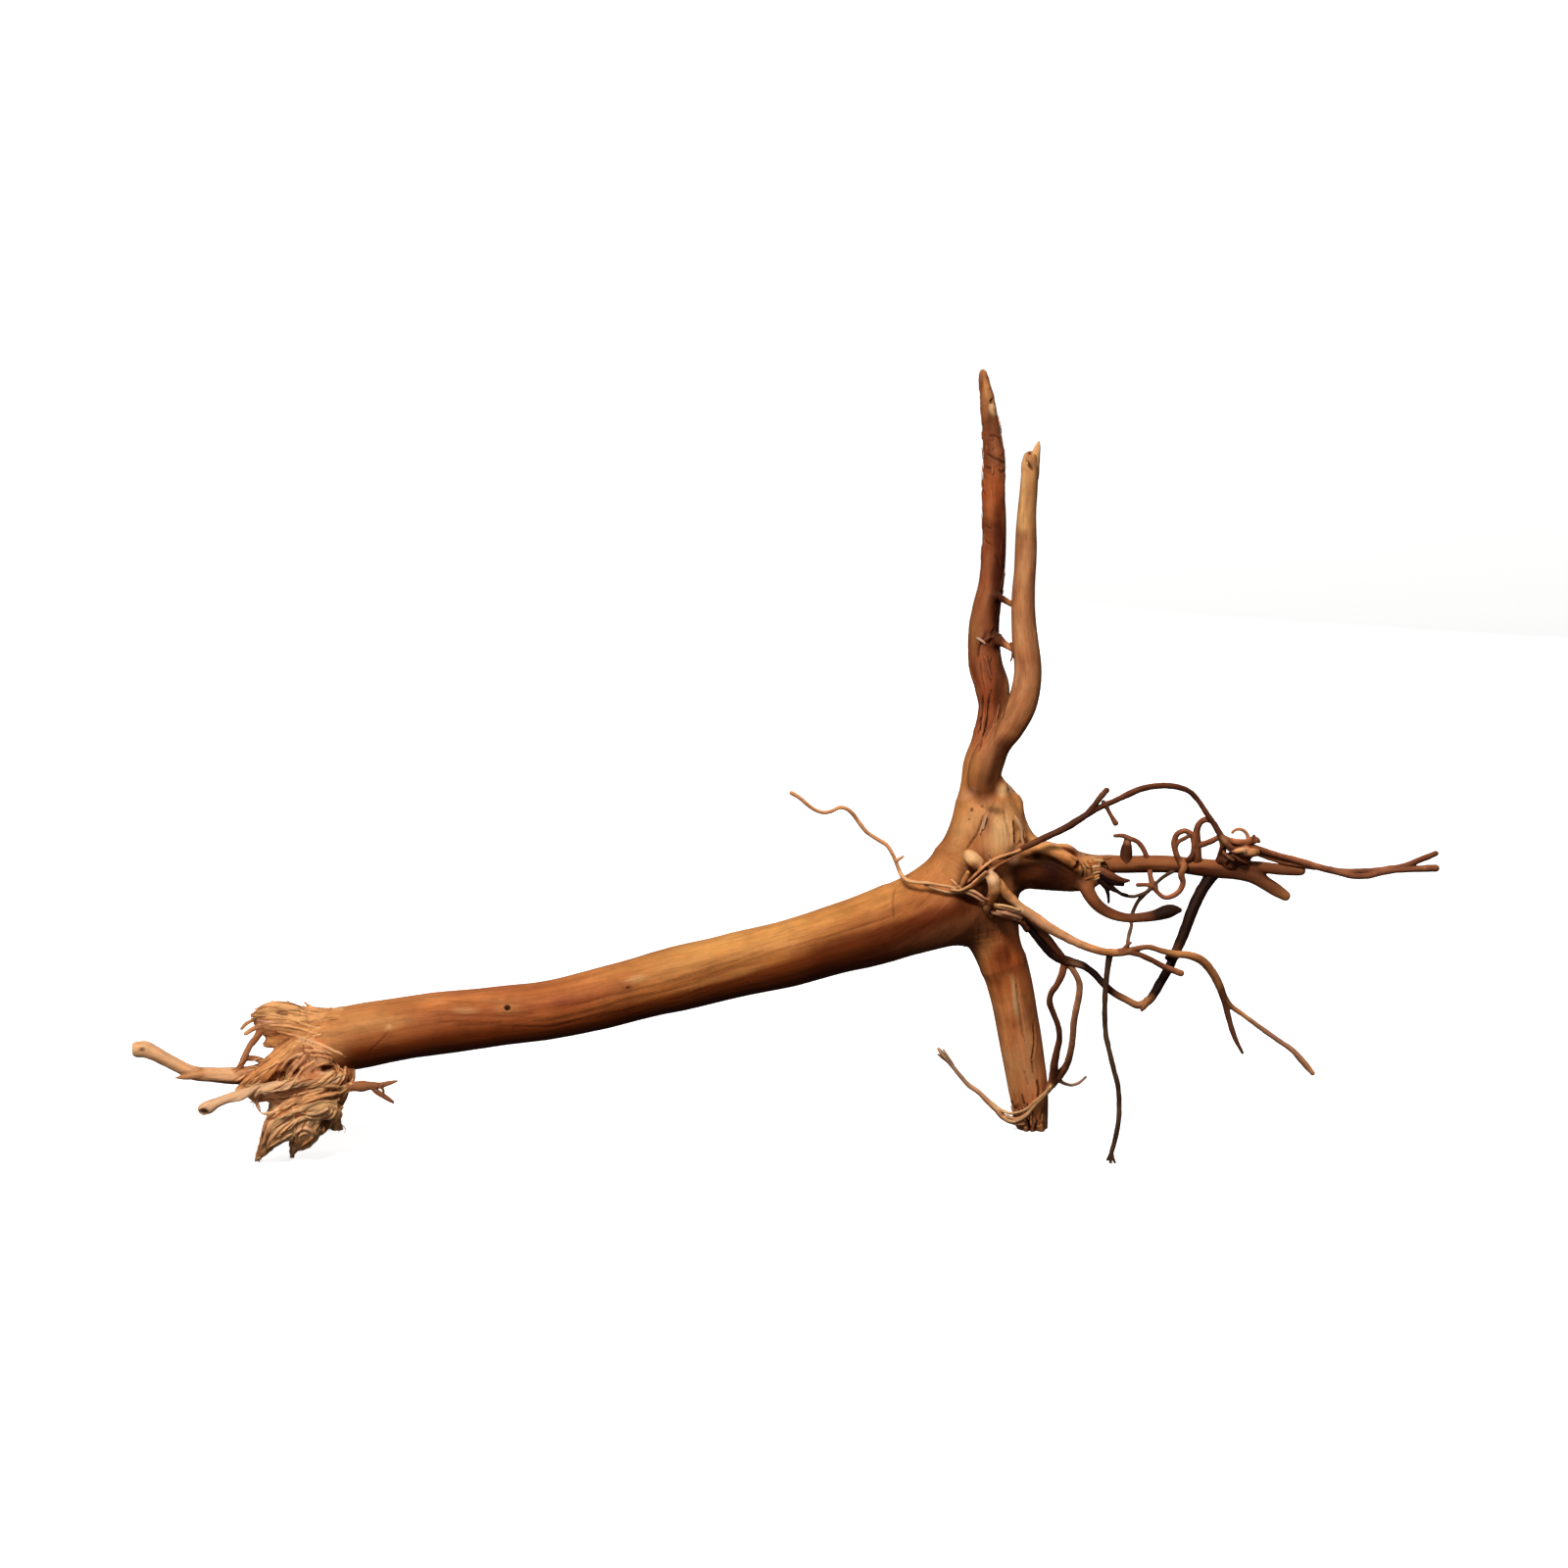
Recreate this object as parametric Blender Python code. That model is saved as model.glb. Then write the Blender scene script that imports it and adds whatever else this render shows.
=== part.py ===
"""A dried bogwood root: a near-level trunk with a torn, frayed left end, a
swollen collar, two upright prongs, one broken leg, and a fan of twisting
rootlets to the right. It grew as one piece, so it is one solid.

Every limb is drawn in a front view: (across, down, depth, radius), where
across and down are drawing units, depth is in millimetres (negative is nearer
the viewer) and radius is in drawing units. front() turns a drawing point into
a place in the row's frame. Lengths below are in metres unless said otherwise.
"""

import math

import bmesh
import bpy
from mathutils import Vector

NAME = "bogwood_root"

# The front view: an eye this far away, looking down this much at a point this
# high above the floor. One drawing unit at depth 0 is UNIT metres.
EYE_DISTANCE = 1.5
EYE_TILT = math.radians(10.0)
EYE_AIM_HEIGHT = 0.155
UNIT = 0.0004
MIDDLE = 800.0

# Moves the drawing's middle so that the origin is the bottom centre of the box.
SHIFT_X = -0.0003
SHIFT_Y = -0.007

# How many sides a limb's section has.
THICK, STOUT, THIN, FINE = 16, 12, 6, 6

FLOOR_BLOCK = 0.06  # the block that trims the feet flat reaches this far down


def front(across, down, depth_mm):
    """The place whose front-view position is (across, down), at this depth."""
    forward = Vector((0, math.cos(EYE_TILT), -math.sin(EYE_TILT)))
    up = Vector((0, math.sin(EYE_TILT), math.cos(EYE_TILT)))
    aim = Vector((0, 0, EYE_AIM_HEIGHT))
    eye = aim - forward * EYE_DISTANCE
    slope = UNIT / EYE_DISTANCE
    ray = forward + Vector((1, 0, 0)) * (across - MIDDLE) * slope + up * (MIDDLE - down) * slope
    reach = (depth_mm / 1000 - eye.y) / ray.y
    return eye + ray * reach + Vector((SHIFT_X, SHIFT_Y, 0))


def width(across, down, depth_mm, radius):
    """A radius in drawing units as metres at that place."""
    place = front(across, down, depth_mm) - Vector((SHIFT_X, SHIFT_Y, 0))
    forward = Vector((0, math.cos(EYE_TILT), -math.sin(EYE_TILT)))
    eye = Vector((0, 0, EYE_AIM_HEIGHT)) - forward * EYE_DISTANCE
    return radius * UNIT * (place - eye).dot(forward) / EYE_DISTANCE


# ---------------------------------------------------------------- the limbs
# name: (sides, steps between points, [(across, down, depth mm, radius), ...])

TRUNK = (THICK, 2, [
    (1004, 918, 2, 37), (976, 921, 0, 43), (940, 930.5, -1, 41), (900, 944.3, -2, 37.4),
    (850, 959.3, -3, 34.8), (800, 973.8, -4, 33.4), (750, 985.3, -5, 32.6), (700, 996.3, -6, 33),
    (650, 1009.3, -7, 31.5), (600, 1021.8, -8, 30.3), (560, 1030.3, -9, 29.5), (500, 1038.2, -10, 30.2),
    (440, 1045.3, -11, 31.5), (400, 1051.6, -12, 32), (370, 1056.8, -12, 33), (342, 1062.5, -13, 32),
    (318, 1066, -13, 24),
])

LIMBS = {
    # the collar, from the leg up to where the prongs part
    "collar": (THICK, 2, [
        (1018, 974, 6, 25.5), (1013, 945, 3, 29), (1011, 908, 1, 33.5), (1012, 870, 0, 37),
        (1011, 845, 0, 38), (1008, 822, 1, 34), (1003, 800, 2, 26), (1001, 783, 3, 20),
    ]),
    "collar_flare": (STOUT, 2, [
        (948, 914, -1, 28), (973, 882, 0, 24), (985, 851, 1, 19.5), (993, 822, 2, 18.5), (1000, 796, 4, 18),
    ]),
    "collar_shoulder": (STOUT, 1, [
        (1021, 818, -1, 10), (1032, 820, -1, 11), (1036, 838, -1, 13), (1043, 858, 0, 16),
        (1048, 876, 1, 22),
    ]),
    "leg": (THICK, 1, [
        (1012, 946, 3, 28), (1019, 970, 6, 26.2), (1026.5, 990, 9.5, 23.8), (1031, 1007, 12, 22.8),
        (1037.5, 1040, 18, 21.6), (1044.5, 1080, 25, 20.8), (1050.2, 1118, 32, 19.2),
        (1053, 1142, 37, 16.5), (1055, 1168, 41, 13.5),
    ]),

    # the two prongs and the twigs that tie them
    "prong_back": (STOUT, 1, [
        (1001, 803, 4, 20), (1000, 782, 6, 17.5), (1004, 760, 7, 15), (1010, 740, 8, 14.5),
        (1013.5, 720, 8, 15), (1012, 700, 8, 17.5), (1006, 680, 8, 17.2), (1004, 660, 8, 16.2),
        (1004, 642, 8, 15.4), (1006.5, 620, 8, 14.2), (1010.5, 600, 8, 12.8), (1012.8, 580, 8, 12.2),
        (1014.3, 555, 9, 11.9), (1014.7, 530, 9, 11.8), (1013.8, 503, 9, 11.8), (1014.5, 480, 9, 11.4),
        (1014, 460, 9, 10.8), (1011.5, 440, 9, 9.2), (1009, 420, 9, 7.9), (1006.3, 401, 9, 6.7),
        (1004, 389, 9, 5.6), (1003.2, 380, 9, 4),
    ]),
    "prong_front": (STOUT, 1, [
        (1002, 803, -3, 19), (1006, 780, -5, 17), (1017, 759, -6, 14.6), (1031, 741, -7, 14.6),
        (1041.5, 722, -8, 15), (1047, 703, -8, 14.4), (1049, 682, -8, 13.7), (1046.6, 660, -8, 13.5),
        (1045, 640, -8, 12.8), (1044, 620, -8, 12), (1044.5, 600, -8, 11.3), (1046, 580, -8, 10.7),
        (1046.8, 560, -8, 10.8), (1047, 540, -8, 10.4), (1047.9, 520, -8, 9.4), (1049.7, 500, -8, 8.9),
        (1051, 480, -8, 8.3), (1051.7, 467, -8, 7.8),
    ]),
    "prong_front_spike": (THIN, 1, [
        (1053.5, 476, -8, 6), (1055, 466, -8, 4.8), (1057, 457, -8, 3.4), (1058.4, 450.5, -8, 1.5),
    ]),
    "tie_upper": (THIN, 1, [(1012, 606, 6, 4.5), (1022, 611, 3, 3.8), (1034, 617.5, -4, 3.3), (1043, 620, -7, 3)]),
    "tie_lower": (THIN, 1, [
        (1006, 648, 5, 8), (1017, 652, 3, 7), (1025, 656, 0, 4.2), (1034, 661, -4, 3.4), (1043, 664, -7, 3),
    ]),

    # the right-hand stub and the roots that leave it
    "stub": (THICK, 1, [
        (1014, 872, 2, 30), (1038, 878, 2, 28.5), (1060, 880.5, 2, 27), (1080, 885, 1, 24.5),
        (1100, 888, 0, 21.5), (1114, 888, -1, 17), (1122, 886, -1, 11.5),
    ]),
    "root_right": (STOUT, 1, [
        (1095, 884, 0, 11), (1125, 881.6, 0, 9.2), (1152, 882, 0, 8.6), (1180, 881.5, 0, 8.6),
        (1205, 882.5, 0, 8.2), (1225, 885, 0, 8.8), (1245, 887, 0, 9.2), (1264, 889, 0, 9),
        (1279, 893, 0, 8.6), (1291, 901, 0, 7), (1302, 908, 0, 6.6), (1311.5, 914, 0, 5.2),
    ]),
    "root_right_fork": (8, 1, [(1262, 884, -1, 6.5), (1284, 884.6, -1, 5.8), (1305, 887, -1, 5.7), (1326.5, 888.3, -1, 5.4)]),
    "finger_low": (8, 2, [
        (1098, 886, -3, 9), (1107, 903, -5, 8), (1113, 915, -6, 7.2), (1122, 925.5, -6, 6.4),
        (1135, 933, -6, 5.6), (1150, 936.6, -6, 4.8), (1165, 936, -6, 5), (1180, 933.5, -6, 5.7),
        (1192, 930.5, -6, 6.4), (1199, 929, -6, 4.6), (1205, 928, -6, 2.2),
    ]),
    "torn_blade_long": (FINE, 1, [(1116, 888, -3, 8), (1133, 896, -5, 6.5), (1144, 899.5, -5, 3.8), (1151.5, 899, -5, 1.2)]),
    "torn_blade_down": (FINE, 1, [(1118, 891, -4, 5), (1127, 901, -5.5, 3.2), (1131, 911, -6, 1.9), (1131.5, 919, -6, 0.9)]),

    # the light knobs on the front of the collar, and the long front root
    "knob_upper": (8, 2, [(984, 871.5, -12, 6), (990, 875, -15.5, 9.5), (1001, 883, -16, 9.5), (1011, 891, -13, 7)]),
    "front_root": (8, 1, [
        (1010, 884, -9, 6), (1013, 894, -16, 8.5), (1018, 904.5, -18, 8.6), (1026, 913.5, -18.5, 7.2),
        (1035, 920.5, -19, 6), (1052, 933, -21, 5.2), (1069, 945, -23, 4.7), (1087, 955.5, -25, 4.3),
        (1105, 964.5, -27, 3.8), (1125, 971, -28, 3.5), (1145, 972, -28, 3.3), (1159, 968.3, -28, 2.7),
        (1172, 966.5, -28, 2.4), (1186, 970.5, -28, 2.7), (1200, 973.5, -27, 3.2), (1214, 975, -26, 3.6),
        (1225.5, 979.5, -25, 4), (1236, 990.5, -24, 4.1), (1243, 1003, -23, 3.8), (1248, 1015, -22, 3.3),
        (1254.5, 1025, -22, 2.5), (1267, 1034.5, -22, 2.1), (1284, 1047, -22, 2.1), (1302, 1060, -23, 2.1),
        (1319, 1072, -24, 2.4), (1329, 1083, -24, 2.9), (1339.5, 1095, -24, 2),
    ]),
    "front_root_side": (FINE, 1, [
        (1143, 970.5, -28, 2.6), (1160, 973.5, -28, 2.5), (1175, 979.5, -27, 2.5), (1189, 987, -26, 2.6),
        (1205, 993, -26, 3),
    ]),
    "front_root_drop": (FINE, 1, [
        (1246, 1009, -22.5, 3), (1251.5, 1030, -22, 2.7), (1256, 1047, -22, 2.5), (1261, 1061, -22, 2),
        (1268, 1074.5, -22, 1),
    ]),

    # the arched rootlet from the far tangle back over to the collar's front
    "arch": (FINE, 1, [
        (1262, 871, -3, 4.6), (1251, 858, -5, 3.4), (1243, 846.5, -6, 2.9), (1237, 836, -7, 2.7),
        (1230, 827, -8, 2.6), (1222, 816, -9, 2.4), (1214, 808, -10, 2.4), (1203, 803.5, -11, 2.6),
        (1190, 801.8, -12, 2.8), (1177, 802.5, -13, 2.9), (1163, 805.5, -14, 2.9), (1150, 811, -15, 2.9),
        (1138, 817, -16, 2.8), (1125, 822.5, -17, 2.8), (1112, 829.5, -18, 3.1), (1100, 837, -18, 3.6),
        (1086, 845.5, -18, 3.9), (1072, 852, -18, 4), (1058, 858.5, -18, 3.8), (1046, 865.5, -18, 3.4),
        (1034, 871.5, -18, 3.1), (1022, 876.5, -18, 3.2), (1010, 883, -18, 4), (998, 892.5, -18.5, 3.8),
        (986, 904, -18.5, 3.8), (972, 909, -16.5, 3.4),
    ]),
    "arch_stub": (FINE, 1, [(1109, 831, -18, 2.4), (1118, 820, -18, 2.3), (1124, 812, -18, 2.7), (1129, 806.5, -18, 2.6)]),
    "arch_twig": (FINE, 1, [(1126, 818.5, -17, 1.9), (1132.5, 830, -17, 1.8), (1138.3, 840, -17, 2.5)]),
    "tail": (FINE, 1, [
        (990, 905, -18.5, 3.4), (976, 907, -18, 2.8), (962, 905.5, -17, 2.4), (948, 902.5, -16.5, 2.2),
        (935, 901.5, -16, 2.1), (926, 899, -15, 2.1), (920, 893, -14, 2), (916, 884, -13, 1.9),
        (911, 872, -12, 1.8), (905, 862.5, -11, 1.8), (895, 856, -10, 1.8), (884, 848.5, -10, 1.8),
        (877, 840, -10, 1.8), (871, 831.5, -10, 1.9), (865, 825.8, -10, 1.8), (857.5, 823.8, -10, 1.7),
        (850, 827, -10, 1.6), (842, 829, -10, 1.6), (834, 827.5, -10, 1.6), (824, 821, -10, 1.6),
        (815, 813.5, -10, 1.6), (807.5, 809, -10, 1.9),
    ]),

    # the dark root: down from the right root, round a tight V, back to the collar
    "dark_root": (8, 1, [
        (1241, 886, 1, 7), (1232.5, 899, 0, 5.9), (1223.5, 914, -3, 5.4), (1215.5, 932, -6, 5.2),
        (1207.5, 953, -10, 5), (1200, 971, -13, 4.5), (1193.5, 986, -15, 4), (1184.5, 1002, -16, 4.3),
        (1176, 1016, -17, 4), (1170.5, 1022.5, -17, 3.6), (1163, 1025.5, -17, 3.3), (1149, 1020, -17, 3.1),
        (1135, 1012, -17, 3.1), (1124.5, 1002, -16, 3.1), (1115, 992, -15, 3.3), (1105, 985.5, -14, 3.5),
        (1092, 981.5, -13, 4.4), (1078, 977, -12, 5.8), (1065.5, 966.5, -11, 6), (1054.5, 954, -10, 6.2),
        (1044, 940, -8, 7.2), (1031, 925, -4, 9),
    ]),
    "dark_root_twin": (FINE, 1, [
        (1087, 979, -14, 3.4), (1077, 964, -14, 4.2), (1067, 951, -13, 4.5), (1055, 940, -12, 5),
        (1042, 929, -10, 6), (1030, 919, -7, 7),
    ]),
    "torn_shelf": (FINE, 1, [(1013, 925, -10, 3.5), (1020, 928, -14, 4.4), (1034, 931.5, -14.5, 4), (1047, 941, -13, 4)]),

    # two rootlets from the dark root to the foot of the leg, and the wrapped strand
    "drop_left": (FINE, 1, [
        (1087, 979, -13, 3.4), (1083.5, 994, -12, 3.1), (1078.5, 1005, -11, 2.9), (1072.5, 1014, -9, 2.9),
        (1071, 1021, -8, 2.8), (1075, 1034, -5, 2.6), (1080, 1048, -1, 2.6), (1081, 1060, 3, 2.7),
        (1078, 1074, 7, 3.2), (1076, 1085, 11, 4), (1075.5, 1096, 16, 5), (1073, 1106, 20, 4.8),
        (1065, 1117, 25, 4.4),
    ]),
    "drop_right": (FINE, 1, [
        (1086, 979, -13, 2.8), (1096, 991.5, -12, 2.7), (1101.3, 1003, -10, 2.9), (1101, 1015, -8, 3),
        (1098, 1030, -5, 3), (1095.5, 1045, -1, 2.9), (1094.5, 1060, 3, 2.8), (1092, 1075, 8, 2.9),
        (1088, 1087, 13, 3.3), (1082, 1096, 17, 4), (1074, 1105, 20, 4.4),
    ]),
    "drop_hook": (FINE, 1, [(1079, 1101, 18, 2), (1087, 1106, 18, 1.3), (1094, 1107.3, 18, 1.2), (1101, 1105, 18, 1.1), (1108, 1099, 18, 0.9)]),
    "foot_strand": (FINE, 1, [
        (1073, 1107, 19, 4), (1061, 1119, 23, 3.8), (1051, 1129, 26, 3.8), (1042, 1137.5, 29, 4.2),
        (1034, 1141, 31, 4.2), (1026, 1139, 32, 3.7), (1016, 1131.5, 32, 3), (1007, 1123, 32, 2.5),
        (998, 1114, 32, 2.3), (988, 1107, 32, 2), (978, 1095.5, 32, 1.8), (969, 1084.5, 32, 1.8),
        (961, 1074, 32, 2.4),
    ]),

    # the fine dark rootlet that reaches the floor
    "feeler": (FINE, 1, [
        (1133, 971, -27, 2.8), (1130.5, 985, -25.5, 2.6), (1129, 998, -24.5, 2.5), (1127.5, 1020, -23.5, 2.5),
        (1127.3, 1040, -22.5, 2.4), (1128.5, 1056, -22, 2.4), (1132, 1072, -21.5, 2.3), (1137, 1093, -20.5, 2.3),
        (1140.5, 1107, -20, 2.3), (1142, 1122, -19.5, 2.3), (1142, 1137, -19, 2.3), (1140, 1153, -18.5, 2.2),
        (1136.5, 1168, -18, 2), (1134.2, 1178, -18, 1.9), (1135.5, 1192, -18, 1.8),
    ]),

    # loops, curls and stubs along the right root
    "stub_upright": (FINE, 1, [(1149, 882, -1, 5.2), (1149.3, 868, -1, 5.2), (1150, 861, -1, 3.8), (1150.3, 856.5, -1, 2.6)]),
    "curl_hook": (FINE, 1, [
        (1137.5, 853, -2, 1.4), (1145.5, 852.8, -2, 2), (1154, 856, -2, 2.1), (1161, 859.2, -2, 2.2),
        (1166.5, 866, -2, 2.3), (1169.5, 873, -1.5, 2.3), (1171, 882, 0, 2.3),
    ]),
    "loop_left": (FINE, 1, [
        (1205, 882, -3, 2.8), (1199.5, 869, -4, 2.7), (1198, 858.5, -4, 2.5), (1202, 850.5, -4, 2.4),
        (1209, 847.8, -4, 2.3), (1215.5, 851, -4, 2.3), (1218, 859, -4, 2.5), (1218.6, 869, -3, 2.9),
        (1220, 882, -1, 3.6),
    ]),
    "loop_left_bar": (FINE, 1, [(1198.5, 865.5, -4, 1.9), (1205.5, 859.8, -4.4, 1.9), (1211, 857.3, -4.6, 1.9), (1217, 853.5, -4.2, 2)]),
    "loop_right": (FINE, 1, [
        (1222.5, 886, 0, 4.6), (1221.8, 872, -2, 4.6), (1221.3, 858, -3, 3.8), (1222.5, 846, -3.4, 3),
        (1228, 838.3, -4, 2.7), (1235, 837.2, -5, 2.5), (1240.5, 843, -6, 2.6), (1246, 852, -6, 2.8),
    ]),
    "loop_right_bar": (FINE, 1, [(1221.5, 862, -3, 3), (1231.5, 858.8, -4, 2.8), (1240, 855.3, -5, 2.8), (1249, 851, -5.4, 3)]),
    "loop_right_post": (FINE, 1, [(1250, 853, -5, 3.2), (1251.5, 863, -4, 4), (1248.5, 873, -2, 5), (1245, 884, 0, 5.6)]),
    "ring_low": (FINE, 1, [
        (1204, 878, -2.5, 2.6), (1208.5, 884, -4.6, 3.2), (1205.3, 892, -5, 3), (1207.3, 900.5, -5, 2.6),
        (1204, 908.5, -5, 2.4), (1197, 914, -5, 2.2), (1188.5, 915.8, -5, 2.1), (1182, 911.5, -5, 2),
        (1177, 904, -5, 2.5), (1174, 895, -4, 2.1), (1173, 884, -1, 2.1),
    ]),
    "ring_low_stub": (FINE, 1, [(1179, 905, -5, 2.4), (1169, 902.8, -5, 1.7), (1161, 903, -5, 1.8)]),
    "ring_low_hair": (FINE, 1, [(1176, 905, -5, 1.8), (1186, 895.5, -4.5, 1.4), (1198, 888.5, -2, 1.5)]),
    "thread": (FINE, 1, [
        (1179, 903, -5, 2), (1169.5, 911, -5, 1.9), (1161, 920, -3.5, 1.8), (1155.5, 932, -2, 1.6),
        (1154.3, 945, -9, 1.5), (1151.5, 956, -17, 1.5), (1150, 971, -27, 1.5),
    ]),
    "thread_hair": (FINE, 1, [(1126, 892, -4, 2.2), (1136, 906, -5, 1.7), (1145, 912.5, -5, 1.5), (1156, 914.8, -5, 1.5), (1169, 911, -5, 1.5)]),

    # the far tangle and the long rootlets that leave it
    "tangle_top": (FINE, 1, [(1246, 851, -5, 3), (1257, 857.5, -5, 3.8), (1270, 859.5, -5, 4.4), (1282.5, 857, -5, 4.2)]),
    "tangle_curl": (FINE, 1, [(1275, 861, -4, 2), (1273.3, 852.5, -4, 1.8), (1269, 847.5, -4, 1.7), (1263, 846, -4, 1.6), (1258, 848.7, -4, 1.5)]),
    "long_upper": (FINE, 1, [
        (1262, 860, -4, 6), (1278, 864.5, -4, 4.8), (1290, 870, -4, 3.8), (1305, 874, -4, 3.5),
        (1320, 877.8, -4, 3.6), (1335, 882.2, -4, 3.5), (1350, 886.6, -4, 3.2), (1367, 889.2, -4, 3),
        (1385, 889.4, -4, 2.8), (1403, 888.4, -4, 2.8), (1420, 886, -4, 2.7), (1436, 882.6, -4, 2.7),
        (1450, 877, -4, 2.8), (1465, 870.8, -4, 2.8),
    ]),
    "long_merge": (FINE, 1, [(1280, 866, -1.5, 3), (1294, 874.5, -1.5, 2.5), (1309, 880.5, -2, 2.4), (1325, 882.3, -3, 2.3), (1341, 883.5, -4, 2.2)]),
    "long_lower": (FINE, 1, [
        (1353, 887, -4, 2.6), (1368, 891, -5.5, 2.6), (1381, 894, -6, 2.6), (1395, 894, -6, 2.6),
        (1411, 890, -5, 2.7), (1428, 887.4, -4.5, 3), (1446, 886.6, -4, 3.1), (1465, 886, -4, 3.3),
    ]),

    # the torn left end
    "tuft": (STOUT, 1, [
        (352, 1056.5, -13, 29.5), (325, 1049.5, -13, 21.5), (302, 1046.5, -13, 19.8), (285, 1042, -13, 21.5),
        (271, 1043.5, -13, 19), (261, 1042, -13, 10),
    ]),
    "tuft_under": (8, 1, [(310, 1055, -14, 14), (288, 1059, -15, 12), (274, 1065, -15, 6)]),
    "tuft_spike_a": (FINE, 1, [(268, 1038, -13, 3.6), (256, 1043, -13, 2.2), (246.5, 1049.5, -13, 1.3)]),
    "tuft_spike_b": (FINE, 1, [(270, 1046, -16, 3.6), (259, 1050, -17, 2.8), (251, 1055, -17, 1.9)]),
    "tuft_loop": (FINE, 1, [
        (268, 1048, -17, 4), (260.5, 1058, -18, 3.3), (253, 1068.5, -18, 3), (249, 1078, -18, 3.2),
        (246, 1086, -17.5, 3.5), (244, 1095, -16, 3.5),
    ]),
    "tuft_strip": (FINE, 1, [(248, 1080.5, -17.5, 2.4), (260, 1079.5, -17, 2.4), (277, 1084, -16, 3)]),
    "branch_long": (8, 1, [
        (292, 1089, -13, 12), (264, 1097, -15, 11), (238, 1098, -17, 10), (215, 1096.8, -18, 8.2),
        (198, 1095, -19, 7.2), (183, 1088.2, -20, 6.6), (168, 1080.5, -21, 7), (157, 1074.5, -22, 8),
        (147, 1071, -22, 8.8), (138, 1071.2, -22, 7.8), (134.5, 1071.5, -22, 5.4),
    ]),
    "branch_long_spur": (FINE, 1, [(202, 1096, -19, 4), (190, 1099.8, -20, 2.6), (179, 1100, -20, 1)]),
    "branch_stub": (STOUT, 1, [
        (330, 1058, -14, 14), (307, 1069, -16, 13), (287, 1081, -18, 11.5), (270, 1095, -20, 9.6),
        (256, 1105.5, -21, 7.2), (243, 1114, -22, 4),
    ]),
    "branch_low": (8, 1, [
        (325, 1103, -22, 8), (301, 1105.5, -26, 6.6), (282, 1108, -27.5, 6), (262, 1112.5, -28, 5.4),
        (246, 1117, -28, 5.2), (232, 1121.3, -28, 5.1), (220, 1126.5, -28, 5.6), (211, 1130.5, -28, 7.4),
        (204.5, 1132.5, -28, 5),
    ]),
    "branch_low_strand": (FINE, 1, [(292, 1117, -23, 4), (275, 1118.5, -25, 3.2), (257, 1121, -25, 2.4)]),
    "bunch_loop": (FINE, 1, [
        (259, 1116.5, -26, 1.8), (262.5, 1125, -25, 1.4), (268, 1132, -24, 1.3), (275, 1135, -22, 1.3), (287, 1133, -20, 1.8),
    ]),
    "branch_right": (FINE, 1, [
        (335, 1107, -22, 6.5), (350, 1110.5, -22, 5), (360, 1109, -22, 4.2), (370, 1109.3, -22, 5),
        (382, 1109.5, -22, 3.6), (394, 1106.5, -22, 2.8), (405, 1103.4, -22, 1.2),
    ]),
    "branch_right_fork": (FINE, 1, [(377, 1107, -22, 3.4), (387, 1115.5, -22, 3), (394.5, 1121, -22, 2.6), (401, 1125, -22, 1.6)]),
    "bunch_upper": (THICK, 2, [
        (322, 1052, -14, 18), (318, 1072, -15, 31), (321, 1094, -16, 37.5), (314, 1116, -16, 39), (308, 1136, -15, 36),
        (300, 1152, -14, 25), (296, 1162, -13, 13),
    ]),
    "bunch_rim": (8, 1, [(330, 1066, -17, 9), (346, 1077, -17, 9.5), (353.5, 1091, -16, 8.5), (351, 1107, -15, 7), (345, 1120, -14, 8), (337, 1133, -13, 9)]),
    "bunch_corner": (8, 1, [(322, 1130, -15, 18), (335, 1142.5, -14, 11.5), (347, 1151, -13, 3.5)]),
    "toe_left": (8, 1, [(296, 1140, -14, 24), (284, 1153, -13, 16.5), (273, 1166, -12.5, 9), (265, 1177, -12, 5), (259.5, 1189, -12, 3)]),
    "toe_middle": (FINE, 1, [(302, 1150, -12, 13), (299.5, 1164, -9, 6.5), (299, 1175, -7.5, 3), (298.5, 1188, -7, 1.9)]),
}

STOUT_WOOD = (
    "collar", "collar_flare", "collar_shoulder", "leg", "prong_back", "prong_front", "stub",
    "tuft", "tuft_under", "bunch_upper", "bunch_rim", "bunch_corner", "branch_stub", "collar_bulge",
)

# Rounded lumps: (across, down, depth mm), then half widths across, deep and tall.
LUMPS = {
    "tangle": ((1269, 869.5, -2), (16, 15, 13)),
    "tangle_low": ((1256, 880, -1), (12, 14, 10)),
    "collar_bulge": ((1022, 808, -1), (9, 10, 9)),
}

# Hollows cut into the wood, placed the same way.
HOLLOWS = {
    "cut_collar": ((984, 905, -18), (17, 16, 24)),
    "cut_bunch": ((334, 1150, -24), (12, 14, 9)),
}


def collection(name):
    made = bpy.data.collections.new(name)
    bpy.context.scene.collection.children.link(made)
    return made


def tube(name, limb, into):
    """A curve with a round bevel, filled caps and a radius at each point, made a mesh."""
    sides, steps, points = limb
    curve = bpy.data.curves.new(name, "CURVE")
    curve.dimensions = "3D"
    curve.bevel_depth = 1.0
    curve.bevel_resolution = (sides - 4) // 2
    curve.use_fill_caps = True
    curve.resolution_u = steps
    spline = curve.splines.new("BEZIER")
    spline.bezier_points.add(len(points) - 1)
    for knot, (across, down, depth, radius) in zip(spline.bezier_points, points):
        knot.co = front(across, down, depth)
        knot.radius = width(across, down, depth, radius)
        knot.handle_left_type = knot.handle_right_type = "AUTO"
    drawn = bpy.data.objects.new(name + "_curve", curve)
    into.objects.link(drawn)
    bpy.context.view_layer.update()
    graph = bpy.context.evaluated_depsgraph_get()
    mesh = bpy.data.meshes.new_from_object(drawn.evaluated_get(graph), depsgraph=graph)
    mesh.name = name
    solid = bpy.data.objects.new(name, mesh)
    solid.matrix_world = drawn.matrix_world
    into.objects.link(solid)
    bpy.data.objects.remove(drawn)
    weld(mesh)
    return solid


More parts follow.
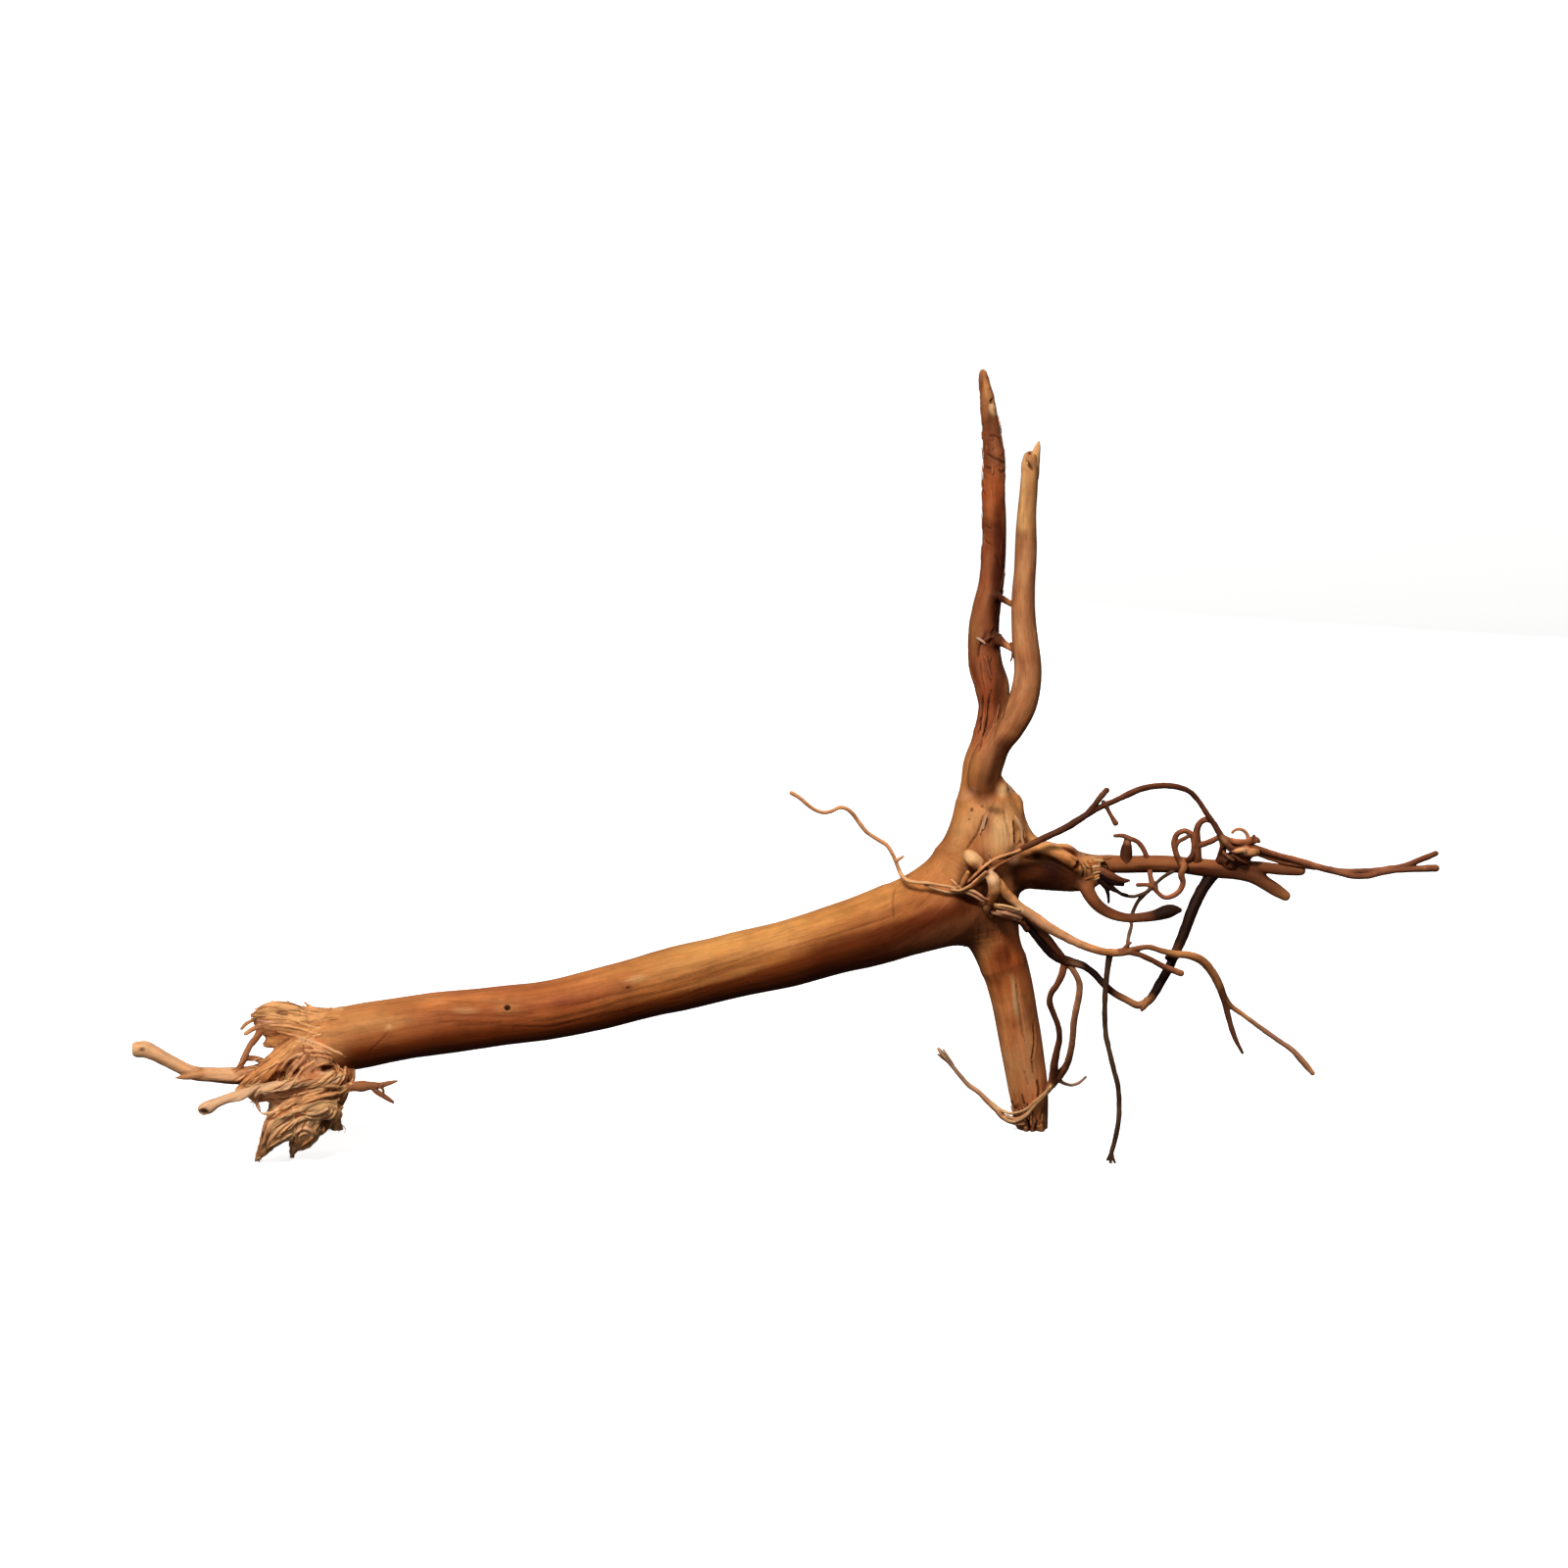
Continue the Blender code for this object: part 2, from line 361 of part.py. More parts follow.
def weld(mesh):
    """Joins the caps to the sides and turns every face outwards."""
    work = bmesh.new()
    work.from_mesh(mesh)
    bmesh.ops.remove_doubles(work, verts=work.verts, dist=1e-6)
    bmesh.ops.recalc_face_normals(work, faces=work.faces)
    work.to_mesh(mesh)
    work.free()
    mesh.shade_smooth()


def lump(name, placed, into, subdivisions=2):
    """A sphere stretched to three half widths in drawing units."""
    (across, down, depth), halves = placed
    mesh = bpy.data.meshes.new(name)
    work = bmesh.new()
    bmesh.ops.create_icosphere(work, subdivisions=subdivisions, radius=1.0)
    unit = width(across, down, depth, 1.0)
    for vert in work.verts:
        vert.co = Vector(part * half * unit for part, half in zip(vert.co, halves))
    work.to_mesh(mesh)
    work.free()
    mesh.shade_smooth()
    solid = bpy.data.objects.new(name, mesh)
    solid.location = front(across, down, depth)
    into.objects.link(solid)
    return solid


def boolean(target, kind, operand):
    """An exact Boolean with one object or with a whole collection."""
    modifier = target.modifiers.new(kind.lower(), "BOOLEAN")
    modifier.operation = kind
    modifier.solver = "EXACT"
    if isinstance(operand, bpy.types.Collection):
        modifier.operand_type = "COLLECTION"
        modifier.collection = operand
    else:
        modifier.object = operand


def bogwood_material():
    material = bpy.data.materials.new("bogwood")
    material.use_nodes = True
    shader = material.node_tree.nodes["Principled BSDF"]
    shader.inputs["Base Color"].default_value = (0.30, 0.12, 0.045, 1.0)
    shader.inputs["Roughness"].default_value = 0.62
    return material


def main():
    for old in list(bpy.data.objects):
        bpy.data.objects.remove(old)

    shown = collection(NAME)
    stout = collection(NAME + "_stout_limbs")
    slender = collection(NAME + "_rootlets")
    cutters = collection(NAME + "_cutters")

    # The stout wood is joined and hollowed first, then the rootlets are joined to it.
    root = tube(NAME, TRUNK, shown)
    for name, limb in LIMBS.items():
        tube(name, limb, stout if name in STOUT_WOOD else slender)
    for name, placed in LUMPS.items():
        lump(name, placed, stout if name in STOUT_WOOD else slender)
    boolean(root, "UNION", stout)
    for name, placed in HOLLOWS.items():
        boolean(root, "DIFFERENCE", lump(name, placed, cutters))
    boolean(root, "UNION", slender)

    # The feet are trimmed to one level, so the root stands flat on its broken leg.
    block = bpy.data.meshes.new("cut_floor")
    work = bmesh.new()
    bmesh.ops.create_cube(work, size=1.0)
    work.to_mesh(block)
    work.free()
    floor = bpy.data.objects.new("cut_floor", block)
    floor.scale = (1.0, 1.0, FLOOR_BLOCK)
    floor.location = (0, 0, -FLOOR_BLOCK / 2)
    cutters.objects.link(floor)
    boolean(root, "DIFFERENCE", floor)

    for helper in list(stout.objects) + list(slender.objects) + list(cutters.objects):
        helper.hide_render = True
        helper.display_type = "WIRE"

    root.data.materials.append(bogwood_material())


main()
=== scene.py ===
"""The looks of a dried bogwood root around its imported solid.

The wood is drawn in a front view, as tables of (across, down, depth mm,
radius), in drawing units of 0.4 mm at depth 0. Every limb is swept into a
distance field, the fields are melted together, and the field's surface is cut
by cracks and lifted by grain, so that the relief is in the mesh. Torn fibres
are swept one by one along that surface. Working lengths are in millimetres.
"""

import math

import bpy
import numpy as np
import openvdb
from mathutils import Matrix, Vector
from mathutils.kdtree import KDTree


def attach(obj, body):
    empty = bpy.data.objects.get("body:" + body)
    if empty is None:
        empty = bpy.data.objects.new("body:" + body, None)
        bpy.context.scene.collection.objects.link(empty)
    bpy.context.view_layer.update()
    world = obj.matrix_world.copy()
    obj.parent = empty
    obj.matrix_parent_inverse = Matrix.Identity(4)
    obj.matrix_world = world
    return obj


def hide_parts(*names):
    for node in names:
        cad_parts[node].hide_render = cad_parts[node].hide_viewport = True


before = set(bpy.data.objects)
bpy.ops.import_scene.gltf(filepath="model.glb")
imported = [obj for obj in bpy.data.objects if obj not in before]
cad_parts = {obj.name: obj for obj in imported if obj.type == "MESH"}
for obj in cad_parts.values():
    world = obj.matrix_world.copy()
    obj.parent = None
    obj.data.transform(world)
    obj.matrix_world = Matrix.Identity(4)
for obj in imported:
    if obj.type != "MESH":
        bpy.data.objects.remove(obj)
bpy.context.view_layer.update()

# ------------------------------------------------------------ the front view

EYE_DISTANCE = 1.5
EYE_TILT = math.radians(10.0)
EYE_AIM_HEIGHT = 0.155
UNIT = 0.0004
MIDDLE = 800.0
SHIFT = np.array([-0.0003, -0.007, 0.0])

FORWARD = np.array([0.0, math.cos(EYE_TILT), -math.sin(EYE_TILT)])
UP = np.array([0.0, math.sin(EYE_TILT), math.cos(EYE_TILT)])
RIGHT = np.array([1.0, 0.0, 0.0])
EYE = np.array([0.0, 0.0, EYE_AIM_HEIGHT]) - FORWARD * EYE_DISTANCE
SLOPE = UNIT / EYE_DISTANCE
FAR = 1.0e3


def ray_of(across, down):
    across, down = np.asarray(across, float)[..., None], np.asarray(down, float)[..., None]
    return FORWARD + RIGHT * (across - MIDDLE) * SLOPE + UP * (MIDDLE - down) * SLOPE


def front(across, down, depth):
    """Places in millimetres whose front-view position is (across, down)."""
    ray = ray_of(across, down)
    reach = (np.asarray(depth, float)[..., None] / 1000.0 - EYE[1]) / ray[..., 1:2]
    return (EYE + ray * reach + SHIFT) * 1000.0


def shrink(places):
    """Millimetres per drawing unit at these places."""
    return (places / 1000.0 - SHIFT - EYE) @ FORWARD / EYE_DISTANCE * UNIT * 1000.0


def drawn_at(places):
    """The front-view (across, down) of these places."""
    rel = places / 1000.0 - SHIFT - EYE
    reach = rel @ FORWARD
    return MIDDLE + rel[..., 0] / reach / SLOPE, MIDDLE - (rel @ UP) / reach / SLOPE


# ------------------------------------------------------------- small numerics

class Noise:
    """Smooth value noise on a repeating lattice, between -1 and 1."""

    SIDE = 64

    def __init__(self, seed):
        self.table = (np.random.default_rng(seed).random((self.SIDE,) * 3) * 2.0 - 1.0).astype(np.float32)

    def __call__(self, places, octaves=1, gain=0.5):
        total, size, norm = 0.0, 1.0, 0.0
        for octave in range(octaves):
            total = total + size * self.one(places * 2.03 ** octave + 7.3 * octave)
            norm += size
            size *= gain
        return total / norm

    def one(self, places):
        low = np.floor(places).astype(np.int64)
        part = (places - low).astype(np.float32)
        part = part * part * (3 - 2 * part)
        a, b = low & (self.SIDE - 1), (low + 1) & (self.SIDE - 1)
        value = 0.0
        for i in (0, 1):
            for j in (0, 1):
                for k in (0, 1):
                    weight = (
                        (part[..., 0] if i else 1 - part[..., 0])
                        * (part[..., 1] if j else 1 - part[..., 1])
                        * (part[..., 2] if k else 1 - part[..., 2])
                    )
                    value = value + weight * self.table[
                        (b if i else a)[..., 0], (b if j else a)[..., 1], (b if k else a)[..., 2]
                    ]
        return value


NOISE = [Noise(seed) for seed in range(6)]


def smooth(low, high, value):
    part = np.clip((value - low) / (high - low), 0.0, 1.0)
    return part * part * (3 - 2 * part)


def unit(vectors):
    return vectors / np.maximum(np.linalg.norm(vectors, axis=-1, keepdims=True), 1e-12)


def through(points, step):
    """A smooth path through rows of numbers, of which the first three are a place."""
    rows = np.asarray(points, float)
    gaps = np.maximum(np.linalg.norm(np.diff(rows[:, :3], axis=0), axis=1), 1e-6)
    knots = np.concatenate([[0.0], np.cumsum(gaps)])
    slopes = np.diff(rows, axis=0) / gaps[:, None]
    lean = np.empty_like(rows)
    lean[0], lean[-1] = slopes[0], slopes[-1]
    share = (gaps[1:] / (gaps[1:] + gaps[:-1]))[:, None]
    lean[1:-1] = slopes[:-1] * share + slopes[1:] * (1 - share)
    for column in range(3, rows.shape[1]):
        turn = slopes[:-1, column] * slopes[1:, column] <= 0
        lean[1:-1, column][turn] = 0
    count = max(2, int(math.ceil(knots[-1] / step)) + 1)
    at = np.linspace(0, knots[-1], count)
    i = np.clip(np.searchsorted(knots, at, side="right") - 1, 0, len(gaps) - 1)
    h, u = gaps[i][:, None], ((at - knots[i]) / gaps[i])[:, None]
    return (
        rows[i] * (2 * u ** 3 - 3 * u ** 2 + 1)
        + lean[i] * h * (u ** 3 - 2 * u ** 2 + u)
        + rows[i + 1] * (-2 * u ** 3 + 3 * u ** 2)
        + lean[i + 1] * h * (u ** 3 - u ** 2)
    )


class Limb:
    """A swept limb: a smooth path with a radius and a frame that doesn't twist."""

    def __init__(self, name, points, step=None, grow=0.0, wobble=0.0, seed=0):
        self.name = name
        table = np.asarray(points, float)
        places = front(table[:, 0], table[:, 1], table[:, 2])
        radius = (table[:, 3] + grow) * shrink(places)
        if step is None:
            step = float(np.clip(np.median(radius) * 0.25, 0.5, 2.5))
        rows = through(np.column_stack([places, radius]), step)
        self.path, self.radius = rows[:, :3], np.maximum(rows[:, 3], 0.12)
        gaps = np.linalg.norm(np.diff(self.path, axis=0), axis=1)
        self.along = np.concatenate([[0.0], np.cumsum(gaps)])
        if wobble:
            at = np.column_stack([self.along / 6.0, np.full_like(self.along, seed * 3.7), np.zeros_like(self.along)])
            self.radius = self.radius * (1 + wobble * NOISE[1](at, 2))
            for axis in range(3):
                self.path[:, axis] += wobble * 1.2 * self.radius * NOISE[2](at + 11.0 * axis, 2)
        ahead = np.gradient(self.path, axis=0)
        self.tangent = unit(ahead)
        side = np.cross(self.tangent[0], [0.0, 1.0, 0.0])
        if np.linalg.norm(side) < 0.2:
            side = np.cross(self.tangent[0], [0.0, 0.0, 1.0])
        side = unit(side)
        sides = []
        for tangent in self.tangent:
            side = unit(side - tangent * (side @ tangent))
            sides.append(side)
        self.side = np.array(sides)
        self.other = np.cross(self.tangent, self.side)


class Volume:
    """A distance field on a box grid, in millimetres, negative inside the wood."""

    def __init__(self, low, high, step):
        self.low, self.step = np.asarray(low, float), float(step)
        self.shape = np.ceil((np.asarray(high, float) - self.low) / step).astype(int) + 1
        self.field = np.full(self.shape, FAR, np.float32)

    def part(self, low, high):
        a = np.clip(np.floor((low - self.low) / self.step).astype(int), 0, self.shape - 1)
        b = np.clip(np.ceil((high - self.low) / self.step).astype(int) + 1, 1, self.shape)
        return a, np.maximum(b, a + 1)

    def axes(self, a, b):
        return [
            (self.low[i] + np.arange(a[i], b[i]) * self.step).astype(np.float32).reshape([-1 if i == j else 1 for j in range(3)])
            for i in range(3)
        ]

    def distance(self, path, radius, reach):
        """The distance from a swept limb, on the part of the grid near it."""
        most = float(radius.max())
        a, b = self.part(path.min(0) - most - reach, path.max(0) + most + reach)
        local = np.full(b - a, FAR, np.float32)
        for start, end, r0, r1 in zip(path[:-1], path[1:], radius[:-1], radius[1:]):
            pad = max(r0, r1) + reach
            c, d = self.part(np.minimum(start, end) - pad, np.maximum(start, end) + pad)
            x, y, z = self.axes(c, d)
            x, y, z = x - np.float32(start[0]), y - np.float32(start[1]), z - np.float32(start[2])
            run = (end - start).astype(np.float32)
            t = (x * run[0] + y * run[1] + z * run[2]) / np.float32(max(run @ run, 1e-9))
            np.clip(t, 0, 1, out=t)
            away = np.sqrt((x - t * run[0]) ** 2 + (y - t * run[1]) ** 2 + (z - t * run[2]) ** 2)
            away -= np.float32(r0) + t * np.float32(r1 - r0)
            where = tuple(slice(p - s, q - s) for p, q, s in zip(c, d, a))
            np.minimum(local[where], away, out=local[where])
        return a, b, local

    def blob(self, centre, halves, turn, reach):
        """The distance from a stretched ball whose long axis is turned in the front plane."""
        most = max(halves)
        a, b = self.part(centre - most - reach, centre + most + reach)
        x, y, z = self.axes(a, b)
        x, y, z = x - np.float32(centre[0]), y - np.float32(centre[1]), z - np.float32(centre[2])
        c, s = np.float32(math.cos(turn)), np.float32(math.sin(turn))
        u, w = x * c + z * s, z * c - x * s
        h = [np.float32(v) for v in halves]
        k0 = np.sqrt((u / h[0]) ** 2 + (y / h[1]) ** 2 + (w / h[2]) ** 2)
        k1 = np.sqrt((u / h[0] ** 2) ** 2 + (y / h[1] ** 2) ** 2 + (w / h[2] ** 2) ** 2)
        return a, b, (k0 * (k0 - 1) / np.maximum(k1, 1e-6)).astype(np.float32)

    def roughen(self, a, b, local, size, amount, seed):
        x, y, z = np.broadcast_arrays(*self.axes(a, b))
        near = np.abs(local) < amount * 3 + 2 * self.step
        places = np.stack([x[near], y[near], z[near]], axis=-1)
        local[near] += np.float32(amount) * NOISE[seed % 6](places / size, 2)

    def melt(self, a, b, local, blend):
        """Joins a field to this one with a rounded crease."""
        where = tuple(slice(p, q) for p, q in zip(a, b))
        old = self.field[where]
        if blend <= 0:
            np.minimum(old, local, out=old)
            return
        k = np.float32(blend)
        h = np.clip(0.5 + 0.5 * (old - local) / k, 0, 1)
        swell = k * h * (1 - h)
        if blend > 1.4:
            # surfaces that already run together gain nothing; only a crease is filled
            agree = 0.0
            for axis in range(3):
                agree = agree + np.gradient(old, self.step, axis=axis) * np.gradient(local, self.step, axis=axis)
            swell *= np.clip(1.0 - agree, 0, 1)
        self.field[where] = old + (local - old) * h - swell

    def cut(self, a, b, local, blend):
        where = tuple(slice(p, q) for p, q in zip(a, b))
        old = self.field[where]
        k = np.float32(max(blend, 1e-3))
        h = np.clip(0.5 - 0.5 * (old + local) / k, 0, 1)
        self.field[where] = old + (-local - old) * h + k * h * (1 - h)

    def add(self, limb, blend, reach=None):
        reach = blend + 3 * self.step if reach is None else reach
        self.melt(*self.distance(limb.path, limb.radius, reach), blend)

    def at(self, places):
        """The field at any places, read between the grid's points."""
        q = (places - self.low) / self.step
        q = np.clip(q, 0, self.shape - 1.001)
        i = q.astype(np.int64)
        f = (q - i).astype(np.float32)
        value = 0.0
        for a in (0, 1):
            for b in (0, 1):
                for c in (0, 1):
                    weight = (f[..., 0] if a else 1 - f[..., 0]) * (f[..., 1] if b else 1 - f[..., 1]) * (f[..., 2] if c else 1 - f[..., 2])
                    value = value + weight * self.field[i[..., 0] + a, i[..., 1] + b, i[..., 2] + c]
        return value

    def normal(self, places, size=None):
        e = self.step if size is None else size
        parts = []
        for axis in range(3):
            move = np.zeros(3)
            move[axis] = e
            parts.append(self.at(places + move) - self.at(places - move))
        return unit(np.stack(parts, axis=-1))

    def settle(self, places, rounds=4):
        """Moves places on to the surface."""
        for _ in range(rounds):
            places = places - self.normal(places) * self.at(places)[..., None]
        return places

    def seen(self, across, down, behind=False):
        """Where the sight line through (across, down) first meets the wood."""
        across, down = np.atleast_1d(across), np.atleast_1d(down)
        depths = np.arange(-62.0, 62.0, 0.5)
        if behind:
            depths = depths[::-1]
        places = front(across[:, None], down[:, None], depths[None, :])
        value = self.at(places)
        inside = value < 0
        first = np.argmax(inside, axis=1)
        missed = ~inside.any(axis=1)
        first[missed] = np.argmin(value[missed], axis=1) if missed.any() else first[missed]
        return self.settle(places[np.arange(len(across)), first], 3)

    def surface(self, islands=False):
        band = 3 * self.step
        grid = openvdb.FloatGrid(background=band)
        grid.copyFromArray(np.clip(self.field, -band, band))
        places, threes, fours = grid.convertToPolygons(isovalue=0.0, adaptivity=0.0)
        places = np.asarray(places, float) * self.step + self.low
        faces = np.asarray(fours, np.int64)
        if len(threes):
            threes = np.asarray(threes, np.int64)
            faces = np.concatenate([faces, np.column_stack([threes, threes[:, 2]])])
        return keep_largest(places, faces, islands)


def keep_largest(places, faces, islands=False):
    """Drops every loose crumb of the surface, and with islands=False all but the largest."""
    label = np.arange(len(places))
    edges = np.concatenate([faces[:, [0, 1]], faces[:, [1, 2]], faces[:, [2, 3]], faces[:, [3, 0]]])
    while True:
        low = np.minimum(label[edges[:, 0]], label[edges[:, 1]])
        new = label.copy()
        np.minimum.at(new, edges[:, 0], low)
        np.minimum.at(new, edges[:, 1], low)
        new = new[new]
        new = new[new]
        if (new == label).all():
            break
        label = new
    names, counts = np.unique(label, return_counts=True)
    kept = np.isin(label, names[counts >= (700 if islands else counts.max())])
    index = np.cumsum(kept) - 1
    faces = index[faces[kept[faces[:, 0]]]]
    return places[kept], faces


def make_object(name, places, faces, sides=4):
    """A mesh object from arrays, with places in millimetres."""
    mesh = bpy.data.meshes.new(name)
    mesh.vertices.add(len(places))
    mesh.vertices.foreach_set("co", (np.asarray(places) / 1000.0).astype(np.float32).ravel())
    faces = np.asarray(faces)
    if sides == 4:
        three = faces[:, 2] == faces[:, 3]
        flat = np.concatenate([faces[~three].ravel(), faces[three][:, :3].ravel()])
        counts = np.concatenate([np.full((~three).sum(), 4), np.full(three.sum(), 3)])
    else:
        flat, counts = faces.ravel(), np.full(len(faces), sides)
    mesh.loops.add(len(flat))
    mesh.loops.foreach_set("vertex_index", flat.astype(np.int32))
    mesh.polygons.add(len(counts))
    mesh.polygons.foreach_set("loop_start", (np.cumsum(counts) - counts).astype(np.int32))
    mesh.polygons.foreach_set("loop_total", counts.astype(np.int32))
    mesh.update(calc_edges=True)
    mesh.validate()
    volume_sign = signed_volume(mesh)
    if volume_sign < 0:
        mesh.flip_normals()
    mesh.shade_smooth()
    made = bpy.data.objects.new(name, mesh)
    bpy.context.scene.collection.objects.link(made)
    return made


def signed_volume(mesh):
    mesh.calc_loop_triangles()
    co = np.empty(len(mesh.vertices) * 3, np.float32)
    mesh.vertices.foreach_get("co", co)
    tri = np.empty(len(mesh.loop_triangles) * 3, np.int32)
    mesh.loop_triangles.foreach_get("vertices", tri)
    corner = co.reshape(-1, 3)[tri.reshape(-1, 3)].astype(float)
    return float(np.einsum("ij,ij->i", corner[:, 0], np.cross(corner[:, 1], corner[:, 2])).sum() / 6)


def thin_out(made, most):
    """Collapses the flattest places until the mesh has at most this many triangles."""
    made.data.calc_loop_triangles()
    triangles = len(made.data.loop_triangles)
    if triangles <= most:
        return
    modifier = made.modifiers.new("thin", "DECIMATE")
    modifier.ratio = most / triangles
    modifier.use_collapse_triangulate = True
    graph = bpy.context.evaluated_depsgraph_get()
    mesh = bpy.data.meshes.new_from_object(made.evaluated_get(graph), depsgraph=graph)
    made.modifiers.clear()
    old = made.data
    made.data = mesh
    mesh.name = made.name
    bpy.data.meshes.remove(old)
    mesh.shade_smooth()


def places_of(made):
    co = np.empty(len(made.data.vertices) * 3, np.float32)
    made.data.vertices.foreach_get("co", co)
    return co.reshape(-1, 3).astype(float) * 1000.0


def put(made, name, values):
    """Stores numbers at the vertices: one each, a vector of three, or a colour of three."""
    values = np.asarray(values, np.float32)
    if values.ndim == 1:
        layer = made.data.attributes.new(name, "FLOAT", "POINT")
        layer.data.foreach_set("value", values)
    elif name.startswith("tone") or name.endswith("mix"):
        layer = made.data.color_attributes.new(name, "FLOAT_COLOR", "POINT")
        layer.data.foreach_set("color", np.column_stack([values, np.ones(len(values))]).astype(np.float32).ravel())
    else:
        layer = made.data.attributes.new(name, "FLOAT_VECTOR", "POINT")
        layer.data.foreach_set("vector", values.ravel())


def flow(places, limbs, soften=4.0):
    """Grain coordinates along a chain of limbs: along, two across, nearness and tangent."""
    path = np.concatenate([limb.path for limb in limbs])
    radius = np.concatenate([limb.radius for limb in limbs])
    tangent = np.concatenate([limb.tangent for limb in limbs])
    side = np.concatenate([limb.side for limb in limbs])
    other = np.concatenate([limb.other for limb in limbs])
    starts = np.cumsum([0.0] + [limb.along[-1] for limb in limbs[:-1]])
    along = np.concatenate([limb.along + start for limb, start in zip(limbs, starts)])
    every = max(1, len(path) // 160)
    pick = slice(None, None, every)
    path, radius, tangent, side, other, along = (v[pick] for v in (path, radius, tangent, side, other, along))
    out = np.empty((len(places), 3))
    near = np.empty(len(places))
    heading = np.empty((len(places), 3))
    square = (path ** 2).sum(1)
    for i in range(0, len(places), 40000):
        chunk = places[i:i + 40000]
        away = (chunk ** 2).sum(1)[:, None] + square[None] - 2 * chunk @ path.T
        least = away.min(1)
        weight = np.exp(-(away - least[:, None]) / (2 * soften ** 2 + 0.10 * np.maximum(least[:, None], 0)))
        weight /= weight.sum(1, keepdims=True)
        centre = weight @ path
        # the part of the offset along the tangent goes into the run along the grain
        t, s, o = unit(weight @ tangent), unit(weight @ side), unit(weight @ other)
        rel = chunk - centre
        run = (rel * t).sum(1)
        out[i:i + 40000, 0] = weight @ along + run
        out[i:i + 40000, 1] = (rel * s).sum(1)
        out[i:i + 40000, 2] = (rel * o).sum(1)
        near[i:i + 40000] = np.sqrt(np.maximum((rel ** 2).sum(1) - run ** 2, 0)) / (weight @ radius)
        heading[i:i + 40000] = t
    return out, near, heading


def nearest_sample(places, limbs):
    """For slender limbs: the nearest limb, and grain coordinates along it."""
    rows, tree = [], KDTree(sum(len(limb.path) for limb in limbs))
    for which, limb in enumerate(limbs):
        for i in range(len(limb.path)):
            tree.insert(limb.path[i], len(rows))
            rows.append((which, i))
    tree.balance()
    rows = np.array(rows)
    found = np.array([tree.find(place)[1] for place in places])
    which, i = rows[found].T
    path = np.concatenate([limb.path for limb in limbs])[found]
    frames = [np.concatenate([getattr(limb, key) for limb in limbs])[found] for key in ("tangent", "side", "other")]
    along = np.concatenate([limb.along for limb in limbs])[found]
    radius = np.concatenate([limb.radius for limb in limbs])[found]
    rel = places - path
    run = (rel * frames[0]).sum(1)
    coordinates = np.column_stack([along + run + which * 37.0, (rel * frames[1]).sum(1), (rel * frames[2]).sum(1)])
    return which, coordinates, frames[0], radius, along


def line_distance(places, line):
    """The distance from a row of points, and how far along it, for places near it."""
    best = np.full(len(places), FAR)
    along = np.zeros(len(places))
    run = 0.0
    for start, end in zip(line[:-1], line[1:]):
        step = end - start
        length = np.linalg.norm(step)
        t = np.clip(((places - start) @ step) / max(length ** 2, 1e-9), 0, 1)
        away = np.linalg.norm(places - start - t[:, None] * step, axis=1)
        closer = away < best
        best[closer] = away[closer]
        along[closer] = run + t[closer] * length
        run += length
    return best, along / max(run, 1e-9)

# ---------------------------------------------------------------- the drawing
# Rows are (across, down, depth mm, radius). Depth is negative nearer the viewer.

TRUNK = [
    (1004, 918, 2, 36), (976, 921, 0, 42), (940, 930.5, -1, 41), (900, 944.3, -2, 37.6),
    (850, 959.3, -3, 35), (800, 973.8, -4, 33.6), (750, 985.3, -5, 32.8), (700, 996.3, -6, 33.2),
    (650, 1009.3, -7, 31.7), (600, 1021.8, -8, 30.5), (560, 1030.3, -9, 29.7), (500, 1038.2, -10, 30.4),
    (440, 1045.3, -11, 31.7), (400, 1051.6, -12, 32.2), (370, 1056.8, -12, 33), (342, 1062.5, -13, 30),
    (318, 1064, -13, 20),
]
COLLAR = [
    (1015, 962, 7, 9), (1013, 944, 4, 20), (1011, 922, 2, 30), (1011, 905, 1, 32.4), (1012, 870, 0, 36),
    (1011, 845, 0, 36.5), (1008, 824, 1, 32.5), (1002, 800, 2, 22.5), (1000, 783, 3, 17),
]
LEG = [
    (1012, 924, 4, 12), (1012, 938, 4, 23), (1014.5, 954, 4.4, 27.4), (1019, 970, 6, 26.2), (1026.5, 990, 9.5, 24), (1031, 1007, 12, 23),
    (1037.5, 1040, 18, 21.8), (1044.5, 1080, 25, 21), (1050.2, 1118, 32, 19.6),
    (1052.5, 1140, 36, 17), (1054, 1160, 40, 14.5), (1055, 1172, 42, 12),
]
PRONG_BACK = [
    (1001, 803, 4, 20), (1000, 782, 6, 17.7), (1004, 760, 7, 15.2), (1010, 740, 8, 14.7),
    (1013.5, 720, 8, 15.2), (1012, 700, 8, 17.7), (1006, 680, 8, 17.4), (1004, 660, 8, 16.4),
    (1004, 642, 8, 15.6), (1006.5, 620, 8, 14.4), (1010.5, 600, 8, 13), (1012.8, 580, 8, 12.4),
    (1014.3, 555, 9, 12.1), (1014.7, 530, 9, 12), (1013.8, 503, 9, 12), (1014.5, 480, 9, 11.6),
    (1014, 460, 9, 11), (1011.5, 440, 9, 9.4), (1009, 420, 9, 8.1), (1006.3, 401, 9, 6.9),
    (1004, 389, 9, 5.8), (1003.2, 381, 9, 4.4),
]
